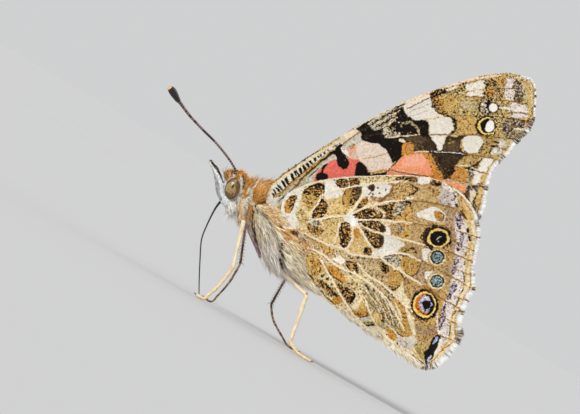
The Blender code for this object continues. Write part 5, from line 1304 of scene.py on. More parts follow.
# Prothorax and collar
COLLAR_FUR = [
    blob("fur_orange", (-2.7, 2.9), (-1.5, 2.9), (-0.4, 2.5), (-0.9, 1.75), (-1.6, 1.3), (-2.0, 0.7),
         (-2.4, 0.2), (-2.8, 0.4), (-2.7, 1.4)),
    blob("fur_collar", (-2.5, 1.6), (-1.9, 1.9), (-1.2, 1.8), (-1.7, 1.1), (-2.2, 0.6), (-2.6, 0.7)),
    blob("fur_cream", (-2.3, 0.9), (-1.95, 1.0), (-1.7, 0.7), (-1.9, 0.1), (-2.4, 0.1)),
    blob("fur_orange", (-1.4, 1.4), (-0.7, 1.85), (0.4, 1.95), (0.3, 1.1), (-0.6, 0.8)),
    line("fur_bright", 0.15, (0.0, 2.4), (-0.7, 1.9), (-1.4, 1.5), (-1.84, 0.9), (-1.92, 0.2)),
    blob("fur_cream", (-3.4, 0.4), (-2.6, 0.2), (-2.1, 0.3), (-1.75, -0.2), (-1.8, -1.6), (-2.2, -2.6),
         (-3.4, -2.4)),
    line("fur_peach", 0.2, (-3.15, 0.1), (-3.2, -0.9), (-3.2, -1.9)),
    line("fur_white", 0.16, (-2.98, 0.2), (-3.0, -0.8), (-3.0, -1.6)),
    line("fur_peach", 0.16, (-2.82, 0.1), (-2.8, -0.9), (-2.84, -1.9)),
    dots("fur_brown", 0.1, (-2.5, -0.6), (-2.3, -0.95), (-2.2, -0.1), (-2.45, 0.25), (-2.15, -1.35)),
    line("fur_orange", 0.42, (-1.86, -0.4), (-1.92, -1.2), (-2.02, -2.1)),
    line("fur_brown", 0.22, (-1.68, -0.8), (-1.73, -1.8), (-1.65, -2.6), (-1.56, -3.3), (-1.4, -4.1),
         (-1.2, -4.9)),
    line("fur_brown", 0.14, (-1.58, -0.3), (-1.32, -0.75)),
]

# Head
HEAD_FUR = [
    blob("fur_gold", (-5.2, 3.3), (-4.5, 1.6), (-4.0, 1.9), (-3.2, 2.1), (-2.8, 1.9), (-2.55, 2.6),
         (-3.0, 3.4), (-4.2, 3.6)),
    blob("fur_orange", (-3.5, 3.4), (-3.3, 2.6), (-2.6, 2.2), (-2.4, 2.7), (-2.9, 3.3)),
    line("fur_cream", 0.1, (-4.3, 1.85), (-4.0, 2.15), (-3.5, 2.34)),
    blob("fur_bright", (-2.96, 2.2), (-2.84, 2.1), (-2.74, 1.7), (-2.74, 1.2), (-2.82, 0.7), (-3.2, 0.2),
         (-3.6, -0.1), (-3.8, 0.05), (-3.35, 0.5), (-3.06, 1.0), (-2.94, 1.6)),
    dots("fur_bright", 0.2, (-3.62, 2.48)),
    dots("fur_brown", 0.18, (-2.72, 2.05), (-2.66, 1.75), (-2.66, 1.45), (-2.68, 1.15), (-2.74, 0.85)),
    # White hair under the head: partly its own white, partly painted light against the shade beneath the head
    blob("fur_bright", (-5.0, 0.9), (-4.4, 0.4), (-3.9, 0.0), (-3.4, 0.0), (-3.2, -1.0), (-3.3, -2.2),
         (-4.0, -1.9), (-5.2, -0.4)),
]

BODY_SIDE = [
    *ABDOMEN_FUR, *THORAX_FUR, *COLLAR_FUR, *HEAD_FUR,
]

PALP_SIDE = [
    blob("palp_grey", (-5.75, 3.1), (-5.3, 2.8), (-4.95, 1.6), (-4.95, 0.6), (-4.7, -0.2), (-5.6, 0.2),
         (-5.8, 2.0)),
    line("palp_white", 0.34, (-5.76, 3.5), (-5.14, 2.4), (-4.84, 1.3)),
    line("fur_black", 0.26, (-6.0, 3.98), (-5.36, 3.2), (-4.96, 2.5), (-4.72, 1.9), (-4.6, 1.6)),
]

EYE_SIDE = [
    blob("eye_bronze", (-3.2, 2.0), (-3.0, 1.6), (-3.2, 0.9), (-3.6, 0.2), (-3.4, 0.9), (-3.5, 1.6)),
    blob("eye_bronze", (-4.5, 1.5), (-4.2, 2.1), (-3.6, 2.3), (-3.2, 2.2), (-3.6, 1.95), (-4.1, 1.7)),
    blob("eye_bronze", (-4.5, 0.9), (-4.2, 0.3), (-3.7, 0.05), (-3.4, 0.2), (-3.8, 0.45), (-4.2, 0.8)),
    oval("eye_spot", -3.69, 1.36, 0.12, 0.25, 24),
    oval("eye_bronze", -3.72, 0.58, 0.12, 0.16, 20),
    oval("eye_bronze", -3.64, 1.86, 0.14, 0.12, 20),
    oval("eye_spot", -3.22, 1.7, 0.08, 0.13, 20),
]

# Dark tufts down the thorax's side
SIDE_SPOTS = ((1.1, -3.15), (1.25, -3.8), (2.3, -3.15), (2.7, -3.2), (1.2, -4.3), (1.3, -4.6), (1.05, -5.0),
              (1.2, -5.4), (1.0, -5.9), (1.1, -6.3), (1.25, -6.6))

# Hair over the hindwing's root and along its inner edge
SHOULDER = ((-1.4, -0.5), (-0.9, -1.0), (-0.4, -1.6), (0.2, -2.4))
WING_ROOT = ((0.2, -2.4), (0.7, -3.6), (1.15, -5.2), (1.6, -6.6), (2.9, -7.8))
INNER_EDGE = (
    (7.0, -11.0), (9.0, -12.6), (10.4, -13.4), (11.6, -14.2), (12.6, -14.9), (13.6, -15.5), (14.4, -16.1),
)
WING_HAIR = [
    blob("fur_tan", (-1.9, 0.6), (0.8, 0.6), (1.7, -0.3), (1.6, -2.4), (0.4, -2.6), (-1.6, -1.4)),
    line("fur_tan", 0.2, (-1.2, -0.8), (-0.2, -1.8), (0.8, -2.8)),
    blob("fur_bright", (-1.8, 0.4), (0.9, 0.6), (1.3, -0.1), (0.5, -0.3), (-0.4, -0.2), (-1.6, -0.4)),
    *lines("fur_gold", [
        (0.24, (-0.6, -0.42), (0.2, -0.56), (1.0, -0.6), (2.0, -0.8)),
        (0.26, (-0.6, -0.86), (0.4, -1.1), (1.2, -1.4)),
        (0.36, (-0.5, -1.1), (0.4, -1.9), (1.2, -2.6), (2.4, -3.1)),
    ]),
    blob("fur_gold", (0.9, -2.7), (1.6, -2.5), (3.0, -3.2), (3.1, -3.7), (2.2, -3.5), (1.5, -4.0),
         (0.8, -3.9)),
    blob("fur_tan", (1.4, -4.4), (3.4, -4.0), (4.6, -5.6), (5.4, -9.4), (3.4, -9.2), (2.4, -6.0)),
    blob("fur_shade", (1.8, -5.8), (3.4, -5.4), (4.4, -7.6), (3.6, -8.8), (2.0, -7.6)),
    dots("fur_black", 0.3, (1.3, -4.3), (1.2, -4.9), (1.3, -5.4), (1.2, -5.9), (1.25, -6.4)),
    blob("fur_cream", (3.4, -8.0), (8.0, -10.4), (16.0, -15.6), (16.0, -18.0), (9.0, -14.6), (3.0, -10.0)),
    line("fur_brown", 0.3, (4.0, -8.6), (5.2, -10.0), (6.4, -11.0)),
]


# Meshes --------------------------------------------------------------------------------------

SIDES = {"left": 1, "right": -1}
SRGB_TOE = 0.04045  # sRGB values below it lie on a straight line
MAP_SPOT = 0.0015  # half the size of each tuft's own spot on the OFBake map
MOST_TRIANGLES = 190000  # in one piece of coat
THINNEST = 0.05  # half size that a body ring keeps when it is drawn in
TUFT = (7, 10)  # points and triangles of one tuft
TUFT_TAPER = 0.42  # of its width, halfway up and from its middle line
TUFT_ROLL = (0.6, 2.4)  # how far tufts roll about their length, and how fast that changes
VANE = (5, 6)  # points and triangles of one scale
VANE_KEEL = (0.6, 0.01)  # how far along a scale its inner corner lies, and how deep


def linear(colours):
    """sRGB values as the linear ones that Blender's colours hold."""
    colours = np.clip(colours, 0.0, 1.0)
    return np.where(colours <= SRGB_TOE, colours / 12.92, ((colours + 0.055) / 1.055) ** 2.4)


def set_out(name, data):
    """An object with that data, in the scene."""
    made = bpy.data.objects.new(name, data)
    bpy.context.scene.collection.objects.link(made)
    return made


def add_mesh(name, points, triangles, material, colours, spots=None, smooth=True):
    """A mesh in plate millimetres, with a colour for each point and a place for it on the OFBake map."""
    mesh = bpy.data.meshes.new(name)
    mesh.vertices.add(len(points))
    mesh.vertices.foreach_set("co", to_world(points).astype(np.float32).ravel())
    mesh.loops.add(triangles.size)
    mesh.loops.foreach_set("vertex_index", triangles.astype(np.int32).ravel())
    mesh.polygons.add(len(triangles))
    mesh.polygons.foreach_set("loop_start", np.arange(0, triangles.size, 3, dtype=np.int32))
    mesh.polygons.foreach_set("use_smooth", np.full(len(triangles), smooth))
    pattern = mesh.color_attributes.new("Pattern", "FLOAT_COLOR", "POINT")
    filled = np.concatenate([linear(colours), np.ones((len(colours), 1))], 1)
    pattern.data.foreach_set("color", filled.astype(np.float32).ravel())
    if spots is not None:
        layer = mesh.uv_layers.new(name="OFBake")
        layer.uv.foreach_set("vector", spots[triangles.ravel()].astype(np.float32).ravel())
    mesh.update(calc_edges=True)
    mesh.materials.append(material)
    return set_out(name, mesh)


def place(piece, slot, *nodes):
    """Sets a piece on the frame in the stead of the CAD nodes it stands for."""
    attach(piece, "root")
    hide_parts(*nodes)


def unit(vectors):
    """Vectors of length 1 with the same directions."""
    return vectors / np.maximum(np.linalg.norm(vectors, axis=-1, keepdims=True), 1e-9)


def at_shares(path, shares):
    """What a path's rows say at those shares of their number, from 0 to 1."""
    return np.stack([np.interp(shares, np.linspace(0, 1, len(path)), column) for column in path.T], 1)


def off_path(places, path):
    """How far places are from the curve through a path's points."""
    return line_distance(places, ring_through(path, 8, closed=False))[0]


def runs_along(path):
    """How far along a path each of its points is."""
    return np.concatenate([[0], np.cumsum(np.linalg.norm(np.diff(path, axis=0), axis=1))])


def joined(parts):
    """One set of points and triangles from several."""
    points, triangles, start = [], [], 0
    for part_points, part_triangles in parts:
        points.append(part_points)
        triangles.append(part_triangles + start)
        start += len(part_points)
    return np.concatenate(points), np.concatenate(triangles)


def skinned(loops):
    """Points and triangles of a closed tube through equal loops, shaped (loops, points in a loop, 3)."""
    count, sides = loops.shape[:2]
    points = np.concatenate([loops.reshape(-1, 3), loops[:1].mean(1), loops[-1:].mean(1)])
    k = np.arange(sides)
    k2 = (k + 1) % sides
    faces = []
    for i in range(count - 1):
        near, far = i * sides, (i + 1) * sides
        faces.append(np.stack([near + k, near + k2, far + k2], 1))
        faces.append(np.stack([near + k, far + k2, far + k], 1))
    start, stop = count * sides, count * sides + 1
    faces.append(np.stack([np.full(sides, start), k2, k], 1))
    last = (count - 1) * sides
    faces.append(np.stack([np.full(sides, stop), last + k, last + k2], 1))
    return points, np.concatenate(faces)


def tube(rows, sides=12, steps=4):
    """A tube through rows of a, b, c and radius, on a curve with that many steps a row."""
    rows = ring_through(rows, steps, closed=False) if steps else np.array(rows, float)
    path, radii = rows[:, :3], rows[:, 3]
    along = unit(np.gradient(path, axis=0))
    side = np.cross(along[0], (0.3, 0.2, 1.0))
    loops = []
    turns = 2 * np.pi * np.arange(sides) / sides
    for point, line_of, radius in zip(path, along, radii):
        side = side - line_of * (side @ line_of)
        side = side / np.linalg.norm(side)
        third = np.cross(line_of, side)
        loops.append(point + radius * (np.cos(turns)[:, None] * side + np.sin(turns)[:, None] * third))
    return skinned(np.array(loops))


def loft(rings, shrink, sides=36):
    """A body through rings square to the line of their middles, drawn in by shrink."""
    rows = ring_through(rings, 4, closed=False)
    along = unit(np.gradient(rows[:, :2], axis=0))
    turns = 2 * np.pi * np.arange(sides) / sides
    loops = []
    for i, ((a, b, height, depth, width), (da, db)) in enumerate(zip(rows, along)):
        end = shrink * ((i == 0) - (i == len(rows) - 1))
        lift = np.maximum(np.where(np.cos(turns) > 0, height, depth) - shrink, THINNEST) * np.cos(turns)
        out = max(width - shrink, THINNEST) * np.sin(turns)
        loops.append(np.stack([a + da * end - db * lift, b + db * end + da * lift, out], 1))
    return skinned(np.array(loops)[:, ::-1])


def ellipsoid(middle, half_sizes, lean, side=1, shrink=0.0, rings=24):
    """A rounded lump with its top leaning back by that many degrees."""
    heights = np.cos(np.pi * (np.arange(rings) + 0.5) / rings)
    turns = 2 * np.pi * np.arange(2 * rings) / (2 * rings)
    half = np.array(half_sizes) - shrink
    loops = []
    for height in heights:
        flat = math.sqrt(1 - height * height)
        local = np.stack([flat * np.cos(turns), np.full(2 * rings, height), flat * np.sin(turns)], 1) * half
        a, b = turned(local[:, 0], local[:, 1], -lean)
        loops.append(np.stack([a + middle[0], b + middle[1], local[:, 2] + middle[2] * side], 1))
    return skinned(np.array(loops))


def on_side(word, points, triangles):
    """The left side's shape, mirrored for the right side."""
    return (points, triangles) if word == "left" else (points * (1, 1, -1), triangles[:, ::-1])


def shape_of(piece):
    """A piece's points and triangles with its modifiers applied; the piece is removed."""
    graph = bpy.context.evaluated_depsgraph_get()
    mesh = bpy.data.meshes.new_from_object(piece.evaluated_get(graph))
    bpy.data.objects.remove(piece)
    mesh.calc_loop_triangles()
    points = np.zeros(len(mesh.vertices) * 3, np.float32)
    mesh.vertices.foreach_get("co", points)
    triangles = np.zeros(len(mesh.loop_triangles) * 3, np.int32)
    mesh.loop_triangles.foreach_get("vertices", triangles)
    bpy.data.meshes.remove(mesh)
    return points.reshape(-1, 3).astype(float), triangles.reshape(-1, 3)


def fused(name, solids, voxel, smoothing):
    """One closed skin round solids that run into each other."""
    points, triangles = joined(solids)
    mesh = bpy.data.meshes.new(name)
    mesh.from_pydata(points.tolist(), [], triangles.tolist())
    guide = set_out(name, mesh)
    remesh = guide.modifiers.new("skin", "REMESH")
    remesh.mode = "VOXEL"
    remesh.voxel_size = voxel
    smooth = guide.modifiers.new("smooth", "SMOOTH")
    smooth.factor = 0.5
    smooth.iterations = smoothing
    return shape_of(guide)


def facings(corners):
    """Outward directions of triangles, as long as twice their areas."""
    return np.cross(corners[:, 1] - corners[:, 0], corners[:, 2] - corners[:, 0])


def normals_of(points, triangles):
    """Each point's outward direction."""
    facing = facings(points[triangles])
    total = np.zeros_like(points)
    for k in range(3):
        np.add.at(total, triangles[:, k], facing)
    return unit(total)


def sown(points, triangles, density, count, random):
    """Places scattered over a mesh, thicker where density is higher, and the directions they face."""
    corners = points[triangles]
    weight = np.linalg.norm(facings(corners), axis=1) * density(corners.mean(1))
    picked = random.choice(len(triangles), count, p=weight / weight.sum())
    u, v = random.random((2, count))
    over = u + v > 1
    u[over], v[over] = 1 - u[over], 1 - v[over]
    share = np.stack([1 - u - v, u, v], 1)[:, :, None]
    normals = normals_of(points, triangles)
    places = (corners[picked] * share).sum(1)
    return places, unit((normals[triangles[picked]] * share).sum(1))


def laid(ways, normals):
    """The ways laid flat on the surface that faces along normals."""
    return unit(ways - normals * (ways * normals).sum(1)[:, None])


def grouped(points, faces):
    """Many copies of one small shape, shaped (copies, points, 3), as points and triangles."""
    copies, size = points.shape[:2]
    triangles = np.array(faces)[None] + (np.arange(copies) * size)[:, None, None]
    return points.reshape(-1, 3), triangles.reshape(-1, 3)


def tufts(roots, normals, ways, lengths, widths, lifts, bend):
    """Bent three-sided tufts: out by lift at the root, and down by bend towards the tip."""
    ways = laid(ways, normals)
    lengths, widths, lifts = (np.asarray(v, float)[:, None] for v in (lengths, widths, lifts))
    first = ways * np.cos(lifts) + normals * np.sin(lifts)
    second = ways * np.cos(lifts - bend) + normals * np.sin(lifts - bend)
    side = unit(np.cross(first, normals + 0.01))
    over = unit(np.cross(side, first))
    middle = roots + first * lengths * 0.5
    rolls = TUFT_ROLL[0] * np.sin(np.arange(len(roots)) * TUFT_ROLL[1])[:, None]
    low, high = [], []
    for turn in (-90, 30, 150):
        reach = np.cos(math.radians(turn) + rolls) * side + np.sin(math.radians(turn) + rolls) * over
        low.append(roots - normals * widths + reach * widths / 2)
        high.append(middle + reach * widths * TUFT_TAPER)
    points = np.stack([*low, *high, middle + second * lengths * 0.5], 1)
    faces = [(0, 2, 1)]
    for k in range(3):
        k2 = (k + 1) % 3
        faces += [(k, k2, 3 + k2), (k, 3 + k2, 3 + k), (3 + k, 3 + k2, 6)]
    return grouped(points, faces)


def vanes(roots, normals, ways, lengths, widths, lifts, blunt=0.86):
    """Flat scales that widen from the root to a rounded, lifted tip."""
    ways = laid(ways, normals)
    lengths, widths, lifts = (np.asarray(v, float)[:, None] for v in (lengths, widths, lifts))
    side = np.cross(normals, ways)
    tips = roots + ways * lengths + normals * lifts
    broad = roots + ways * lengths * blunt + normals * lifts
    keel = roots + ways * lengths * VANE_KEEL[0] - normals * VANE_KEEL[1]
    points = np.stack([roots, broad - side * widths / 2, tips, broad + side * widths / 2, keel], 1)
    return grouped(points, [(0, 1, 2), (0, 2, 3), (1, 0, 4), (2, 1, 4), (3, 2, 4), (0, 3, 4)])


def patches(places, shape):
    """OFBake spots for a coat's shapes, round each root's own place."""
    turns = 2 * np.pi * np.arange(shape[0]) / shape[0]
    corner = MAP_SPOT * np.stack([np.cos(turns), np.sin(turns)], 1)
    return (places[:, None] + corner[None]).reshape(-1, 2)


def parted(name, points, triangles, material, colours, spots, slot, shape):
    """A coat of tufts or scales in pieces that each stay under the most triangles."""
    size, faces = shape
    copies = len(points) // size
    each = MOST_TRIANGLES // faces
    for number, start in enumerate(range(0, copies, each)):
        stop = min(start + each, copies)
        span = slice(start * size, stop * size)
        shapes = points[span], triangles[start * faces:stop * faces] - start * size
        piece = add_mesh(f"{name}_{number + 1}", *shapes, material, colours[span], spots[span], smooth=False)
        place(piece, slot)


# Materials -----------------------------------------------------------------------------------

FACETS = 26000.0  # scale of the eyes' facets
FACET_HEIGHT = 0.00001
BUMP_FINER = 2.3  # times the grain's scale
NOISE_SPREAD = (0.3, 0.7)  # the noise's usual values, which are stretched to the whole range


def new_material(name, roughness, gloss=0.5):
    """A material's nodes and links, and its main shader."""
    material = bpy.data.materials.new(name)
    material.use_nodes = True
    tree = material.node_tree
    shader = tree.nodes["Principled BSDF"]
    shader.inputs["Roughness"].default_value = roughness
    shader.inputs["Specular IOR Level"].default_value = gloss
    return material, tree, shader


def over_model(tree, kind, scale):
    """A texture of that kind laid over the model."""
    where = tree.nodes.new("ShaderNodeTexCoord")
    texture = tree.nodes.new(kind)
    texture.inputs["Scale"].default_value = scale
    tree.links.new(where.outputs["Object"], texture.inputs["Vector"])
    return texture


def noise(tree, scale, low=0.0, high=1.0):
    """Noise over the model, from low to high."""
    texture = over_model(tree, "ShaderNodeTexNoise", scale)
    texture.inputs["Detail"].default_value = 2.0
    span = tree.nodes.new("ShaderNodeMapRange")
    span.inputs["From Min"].default_value, span.inputs["From Max"].default_value = NOISE_SPREAD
    span.inputs["To Min"].default_value, span.inputs["To Max"].default_value = low, high
    tree.links.new(texture.outputs["Fac"], span.inputs["Value"])
    return span.outputs["Result"]


def pattern_of(tree):
    """The colours that the mesh carries."""
    pattern = tree.nodes.new("ShaderNodeAttribute")
    pattern.attribute_name = "Pattern"
    return pattern.outputs["Color"]


def bumped(tree, shader, height, distance, strength=0.5):
    """Makes the surface look raised where the height is high."""
    bump = tree.nodes.new("ShaderNodeBump")
    bump.inputs["Strength"].default_value = strength
    bump.inputs["Distance"].default_value = distance
    tree.links.new(height, bump.inputs["Height"])
    tree.links.new(bump.outputs["Normal"], shader.inputs["Normal"])


def coat_material(name, roughness, gloss, grain, low, high, bump):
    """The Pattern colours, lighter and darker by a fine grain, with a fine bump."""
    material, tree, shader = new_material(name, roughness, gloss)
    shade = tree.nodes.new("ShaderNodeVectorMath")
    shade.operation = "SCALE"
    tree.links.new(pattern_of(tree), shade.inputs["Vector"])
    tree.links.new(noise(tree, grain, low, high), shade.inputs["Scale"])
    tree.links.new(shade.outputs["Vector"], shader.inputs["Base Color"])
    bumped(tree, shader, noise(tree, grain * BUMP_FINER), bump)
    return material


def eye_material():
    """The Pattern colours under a thin clear coat, with fine facets."""
    material, tree, shader = new_material("compound_eye", 0.3)
    shader.inputs["Coat Weight"].default_value = 0.4
    shader.inputs["Coat Roughness"].default_value = 0.12
    tree.links.new(pattern_of(tree), shader.inputs["Base Color"])
    facets = over_model(tree, "ShaderNodeTexVoronoi", FACETS)
    bumped(tree, shader, facets.outputs["Distance"], FACET_HEIGHT, 0.35)
    return material


def floor_material():
    """The studio's floor, barely mottled."""
    material, tree, shader = new_material("floor", 0.9)
    ramp = tree.nodes.new("ShaderNodeMix")
    ramp.data_type = "RGBA"
    ramp.inputs["A"].default_value = (*FLOOR_COLOUR, 1)
    ramp.inputs["B"].default_value = (*(FLOOR_MOTTLE * v for v in FLOOR_COLOUR), 1)
    tree.links.new(noise(tree, 6.0), ramp.inputs["Factor"])
    tree.links.new(ramp.outputs["Result"], shader.inputs["Base Color"])
    return material


# Wings ---------------------------------------------------------------------------------------

MEMBRANE = 0.04  # half its thickness
FRINGE = 0.46  # how far the membrane stops short of the outline
CELL = 0.14  # of the membrane's mesh
ROW_STEP = 0.87  # from row to row of cells, for each cell's width
VEIN_PAINTS = ("cream_vein", "vein_brown")
VEIN_HEIGHT = 0.045
VEIN_REACH = 0.1
SAG = 0.07  # of the cells between veins, for each millimetre from a vein
SAG_REACH = 0.8
SCALE_STEP = (0.1, 0.085)  # along and across the wing
SCALE_SIZE = (0.15, 0.108)  # length and width
SCALE_LIFT = (0.02, 0.045)  # of its tip, least and most
SCALE_SHIFT = 0.3  # how far scales lie out of their rows, as a share of the steps
SCALE_VARIES = (0.85, 1.15)  # in size
SHADE_VARIES = (0.95, 1.05)  # from scale to scale
SCALE_TURN = 0.14  # how far scales turn from their row's way, in radians
FINE = 0.62  # size of the scales where the pattern is fine
FRINGE_STEP = 0.03
FRINGE_WIDTH = 0.055
FRINGE_FROM = 0.3  # of its full length; there is none where it would be shorter
FRINGE_OVERLAP = 0.3  # of its length, over the membrane's edge
FRINGE_LAYER = 0.02  # out from the membrane's two sides
FRINGE_SHORT = (-0.34, 0.02)  # how far a fringe scale stops before or goes beyond the outline, as a share
FRINGE_LEAN = 0.12
FRINGE_SHIFT = 0.02  # how far its scales lie out of their steps
FRINGE_VARIES = (0.9, 1.05)  # in brightness
FRINGE_BLUNT = 0.7  # where along it a fringe scale is widest
RAGGED = 0.12  # of the fringe's length, in waves round the wing
RAGGED_WAVES = (3.1, 7.3)  # how fast the two sets of waves follow each other
FORE_HINGE = (-1.0, -1.0)  # scales point away from there
HIND_HINGE = (0.5, 0.5)
HIDDEN_INSET = 0.5  # the forewing has no scales further in than that under the hindwing

# Where the margins' fringes start and reach their full length
FORE_APEX_MARGIN = (24.2, 25.8)
FORE_LOWER_MARGIN = (19.6, 21.2)
FORE_LOWER_TOP = 8.0
FORE_FULL = (7.0, 5.4)
HIND_MARGIN = (17.2, 18.6)
HIND_FULL = (0.0, -2.4)
HIND_LOWER_TOP = -10.0
HIND_LOWER_MARGIN = (14.4, 16.0)
HIND_LONGER = (-8.4, -10.4)


def outline_of(corners):
    """The wing's outline as a close ring of points, on the same curve as the solid's."""
    curve = bpy.data.curves.new("outline", "CURVE")
    curve.resolution_u = 12
    spline = curve.splines.new("BEZIER")
    spline.bezier_points.add(len(corners) - 1)
    spline.use_cyclic_u = True
    for point, corner in zip(spline.bezier_points, corners):
        point.co = (*corner, 0)
        point.handle_left_type = point.handle_right_type = "AUTO"
    guide = set_out("outline", curve)
    graph = bpy.context.evaluated_depsgraph_get()
    mesh = bpy.data.meshes.new_from_object(guide.evaluated_get(graph))
    bpy.data.objects.remove(guide)
    ring = np.array([tuple(v.co)[:2] for v in mesh.vertices])
    area = (ring[:, 0] * np.roll(ring[:, 1], -1) - np.roll(ring[:, 0], -1) * ring[:, 1]).sum()
    return ring if area > 0 else ring[::-1]


def drawn_in(ring, depth):
    """The ring moved inwards by depth."""
    ahead = np.roll(ring, -2, 0) - np.roll(ring, 2, 0)
    ahead /= np.hypot(*ahead.T)[:, None]
    return ring - np.stack([ahead[:, 1], -ahead[:, 0]], 1) * np.reshape(depth, (-1, 1))


def fore_fringe(a, b):
    """How long the forewing's fringe is: 1 along the outer margin, 0 along the front edge."""
    margin = rise(*FORE_APEX_MARGIN, a) + rise(*FORE_LOWER_MARGIN, a) * (b < FORE_LOWER_TOP)
    return margin * (0.5 + 0.5 * rise(*FORE_FULL, b))


def hind_fringe(a, b):
    """How long the hindwing's fringe is: 1 along the outer margin, and longer at its lower corner."""
    outer = rise(*HIND_MARGIN, a) * (0.36 + 0.64 * rise(*HIND_FULL, b))
    margin = np.where(b > HIND_LOWER_TOP, outer, rise(*HIND_LOWER_MARGIN, a))
    return margin * (1 + 0.5 * rise(*HIND_LONGER, b))


def staggered(ring, along, across):
    """Places in staggered rows over the ring's whole box."""
    low, high = ring.min(0), ring.max(0)
    rows = np.arange(low[1], high[1], across)
    columns = np.arange(low[0], high[0], along)
    return np.array([(a + along / 2 * (k % 2), b) for k, b in enumerate(rows) for a in columns])


def sheet_cells(ring):
    """Flat points and triangles that fill the ring."""
    grid = staggered(ring, CELL, CELL * ROW_STEP)
    grid = grid[inside(grid, drawn_in(ring, 0.6 * CELL))]
    points = [tuple(p) for p in np.concatenate([ring, grid])]
    edges = [(k, (k + 1) % len(ring)) for k in range(len(ring))]
    made = delaunay_2d_cdt(points, edges, [], 1, 1e-6, False)
    flat, triangles = np.array([tuple(p) for p in made[0]]), np.array(made[2])
    return flat, triangles[inside(flat[triangles].mean(1), ring)]


def relief(points, marks):
    """How high veins stand up there, and how deep the cells between them sag."""
    near = np.full(len(points), SAG_REACH)
    for kind, paint, shape in marks:
        if kind == "line" and paint in VEIN_PAINTS:
            path = ring_through(shape[1], 2, closed=False)
            low, high = path.min(0) - SAG_REACH, path.max(0) + SAG_REACH
            box = ((points >= low) & (points <= high)).all(1)
            near[box] = np.minimum(near[box], line_distance(points[box], path)[0])
    return VEIN_HEIGHT * np.exp(-((near / VEIN_REACH) ** 2)) - SAG * near


def facing_of(places, out_of):
    """The outward direction of a wing's surface at flat places."""
    step = 0.05
    a, b = places.T
    da = (out_of(a + step, b) - out_of(a - step, b)) / (2 * step)
    db = (out_of(a, b + step) - out_of(a, b - step)) / (2 * step)
    return unit(np.stack([-da, -db, np.ones(len(a))], 1))


def map_place(places, ring):
    """Flat places on the wing's own OFBake map."""
    low, high = ring.min(0) - 0.5, ring.max(0) + 0.5
    return (places - low) / (high - low).max()


def membrane(ring, out_of, under, upper):
    """The wing's thin sheet, with the under side's pattern outside and the upper side's inside."""
    flat, triangles = sheet_cells(ring)
    relieved = relief(flat, under[0])
    middle = out_of(*flat.T)
    outer = np.column_stack([flat, middle + MEMBRANE + relieved])
    inner = np.column_stack([flat, middle - MEMBRANE + relieved / 2])
    edges = np.concatenate([triangles[:, [0, 1]], triangles[:, [1, 2]], triangles[:, [2, 0]]])
    _, first, times = np.unique(np.sort(edges, 1), axis=0, return_index=True, return_counts=True)
    rim = edges[first[times == 1]]
    count = len(flat)
    start, stop = rim.T
    faces = [triangles, triangles[:, ::-1] + count]
    faces.append(np.stack([stop, start, start + count], 1))
    faces.append(np.stack([stop, start + count, stop + count], 1))
    colours = np.concatenate([painted(flat, *under), painted(flat, *upper)])
    return np.concatenate([outer, inner]), np.concatenate(faces), colours


def scale_places(ring, fineness, random):
    """The scales' places, a little out of their rows."""
    along, across = np.array(SCALE_STEP) * fineness
    places = staggered(ring, along, across)
    places += random.uniform(-SCALE_SHIFT, SCALE_SHIFT, places.shape) * (along, across)
    return places[inside(places, ring)]


def in_any(places, zones):
    """Which places lie in at least one of the marks."""
    return np.any([hit(places, kind, shape, 0) for kind, _, shape in zones], 0)


def scale_coat(ring, out_of, under, hinge, hidden, zones, random):
    """Rows of scales over the wing's outer side, pointing away from its hinge, finer in the zones."""
    coarse, fine = scale_places(ring, 1.0, random), scale_places(ring, FINE, random)
    coarse, fine = coarse[~in_any(coarse, zones)], fine[in_any(fine, zones)]
    places = np.concatenate([coarse, fine])
    fineness = np.repeat((1.0, FINE), (len(coarse), len(fine)))
    if hidden is not None:
        fineness = fineness[~inside(places, hidden)]
        places = places[~inside(places, hidden)]
    away = unit(places - hinge)
    turn = random.normal(0, SCALE_TURN, len(places))
    away = np.stack([away[:, 0] * np.cos(turn) - away[:, 1] * np.sin(turn),
                     away[:, 0] * np.sin(turn) + away[:, 1] * np.cos(turn)], 1)
    size = random.uniform(*SCALE_VARIES, len(places)) * fineness
    height = out_of(*places.T) + MEMBRANE + relief(places, under[0])
    roots = np.column_stack([places, height])
    ways = np.column_stack([away, np.zeros(len(away))])
    length, width = SCALE_SIZE
    lifts = random.uniform(*SCALE_LIFT, len(places))
    points, triangles = vanes(roots, facing_of(places, out_of), ways, length * size, width * size, lifts)
    shown = places + away * length * 0.5 * fineness[:, None]
    colours = painted(shown, *under) * random.uniform(*SHADE_VARIES, (len(places), 1))
    return points, triangles, np.repeat(colours, VANE[0], 0), patches(map_place(places, ring), VANE)


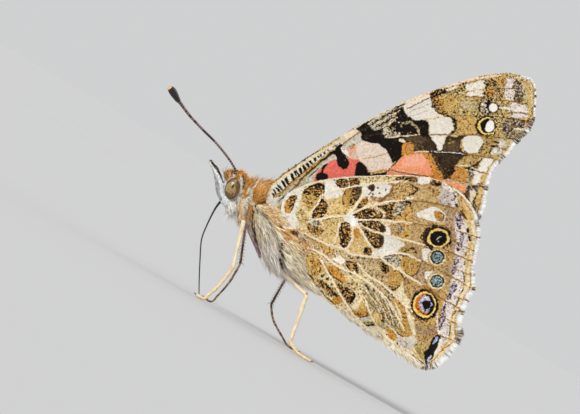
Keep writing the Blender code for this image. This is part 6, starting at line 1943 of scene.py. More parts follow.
def fringe_coat(ring, inset, weight, out_of, random):
    """Long scales round the outer margin, from the membrane's edge to the outline."""
    steps = np.hypot(*(np.roll(ring, -1, 0) - ring).T)
    run = np.concatenate([[0], np.cumsum(steps)])
    stations = np.arange(0, run[-1], FRINGE_STEP)
    stations = np.repeat(stations, 2) + random.uniform(-FRINGE_SHIFT, FRINGE_SHIFT, 2 * len(stations))
    tips, roots = (np.stack([np.interp(stations, run, [*column, column[0]]) for column in loop.T], 1)
                   for loop in (ring, inset))
    keep = weight(*tips.T) > FRINGE_FROM
    tips, roots = tips[keep], roots[keep]
    layer = np.where(np.arange(len(tips)) % 2, 1.0, -1.0)
    away = tips - roots
    roots = roots - away * FRINGE_OVERLAP
    slow, fast = RAGGED_WAVES
    ragged = RAGGED * np.sin(stations[keep] * slow) * np.sin(stations[keep] * fast)
    tips = tips + away * (random.uniform(*FRINGE_SHORT, len(tips)) + ragged)[:, None]
    tips = tips + np.stack([-away[:, 1], away[:, 0]], 1) * random.normal(0, FRINGE_LEAN, (len(tips), 1))
    way = np.column_stack([tips - roots, np.zeros(len(tips))])
    height = out_of(*roots.T) + layer * (MEMBRANE + FRINGE_LAYER)
    normals = facing_of(roots, out_of)
    points, triangles = vanes(
        np.column_stack([roots, height]),
        normals,
        way,
        lengths=np.hypot(*way[:, :2].T),
        widths=np.full(len(tips), FRINGE_WIDTH),
        lifts=random.uniform(0.0, FRINGE_LAYER, len(tips)) * layer,
        blunt=FRINGE_BLUNT,
    )
    colours = painted(tips, FRINGE_MARKS, "fringe_white") * random.uniform(*FRINGE_VARIES, (len(tips), 1))
    return points, triangles, np.repeat(colours, VANE[0], 0), patches(map_place(roots, ring), VANE)


def build_wing(word, corners, out_of, weight, hinge, under, upper, hidden, zones, finish, random):
    """Both wings of a pair: membrane, scales and fringe; under and upper are marks and their ground."""
    ring = outline_of(corners)
    inset = drawn_in(ring, FRINGE * weight(*ring.T))
    points, triangles, colours = membrane(inset, out_of, under, upper)
    coats = {
        "scales": scale_coat(inset, out_of, under, hinge, hidden, zones, random),
        "fringe": fringe_coat(ring, inset, weight, out_of, random),
    }
    for side in SIDES:
        piece = add_mesh(f"{word}_{side}_membrane", *on_side(side, points, triangles), finish, colours)
        place(piece, "wing_scales", f"{word}_{side}")
        for name, (coat_points, coat_triangles, coat_colours, spots) in coats.items():
            shape = on_side(side, coat_points, coat_triangles)
            parted(f"{word}_{side}_{name}", *shape, finish, coat_colours, spots, "wing_scales", VANE)


# Body ----------------------------------------------------------------------------------------

SKIN_VOXEL = 0.085
SKIN_SMOOTHING = 3
COAT_DEPTH = {
    "thorax": 0.32,
    "prothorax": 0.3,
    "abdomen": 0.22,
    "head": 0.16,
    "tegula": 0.12,
    "palp": 0.05,
    "foreleg": 0.06,
}
EYE_RIM_OUT = 1.2  # the eye's dark rim ends there
TEGULA_OUT = 1.2  # the tegula's colours begin there
TEGULA_FRONT = (-1.5, -0.2)  # between these the orange turns paler
TEGULA_PALE = 0.7
SKIN_PAINTED_SHADE = 0.82  # painted shade: the skin is that much darker than the coat over it, as the shade deep in the hair; the palps' skin less so
PALP_PAINTED_SHADE = 0.95
FULL_DEPTH = 0.3  # radius from which a stalk's coat has its whole depth
BODY_LINE = ((-6.2, 4.2), (-4.6, 0.6), (-2.4, 0.0), (0.0, -2.8), (3.4, -6.2), (12.2, -13.2))
BODY_TOP = (0.6, 0.8)  # the way up from that line to the back

# Where the palps are: their coat's depth and first share, half width and hind end
PALP_COAT = 0.3
PALP_STARTS = 0.12
PALP_HALF_WIDTH = 1.15
PALP_BEHIND = -4.1

# The lie of the coat: a place, which way hair there points, its length, width and lift in degrees
LIE = (
    ((-4.7, 2.0, 0.2), (-0.5, 0.9, 0.1), 0.95, 0.055, 40),
    ((-4.5, 2.4, 0.3), (-0.6, 0.8, 0.1), 0.8, 0.055, 44),
    ((-4.1, 2.8, 0.3), (-0.3, 0.9, 0.15), 0.4, 0.05, 34),
    ((-3.3, 3.0, 0.3), (0.5, 0.8, 0.2), 0.34, 0.05, 26),
    ((-2.7, 2.5, 0.5), (0.8, 0.55, 0.2), 0.5, 0.05, 24),
    ((-2.4, 2.1, 0.2), (-0.2, 1.0, 0.1), 0.6, 0.05, 55),
    ((-2.1, 1.9, 0.3), (0.2, 1.0, 0.1), 0.8, 0.05, 58),
    ((-2.3, 1.9, 0.8), (-0.1, 0.9, 0.2), 0.5, 0.05, 40),
    ((-4.3, 1.9, 0.8), (-0.5, 0.85, 0.2), 0.3, 0.045, 24),
    ((-2.85, 2.1, 1.0), (-0.1, 1.0, 0.2), 0.24, 0.055, 16),
    ((-2.8, 1.2, 1.1), (-0.1, 1.0, 0.2), 0.24, 0.055, 16),
    ((-3.3, -0.2, 1.0), (0.2, -1.0, 0.1), 0.5, 0.055, 22),
    ((-4.3, -0.6, 0.4), (0.4, -0.92, 0.0), 0.8, 0.055, 26),
    ((-3.6, -1.2, 0.5), (0.3, -1.0, 0.0), 1.0, 0.055, 24),
    ((-2.0, 2.3, 0.6), (0.6, 0.65, 0.1), 0.62, 0.05, 42),
    ((-0.8, 2.3, 0.4), (0.85, 0.4, 0.1), 0.72, 0.05, 33),
    ((0.4, 1.8, 0.4), (0.95, 0.25, 0.1), 0.9, 0.055, 34),
    ((-2.1, 1.3, 1.5), (0.6, 0.5, 0.2), 0.34, 0.045, 16),
    ((-2.0, 0.0, 1.8), (0.1, -1.0, 0.1), 0.3, 0.045, 12),
    ((-2.7, -1.2, 1.7), (-0.05, -1.0, 0.0), 0.28, 0.045, 8),
    ((-1.0, 0.7, 2.3), (0.5, 0.86, 0.0), 0.5, 0.04, 7),
    ((-0.2, 1.2, 1.9), (0.7, 0.7, 0.0), 0.6, 0.045, 12),
    ((-0.9, -1.4, 2.2), (0.55, -0.83, 0.1), 0.9, 0.062, 18),
    ((-1.0, -3.0, 1.8), (0.3, -0.95, 0.1), 1.1, 0.062, 20),
    ((0.4, -1.4, 2.5), (0.85, -0.5, 0.1), 1.2, 0.062, 18),
    ((0.5, -3.0, 2.5), (0.5, -0.85, 0.1), 1.3, 0.062, 20),
    ((0.0, -4.6, 2.2), (0.35, -0.93, 0.1), 1.4, 0.062, 22),
    ((0.4, -6.2, 1.4), (0.3, -0.95, 0.0), 1.3, 0.062, 26),
    ((1.8, -4.0, 2.6), (0.75, -0.65, 0.15), 1.4, 0.062, 20),
    ((1.6, -6.4, 2.0), (0.4, -0.9, 0.05), 1.6, 0.062, 24),
    ((3.3, -6.4, 1.9), (0.55, -0.83, 0.1), 1.5, 0.062, 22),
    ((1.4, -0.2, 1.0), (0.95, -0.1, 0.2), 1.1, 0.062, 26),
    ((5.0, -7.6, 1.7), (0.65, -0.75, 0.0), 0.8, 0.062, 16),
    ((5.4, -9.6, 0.6), (0.75, -0.65, 0.0), 0.6, 0.055, 14),
    ((9.0, -10.6, 1.2), (0.75, -0.65, 0.0), 0.5, 0.055, 12),
    ((11.2, -12.2, 0.2), (0.75, -0.65, 0.0), 0.5, 0.055, 16),
)
LIE_BLEND = 0.05  # how softly one row's lie goes over into the next
LOCK_TURNS = np.array([(6.1, 3.7, 4.9), (4.3, 7.3, 2.9), (5.7, 2.3, 6.7)])  # of the waves that part locks
LOCK_LEAN = 0.12
STRAY = 0.2  # how far a hair's colour comes from another place than its own
STRAYS_FROM = (-1.2, -0.2)  # colours hardly stray ahead of the first, and fully behind the second
LONG_SHARE = 0.07
LONG_HAIR = 1.5  # times the length of the rest
LONG_LIFT = 1.3

# How hairs differ from one to the next: in their way, and in shares of their length, lift and brightness
WAY_VARIES = 0.1
LENGTH_VARIES = (0.7, 1.25)
LIFT_VARIES = (0.5, 1.5)
FUR_VARIES = (0.82, 1.16)
PALP_VARIES = (0.92, 1.06)

HAIR_PAINTED_LIGHT = (0.74, 0.74, 0.74, 0.98, 0.98, 0.98, 1.14)  # brightness of a tuft's points, from its root to its tip: painted shade at the root, painted light at the tip
HAIR_BEND = 0.3
FUR_BEND = 0.35
FUR_ROOTS = 52000
FEELER_CLEAR = 0.42  # how far from a feeler's root no hair grows
EYE_CLEAR = 0.14

# How thick hair grows: long hair, what short hair adds to it, on the palps, on the head, on the abdomen
LONG_DENSITY = 0.5
SHORT_DENSITY = 0.9
PALP_DENSITY = 4.2
HEAD_DENSITY = 1.8
HEAD_BEHIND = -2.2
ABDOMEN_DENSITY = 0.5
ABDOMEN_FROM = 4.6
PALP_HAIR = 0.26  # length
PALP_LIFT = 10.0  # degrees

# Hair on the wings: how far it reaches from its path, its count, way and lengths, and lifts in degrees
OVER_WING = {
    "reach": (1.8, -0.9),
    "count": 4800,
    "way": (0.9, -0.8),
    "lengths": (0.8, 1.5),
    "lifts": (5, 22),
}
ON_SHOULDER = {
    "reach": (1.4, 0.2),
    "count": 2300,
    "way": (0.9, -0.5),
    "lengths": (0.45, 0.9),
    "lifts": (5, 20),
}
ON_EDGE = {
    "reach": (0.2, 0.3),
    "count": 1500,
    "way": (0.6, -0.8),
    "lengths": (0.5, 1.3),
    "lifts": (-4, 12),
}
OVER_TURNS = 0.2  # how much further down the hair over the wing points, at the end of its path
OVER_NEAR = 1.2  # hair over the wing stays this near its path
OVER_WIDER = 0.4  # than that, away from the path's start
SUNK = 0.1  # how deep the hairs' roots lie under the wing's surface
SHOULDER_SUNK = 0.3  # deeper, at the shoulder's own path
WING_HAIR_WIDTH = 0.075
WING_HAIR_WAY_VARIES = 0.15
WING_HAIR_VARIES = (0.84, 1.2)  # in brightness
WING_HAIR_AHEAD = 0.4  # how far towards its tip a hair's colour is read
WING_HAIR_STRAY = 1.6 * STRAY

# Dark side tufts: hairs in each, how far they spread, their lengths, width and lift
SPOT_HAIRS = 34
SPOT_SPREAD = 0.06
SPOT_LENGTHS = (0.2, 0.34)
SPOT_WIDTH = 0.06
SPOT_LIFT = 0.2
SPOT_OUT = 0.12
SPOT_WAY = (0.3, -0.9, 0.0)
SPOT_WAY_VARIES = 0.3


def shaded(colours):
    """A colour for each point of each tuft, with painted shade at its root and painted light at its tip."""
    return (colours[:, None] * np.array(HAIR_PAINTED_LIGHT)[None, :, None]).reshape(-1, 3)


def lie_at(places):
    """The coat's way, length, width and lift at places on the body, from the nearest rows of LIE."""
    sided = places * np.where(places[:, 2:] < 0, (1, 1, -1), (1, 1, 1))
    spots = np.array([row[0] for row in LIE], float)
    ways = unit(np.array([row[1] for row in LIE], float))
    sizes = np.array([row[2:] for row in LIE], float)
    far = ((sided[:, None] - spots[None]) ** 2).sum(2)
    share = 1 / (far + LIE_BLEND) ** 2
    share /= share.sum(1, keepdims=True)
    way = unit(share @ ways)
    way[:, 2] *= np.where(places[:, 2] < 0, -1, 1)
    return way, *(share @ sizes).T


def body_map(places):
    """OFBake places on the body: along it, and round it from one side to the other."""
    path = ring_through(BODY_LINE, 8, closed=False)
    _, along = line_distance(places[:, :2], path)
    foot = at_shares(path, along)
    above = (places[:, 0] - foot[:, 0]) * BODY_TOP[0] + (places[:, 1] - foot[:, 1]) * BODY_TOP[1]
    round_it = np.arctan2(places[:, 2], above) / (2 * np.pi) + 0.5
    return 0.01 + 0.98 * np.stack([along, round_it], 1)


def in_lump(places, lump, side, grow):
    """Which places lie inside a rounded lump grown by that much."""
    middle, half, lean = lump
    u, v = turned(places[:, 0] - middle[0], places[:, 1] - middle[1], lean)
    w = places[:, 2] - middle[2] * side
    return (u / (half[0] + grow)) ** 2 + (v / (half[1] + grow)) ** 2 + (w / (half[2] + grow)) ** 2 < 1


def along_palps(places):
    """The palps' path, how far places are from it and how far along it they are."""
    path = ring_through([row[:2] for row in PALP], 3, closed=False)
    return path, *line_distance(places[:, :2], path)


def palp_part(places):
    """Which places belong to the palps."""
    _, far, along = along_palps(places)
    reach = np.interp(along, np.linspace(0, 1, len(PALP)), [row[3] for row in PALP])
    near = (far < reach + PALP_COAT) & (along > PALP_STARTS)
    return near & (np.abs(places[:, 2]) < PALP_HALF_WIDTH) & (places[:, 0] < PALP_BEHIND)


def body_colours(places):
    """The body's markings, read across from its side."""
    colours = painted(places[:, :2], BODY_SIDE, "fur_grey", waver=0.04)
    tegula = in_lump(places, TEGULA, 1, 0.02) | in_lump(places, TEGULA, -1, 0.02)
    tegula &= np.abs(places[:, 2]) > TEGULA_OUT
    front = rise(*TEGULA_FRONT, places[tegula, 0] + 0.5 * places[tegula, 1])[:, None]
    dark, light = (tint(places[tegula, :2], paint, 3) for paint in ("fur_orange", "fur_peach"))
    colours[tegula] = dark * (1 - TEGULA_PALE * front) + light * TEGULA_PALE * front
    palps = palp_part(places)
    colours[palps] = painted(places[palps, :2], PALP_SIDE, "palp_white", waver=0.03)
    return colours


def body_solids():
    """Closed shapes that run into each other, drawn in by the depth of the coat."""
    solids = [
        loft(PROTHORAX, COAT_DEPTH["prothorax"]),
        loft(THORAX, COAT_DEPTH["thorax"]),
        loft(ABDOMEN, COAT_DEPTH["abdomen"]),
        ellipsoid(*HEAD, shrink=COAT_DEPTH["head"]),
    ]
    for side in SIDES.values():
        solids.append(ellipsoid(*TEGULA, side, COAT_DEPTH["tegula"]))
        for rows, depth in ((PALP, COAT_DEPTH["palp"]), (FORELEG, COAT_DEPTH["foreleg"])):
            thinned = [(a, b, c * side, r - depth * min(1, r / FULL_DEPTH)) for a, b, c, r in rows]
            solids.append(tube(thinned))
    return solids


def build_skin(finish):
    """One skin over the head, palps, thorax, abdomen, tegulae and folded forelegs."""
    points, triangles = fused("skin", body_solids(), SKIN_VOXEL, SKIN_SMOOTHING)
    # The skin's colours carry painted shade, darker than the coat over it
    shade = np.where(palp_part(points), PALP_PAINTED_SHADE, SKIN_PAINTED_SHADE)[:, None]
    piece = add_mesh("body_skin", points, triangles, finish, body_colours(points) * shade)
    names = ["head", "prothorax", "thorax", "abdomen"]
    names += [f"{part}_{side}" for part in ("tegula", "palp", "foreleg") for side in SIDES]
    place(piece, "fur", *names)
    return points, triangles


def fur_density(places):
    """How thick the coat grows: thicker where it is short, on the palps and on the head."""
    _, length, _, _ = lie_at(places)
    hair = LONG_DENSITY + SHORT_DENSITY * rise(1.0, 0.3, length)
    hair = np.where(palp_part(places), PALP_DENSITY, hair)
    hair = np.where(places[:, 0] < HEAD_BEHIND, hair * HEAD_DENSITY, hair)
    return np.where(places[:, 0] > ABDOMEN_FROM, hair * ABDOMEN_DENSITY, hair)


def fur_roots(points, triangles, random):
    """Roots of the coat's hairs, none on the eyes or close to the feelers, and the directions they face."""
    roots, normals = sown(points, triangles, fur_density, FUR_ROOTS, random)
    feeler_root = np.array(ANTENNA[1][:3])
    for side in SIDES.values():
        from_feeler = np.linalg.norm(roots - feeler_root * (1, 1, side), axis=1)
        keep = ~in_lump(roots, EYE, side, EYE_CLEAR) & (from_feeler > FEELER_CLEAR)
        roots, normals = roots[keep], normals[keep]
    return roots, normals


def build_fur(points, triangles, finish, random):
    """The coat: hair on the thorax and head, short scales on the palps and abdomen."""
    roots, normals = fur_roots(points, triangles, random)
    ways, lengths, widths, lifts = lie_at(roots)
    palps = palp_part(roots)
    path, _, along = along_palps(roots)
    slope = at_shares(np.gradient(path, axis=0), along)
    ways[palps] = unit(np.column_stack([slope, np.zeros(len(slope))]))[palps]
    lengths = np.where(palps, PALP_HAIR, lengths)
    lifts = np.where(palps, PALP_LIFT, lifts)
    locks = np.sin(roots @ LOCK_TURNS)
    count = len(roots)
    ways = unit(ways + LOCK_LEAN * locks + random.normal(0, WAY_VARIES, ways.shape))
    long = random.random(count) < LONG_SHARE
    lengths = lengths * random.uniform(*LENGTH_VARIES, count) * np.where(long & ~palps, LONG_HAIR, 1.0)
    lifts = np.radians(lifts * random.uniform(*LIFT_VARIES, count) * np.where(long, LONG_LIFT, 1.0))
    stray = STRAY * (0.1 + 0.9 * rise(*STRAYS_FROM, roots[:, 0]))
    strays = np.column_stack([random.normal(0, 1, (count, 2)) * stray[:, None], np.zeros(count)])
    colours = body_colours(roots + strays * ~palps[:, None]) * random.uniform(*FUR_VARIES, (count, 1))
    colours[palps] = body_colours(roots[palps]) * random.uniform(*PALP_VARIES, (palps.sum(), 1))
    spots = patches(body_map(roots), TUFT)
    for name, chosen in (("fur", ~palps), ("palp_fur", palps)):
        hairs = (values[chosen] for values in (roots, normals, ways, lengths, widths, lifts))
        made, faces = tufts(*hairs, FUR_BEND)
        own_spots = spots[np.repeat(chosen, TUFT[0])]
        parted(name, made, faces, finish, shaded(colours[chosen]), own_spots, name, TUFT)


def strewn(path, reach, count, random):
    """Places along a path, strewn up to reach from it, and how far along each one is."""
    at = random.random(count)
    places = at_shares(ring_through(path, 8, closed=False), at)
    return places + random.random((count, 1)) * reach, at


def build_wing_hair(finish, random):
    """Hair from the thorax over the hindwings' roots, and long hair along their inner edges."""
    over, at = strewn(WING_ROOT, OVER_WING["reach"], OVER_WING["count"], random)
    keep = off_path(over, WING_ROOT) < OVER_NEAR + OVER_WIDER * rise(0.0, 0.4, at)
    over, at = over[keep], at[keep]
    shoulder, _ = strewn(SHOULDER, ON_SHOULDER["reach"], ON_SHOULDER["count"], random)
    edge, _ = strewn(INNER_EDGE, ON_EDGE["reach"], ON_EDGE["count"], random)
    places = np.concatenate([over, shoulder, edge])
    kinds = ((len(over), OVER_WING), (len(shoulder), ON_SHOULDER), (len(edge), ON_EDGE))
    ways = np.concatenate([np.tile((*kind["way"], 0.0), (count, 1)) for count, kind in kinds])
    ways[:len(over), 1] -= OVER_TURNS * at
    lengths, lifts = (np.concatenate([random.uniform(*kind[measure], count) for count, kind in kinds])
                      for measure in ("lengths", "lifts"))
    ways = ways + random.normal(0, WING_HAIR_WAY_VARIES, ways.shape)
    shoulder_sunk = SUNK + SHOULDER_SUNK * rise(0.9, 0.0, off_path(shoulder, SHOULDER))
    sunk = np.concatenate([np.full(len(over), SUNK), shoulder_sunk, np.zeros(len(edge))])
    roots = np.column_stack([places, hindwing_out(*places.T) + MEMBRANE - sunk])
    normals = facing_of(places, hindwing_out)
    widths = np.full(len(roots), WING_HAIR_WIDTH)
    points, faces = tufts(roots, normals, ways, lengths, widths, np.radians(lifts), HAIR_BEND)
    strays = unit(ways)[:, :2] * WING_HAIR_AHEAD + random.normal(0, WING_HAIR_STRAY, places.shape)
    colours = painted(places + strays, WING_HAIR, "fur_pale")
    colours = shaded(colours * random.uniform(*WING_HAIR_VARIES, (len(roots), 1)))
    spots = patches(map_place(places, np.array(HINDWING)), TUFT)
    for side in SIDES:
        parted(f"wing_hair_{side}", *on_side(side, points, faces), finish, colours, spots, "fur", TUFT)


def build_side_spots(finish, random):
    """Short dark tufts that stand out of the thorax's hair in a row."""
    middles = np.repeat(np.array(SIDE_SPOTS), SPOT_HAIRS, 0)
    places = middles + random.normal(0, SPOT_SPREAD, middles.shape)
    out = np.maximum(hindwing_out(*places.T), body_out(*places.T)) + SPOT_OUT
    roots = np.column_stack([places, out])
    count = len(roots)
    ways = np.tile(SPOT_WAY, (count, 1)) + random.normal(0, SPOT_WAY_VARIES, (count, 3))
    normals = np.tile((0.0, 0.0, 1.0), (count, 1))
    lengths = random.uniform(*SPOT_LENGTHS, count)
    widths, lifts = np.full(count, SPOT_WIDTH), np.full(count, SPOT_LIFT)
    points, faces = tufts(roots, normals, ways, lengths, widths, lifts, HAIR_BEND)
    colours = shaded(tint(places, "fur_black", 8))
    spots = patches(body_map(roots), TUFT)
    for side in SIDES:
        parted(f"side_spots_{side}", *on_side(side, points, faces), finish, colours, spots, "fur", TUFT)


def build_eyes(finish):
    """Bulging oval eyes, rimmed dark where they meet the head."""
    for word, side in SIDES.items():
        points, triangles = ellipsoid(*EYE, side, rings=48)
        colours = painted(points[:, :2], EYE_SIDE, "eye_olive", waver=0.01)
        edge = np.abs(points[:, 2]) < EYE_RIM_OUT
        colours[edge] = tint(points[edge, :2], "eye_rim", 5)
        place(add_mesh(f"eye_{word}_lens", points, triangles, finish, colours), "eye", f"eye_{word}")


# Feelers, proboscis and legs -----------------------------------------------------------------

SHAFT_THIN = 0.2  # radius up to which a feeler is a ringed shaft
SHAFT_THICK = 0.3  # radius from which it is a smooth club
SEGMENT = 0.28  # length of a feeler's ring
PALE_PART = 0.36  # of each ring
RING_SWELL = 0.1  # of its radius
CLUB_TIP = 0.975  # share of the feeler where its pale tip starts
FEELER_SIDES = 12

HALF_TUBE_OUT = 0.45  # of its radius, from the proboscis's middle
TUBE_RINGS = (0.06, 2.1)  # how high the proboscis's rings are, and how fast they follow each other

FEMUR_RADII = (0.27, 0.2)
FEMUR_SWELL = {0: 1.0, 0.25: 1.12, 0.5: 1.1, 0.75: 1.02, 1: 0.92}  # at shares of its length
TIBIA_RADII = (0.22, 0.18)
TIBIA_SWELL = {0: 0.8, 0.04: 1.05, 0.3: 0.96, 0.7: 0.92, 0.96: 1.08, 1: 0.9}
HIP_DEPTH = 0.12  # of the femur's length, further into the body
# What some legs are thinner by: above the knee and below it
SLENDER = {"midleg_left": (0.6, 1.0), "midleg_right": (0.7, 0.72), "hindleg_right": (0.8, 0.72)}
TARSUS_RADIUS = 0.17
TARSUS_TAPER = (1.08, 0.9)
FOOT_SWELL = (0.84, 0.24)  # a foot joint's radius at its start, and how much it widens, as shares
FOOT_JOINTS = 5
JOINT_ROWS = 6
SPINE_PAIRS = 12
SPINES_FROM, SPINES_TO = 0.15, 0.97  # of the tibia
SPINE_LENGTH = 0.26
SPUR_LONGER = 0.2  # than a spine, where the tibia ends
SPUR_FROM = 0.9  # of the tibia
SPINE_RADIUS = 0.028
SPINE_WAY = (0.8, 0.6)  # down the tibia and out from it
SPINE_WAY_VARIES = 0.1
SPINE_OUT = 0.16  # from the tibia's middle to a spine's root
FOOT_SPINE_LENGTH = 0.15
FOOT_SPINE_RADIUS = 0.02
FOOT_SPINE_OUT = 0.1
PALE_FROM = -0.03  # a leg is pale from there outwards


def build_feelers(finish):
    """Ringed shafts with dark clubs, paler at their tips."""
    for word, side in SIDES.items():
        reach = 1 if side > 0 else RIGHT_ANTENNA_REACH
        base_a, base_b = ANTENNA[0][:2]
        rows = [(base_a + (a - base_a) * reach, base_b + (b - base_b) * reach, c * side, radius)
                for a, b, c, radius in ANTENNA]
        rows = ring_through(rows, 16, closed=False)
        segment = runs_along(rows[:, :3]) / SEGMENT % 1.0
        shaft = rise(SHAFT_THICK, SHAFT_THIN, rows[:, 3])
        rows[:, 3] *= 1 + RING_SWELL * shaft * np.sin(np.pi * segment)
        points, triangles = tube(rows, FEELER_SIDES, 0)
        ring = np.append(np.repeat(np.arange(len(rows)), FEELER_SIDES), (0, len(rows) - 1))
        colours = tint(points[:, :2], "antenna_dark", 3)
        for where, paint, seed in (
            ((segment[ring] < PALE_PART) & (shaft[ring] > 0.5), "antenna_ring", 4),
            (rows[ring, 3] > SHAFT_THIN, "club_black", 3),
            (ring / len(rows) > CLUB_TIP, "club_tip", 3),
        ):
            colours[where] = tint(points[where, :2], paint, seed)
        piece = add_mesh(f"feeler_{word}", points, triangles, finish, colours)
        place(piece, "dark_cuticle", f"antenna_{word}")


def build_proboscis(finish):
    """Two half tubes side by side, with fine rings."""
    parts = []
    for side in SIDES.values():
        rows = [(a, b, c + side * radius * HALF_TUBE_OUT, radius) for a, b, c, radius in PROBOSCIS]
        rows = ring_through(rows, 24, closed=False)
        rows[:, 3] *= 1 + TUBE_RINGS[0] * np.sin(np.arange(len(rows)) * TUBE_RINGS[1])
        parts.append(tube(rows, 10, 0))
    points, triangles = joined(parts)
    colours = tint(points[:, :2], "mouth_dark", 3)
    place(add_mesh("proboscis_tubes", points, triangles, finish, colours), "dark_cuticle", "proboscis")


def leg_colours(points, sides, side, outer):
    """The outer paint on the side away from the body, and dark brown on the side that faces it: partly the
    leg's own brown, partly painted shade.
    """
    rings = points[:-2, 2].reshape(-1, sides)
    middle = np.concatenate([np.repeat(rings.mean(1), sides), points[-2:, 2]])
    keys = points[:, :2] + points[:, 2:]
    away = (points[:, 2] - middle) * side > PALE_FROM
    return np.where(away[:, None], tint(keys, outer, 9), tint(keys, "leg_dark", 9))


def bone(start, stop, radii, swell, thin):
    """Rows of a leg's part that tapers between two radii and swells at shares of its length."""
    first, last = radii
    return [(*(start + (stop - start) * t), (first + (last - first) * t) * wider * thin)
            for t, wider in swell.items()]


def knee_cap(knee, thin):
    """Rows of the small cap over the knee."""
    return [
        (*(knee + (0, 0.1, 0) - (0.12, 0, 0)), 0.12),
        (*(knee + (0, 0.12, 0)), 0.21 * thin),
        (*(knee + (0.12, 0.08, 0)), 0.14),
    ]


def claw(start, ahead, out):
    """Rows of one of the two curved claws."""
    return [
        (*start, 0.05),
        (*(start + ahead * 0.16 + (0, 0.04, 0.05 * out)), 0.04),
        (*(start + ahead * 0.3 + (0, -0.02, 0.07 * out)), 0.01),
    ]


def spine(root, way, length, radius):
    """One thin spine."""
    tip = root + way * length
    rows = [(*root, radius), (*(root + (tip - root) * 0.5), radius * 0.7), (*tip, radius * 0.15)]
    return tube(rows, 5, 0)


def shin_spines(knee, shin, random):
    """Pairs of spines down the tibia, with longer spurs at its end."""
    across = unit(np.cross(shin, (0.1, 0.0, 1.0)))
    for t in np.linspace(SPINES_FROM, SPINES_TO, SPINE_PAIRS):
        for out in (-1, 1):
            root = knee + shin * t + across * out * SPINE_OUT
            way = unit(shin) * SPINE_WAY[0] + across * out * SPINE_WAY[1]
            way = unit(way + random.normal(0, SPINE_WAY_VARIES, 3))
            yield spine(root, way, SPINE_LENGTH + SPUR_LONGER * (t > SPUR_FROM), SPINE_RADIUS)


def foot_spines(path):
    """Pairs of short spines along the sole."""
    for station in range(JOINT_ROWS, len(path) - 1, JOINT_ROWS // 2):
        along = unit(path[station + 1] - path[station - 1])
        out = unit(np.cross(along, (math.sin(SLOPE), math.cos(SLOPE), 0.0)))
        for turn in (-1, 1):
            root = path[station] + out * turn * FOOT_SPINE_OUT
            yield spine(root, unit(along + out * turn), FOOT_SPINE_LENGTH, FOOT_SPINE_RADIUS)


def build_leg(name, hip, knee, ankle, foot, finish, random):
    """Femur, tibia with spines, jointed tarsus and claws."""
    hip, knee, ankle = (np.array(p, float) for p in (hip, knee, ankle))
    sole = [np.array((a, b_at_height(a, height), c)) for a, height, c in foot]
    side = SIDES[name.split("_")[1]]
    thin, thin_below = SLENDER.get(name, (1.0, 1.0))
    hip = hip + (hip - knee) * HIP_DEPTH
    parts, paints = [], []

    def grow(rows, paint, sides=14, steps=4):
        shape = tube(rows, sides, steps)
        parts.append(shape)
        paints.append(leg_colours(shape[0], sides, side, paint))

    def grow_spines(spines, paint):
        for points, triangles in spines:
            parts.append((points, triangles))
            paints.append(tint(points[:, :2], paint, 2))

    grow(bone(hip, knee, FEMUR_RADII, FEMUR_SWELL, thin), "leg_mauve" if "mid" in name else "leg_cream")
    grow(bone(knee, ankle, TIBIA_RADII, TIBIA_SWELL, thin_below), "leg_cream")
    grow(knee_cap(knee, thin_below), "leg_orange")
    path = ring_through([ankle, *sole], 8, closed=False)
    runs = runs_along(path)
    stations = np.linspace(0, runs[-1], FOOT_JOINTS * JOINT_ROWS + 1)
    foot_path = np.stack([np.interp(stations, runs, column) for column in path.T], 1)
    phase = np.arange(len(foot_path)) % JOINT_ROWS / JOINT_ROWS
    swell = FOOT_SWELL[0] + FOOT_SWELL[1] * phase
    radii = TARSUS_RADIUS * thin_below * swell * np.linspace(*TARSUS_TAPER, len(foot_path))
    grow(np.column_stack([foot_path, radii]), "leg_ochre", steps=0)
    ahead = unit(path[-1] - path[-4])
    for out in (-1, 1):
        grow(claw(path[-1] + (0, 0.02, 0.05 * out), ahead, out), "mouth_dark", 6)
    # The right legs' shin spines are dark brown all round: painted shade of the side away from the key lamp
    grow_spines(shin_spines(knee, ankle - knee, random), "leg_ochre" if side > 0 else "leg_dark")
    grow_spines(foot_spines(foot_path), "leg_dark")
    points, triangles = joined(parts)
    piece = add_mesh(f"{name}_limb", points, triangles, finish, np.concatenate(paints))
    place(piece, "cuticle", *(f"{name}_{part}" for part in ("femur", "tibia", "tarsus")))


# Studio --------------------------------------------------------------------------------------

VIEW_MIDDLE = (2.0, -0.7)  # of the photo's frame, on the plate
VIEW_WIDTH = 58.0  # of the frame, in millimetres at the insect
VIEW_DISTANCE = 600.0
SENSOR = 36.0
FLOOR_REACH = 30.0  # metres
FLOOR_CORNERS = 64
FLOOR_COLOUR = (0.541, 0.544, 0.554)
FLOOR_MOTTLE = 0.985  # brightness of its darker spots
AIR_COLOUR = (0.985, 0.99, 1.0)
AIR_STRENGTH = 0.64

# Lamps: the side they shine from, strength, softness in degrees, colour
LAMPS = {
    "key": ((-0.45, -0.8, 0.62), 2.3, 30, (1.0, 0.985, 0.95)),
    "back": ((0.5, 0.55, 0.7), 0.5, 50, (1.0, 1.0, 1.0)),
}


def build_camera():
    """Square to the insect's side, rolled as far as the stance turned it."""
    camera = bpy.data.cameras.new("camera")
    camera.sensor_width = SENSOR
    camera.lens = SENSOR * VIEW_DISTANCE / VIEW_WIDTH
    camera.clip_start = 0.01
    camera.clip_end = 20.0
    holder = set_out("camera", camera)
    aim = to_world([(*VIEW_MIDDLE, 0.0)])[0]
    right = Vector((math.cos(SLOPE), 0, math.sin(SLOPE)))
    up = Vector((-math.sin(SLOPE), 0, math.cos(SLOPE)))
    back = right.cross(up)
    turn = Matrix((right, up, back)).transposed().to_4x4()
    holder.matrix_world = Matrix.Translation(Vector(aim) + back * VIEW_DISTANCE * MM) @ turn
    bpy.context.scene.camera = holder


def add_sun(name, towards, strength, softness, colour):
    """Soft light that falls from far away, from the side that towards points to."""
    lamp = bpy.data.lights.new(name, "SUN")
    lamp.energy = strength
    lamp.angle = math.radians(softness)
    lamp.color = colour
    set_out(name, lamp).rotation_euler = Vector(towards).to_track_quat("Z", "Y").to_euler()


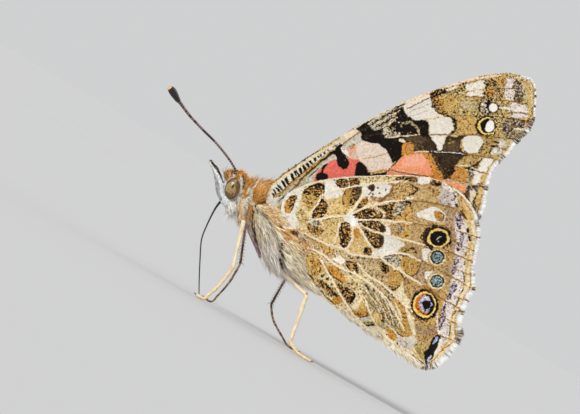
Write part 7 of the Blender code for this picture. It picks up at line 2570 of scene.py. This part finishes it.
def build_stage():
    """A pale floor out to the horizon, pale air that matches it, and soft lamps."""
    points = [(0.0, 0.0, 0.0)]
    for k in range(FLOOR_CORNERS):
        turn = 2 * math.pi * k / FLOOR_CORNERS
        points.append((FLOOR_REACH * math.cos(turn), FLOOR_REACH * math.sin(turn), 0.0))
    mesh = bpy.data.meshes.new("floor")
    mesh.from_pydata(points, [], [(0, 1 + k, 1 + (k + 1) % FLOOR_CORNERS) for k in range(FLOOR_CORNERS)])
    mesh.materials.append(floor_material())
    set_out("floor", mesh)
    for name, lamp in LAMPS.items():
        add_sun(name, *lamp)
    world = bpy.data.worlds.new("air")
    world.use_nodes = True
    air = world.node_tree.nodes["Background"]
    air.inputs["Color"].default_value = (*AIR_COLOUR, 1)
    air.inputs["Strength"].default_value = AIR_STRENGTH
    bpy.context.scene.world = world
    bpy.context.scene.view_settings.view_transform = "Standard"


# Whole insect --------------------------------------------------------------------------------

random = np.random.default_rng(2024)
scale_finish = coat_material("scales", 0.72, 0.15, grain=9000.0, low=0.9, high=1.1, bump=0.00002)
fur_finish = coat_material("fur", 0.6, 0.25, grain=6000.0, low=0.86, high=1.12, bump=0.00001)
skin_finish = coat_material("skin", 0.8, 0.2, grain=12000.0, low=0.75, high=1.1, bump=0.00006)
leg_finish = coat_material("leg", 0.5, 0.4, grain=14000.0, low=0.85, high=1.1, bump=0.00002)
dark_finish = coat_material("dark_chitin", 0.38, 0.5, grain=9000.0, low=0.85, high=1.15, bump=0.00001)

skin_points, skin_triangles = build_skin(skin_finish)
build_fur(skin_points, skin_triangles, fur_finish, random)
under_hindwing = drawn_in(outline_of(HINDWING), HIDDEN_INSET)
build_wing("forewing", FOREWING, forewing_out, fore_fringe, FORE_HINGE, (FORE_UNDER, "apex"),
           (FORE_UPPER, "upper_orange"), under_hindwing, FORE_FINE, scale_finish, random)
build_wing("hindwing", HINDWING, hindwing_out, hind_fringe, HIND_HINGE, (HIND_UNDER, "hind_ground"),
           (HIND_UPPER, "upper_orange"), None, HIND_FINE, scale_finish, random)
build_wing_hair(fur_finish, random)
build_side_spots(fur_finish, random)
build_eyes(eye_material())
build_feelers(dark_finish)
build_proboscis(dark_finish)
for leg_name, (hip, knee, ankle, foot) in LEGS.items():
    build_leg(leg_name, hip, knee, ankle, foot, leg_finish, random)
build_camera()
build_stage()
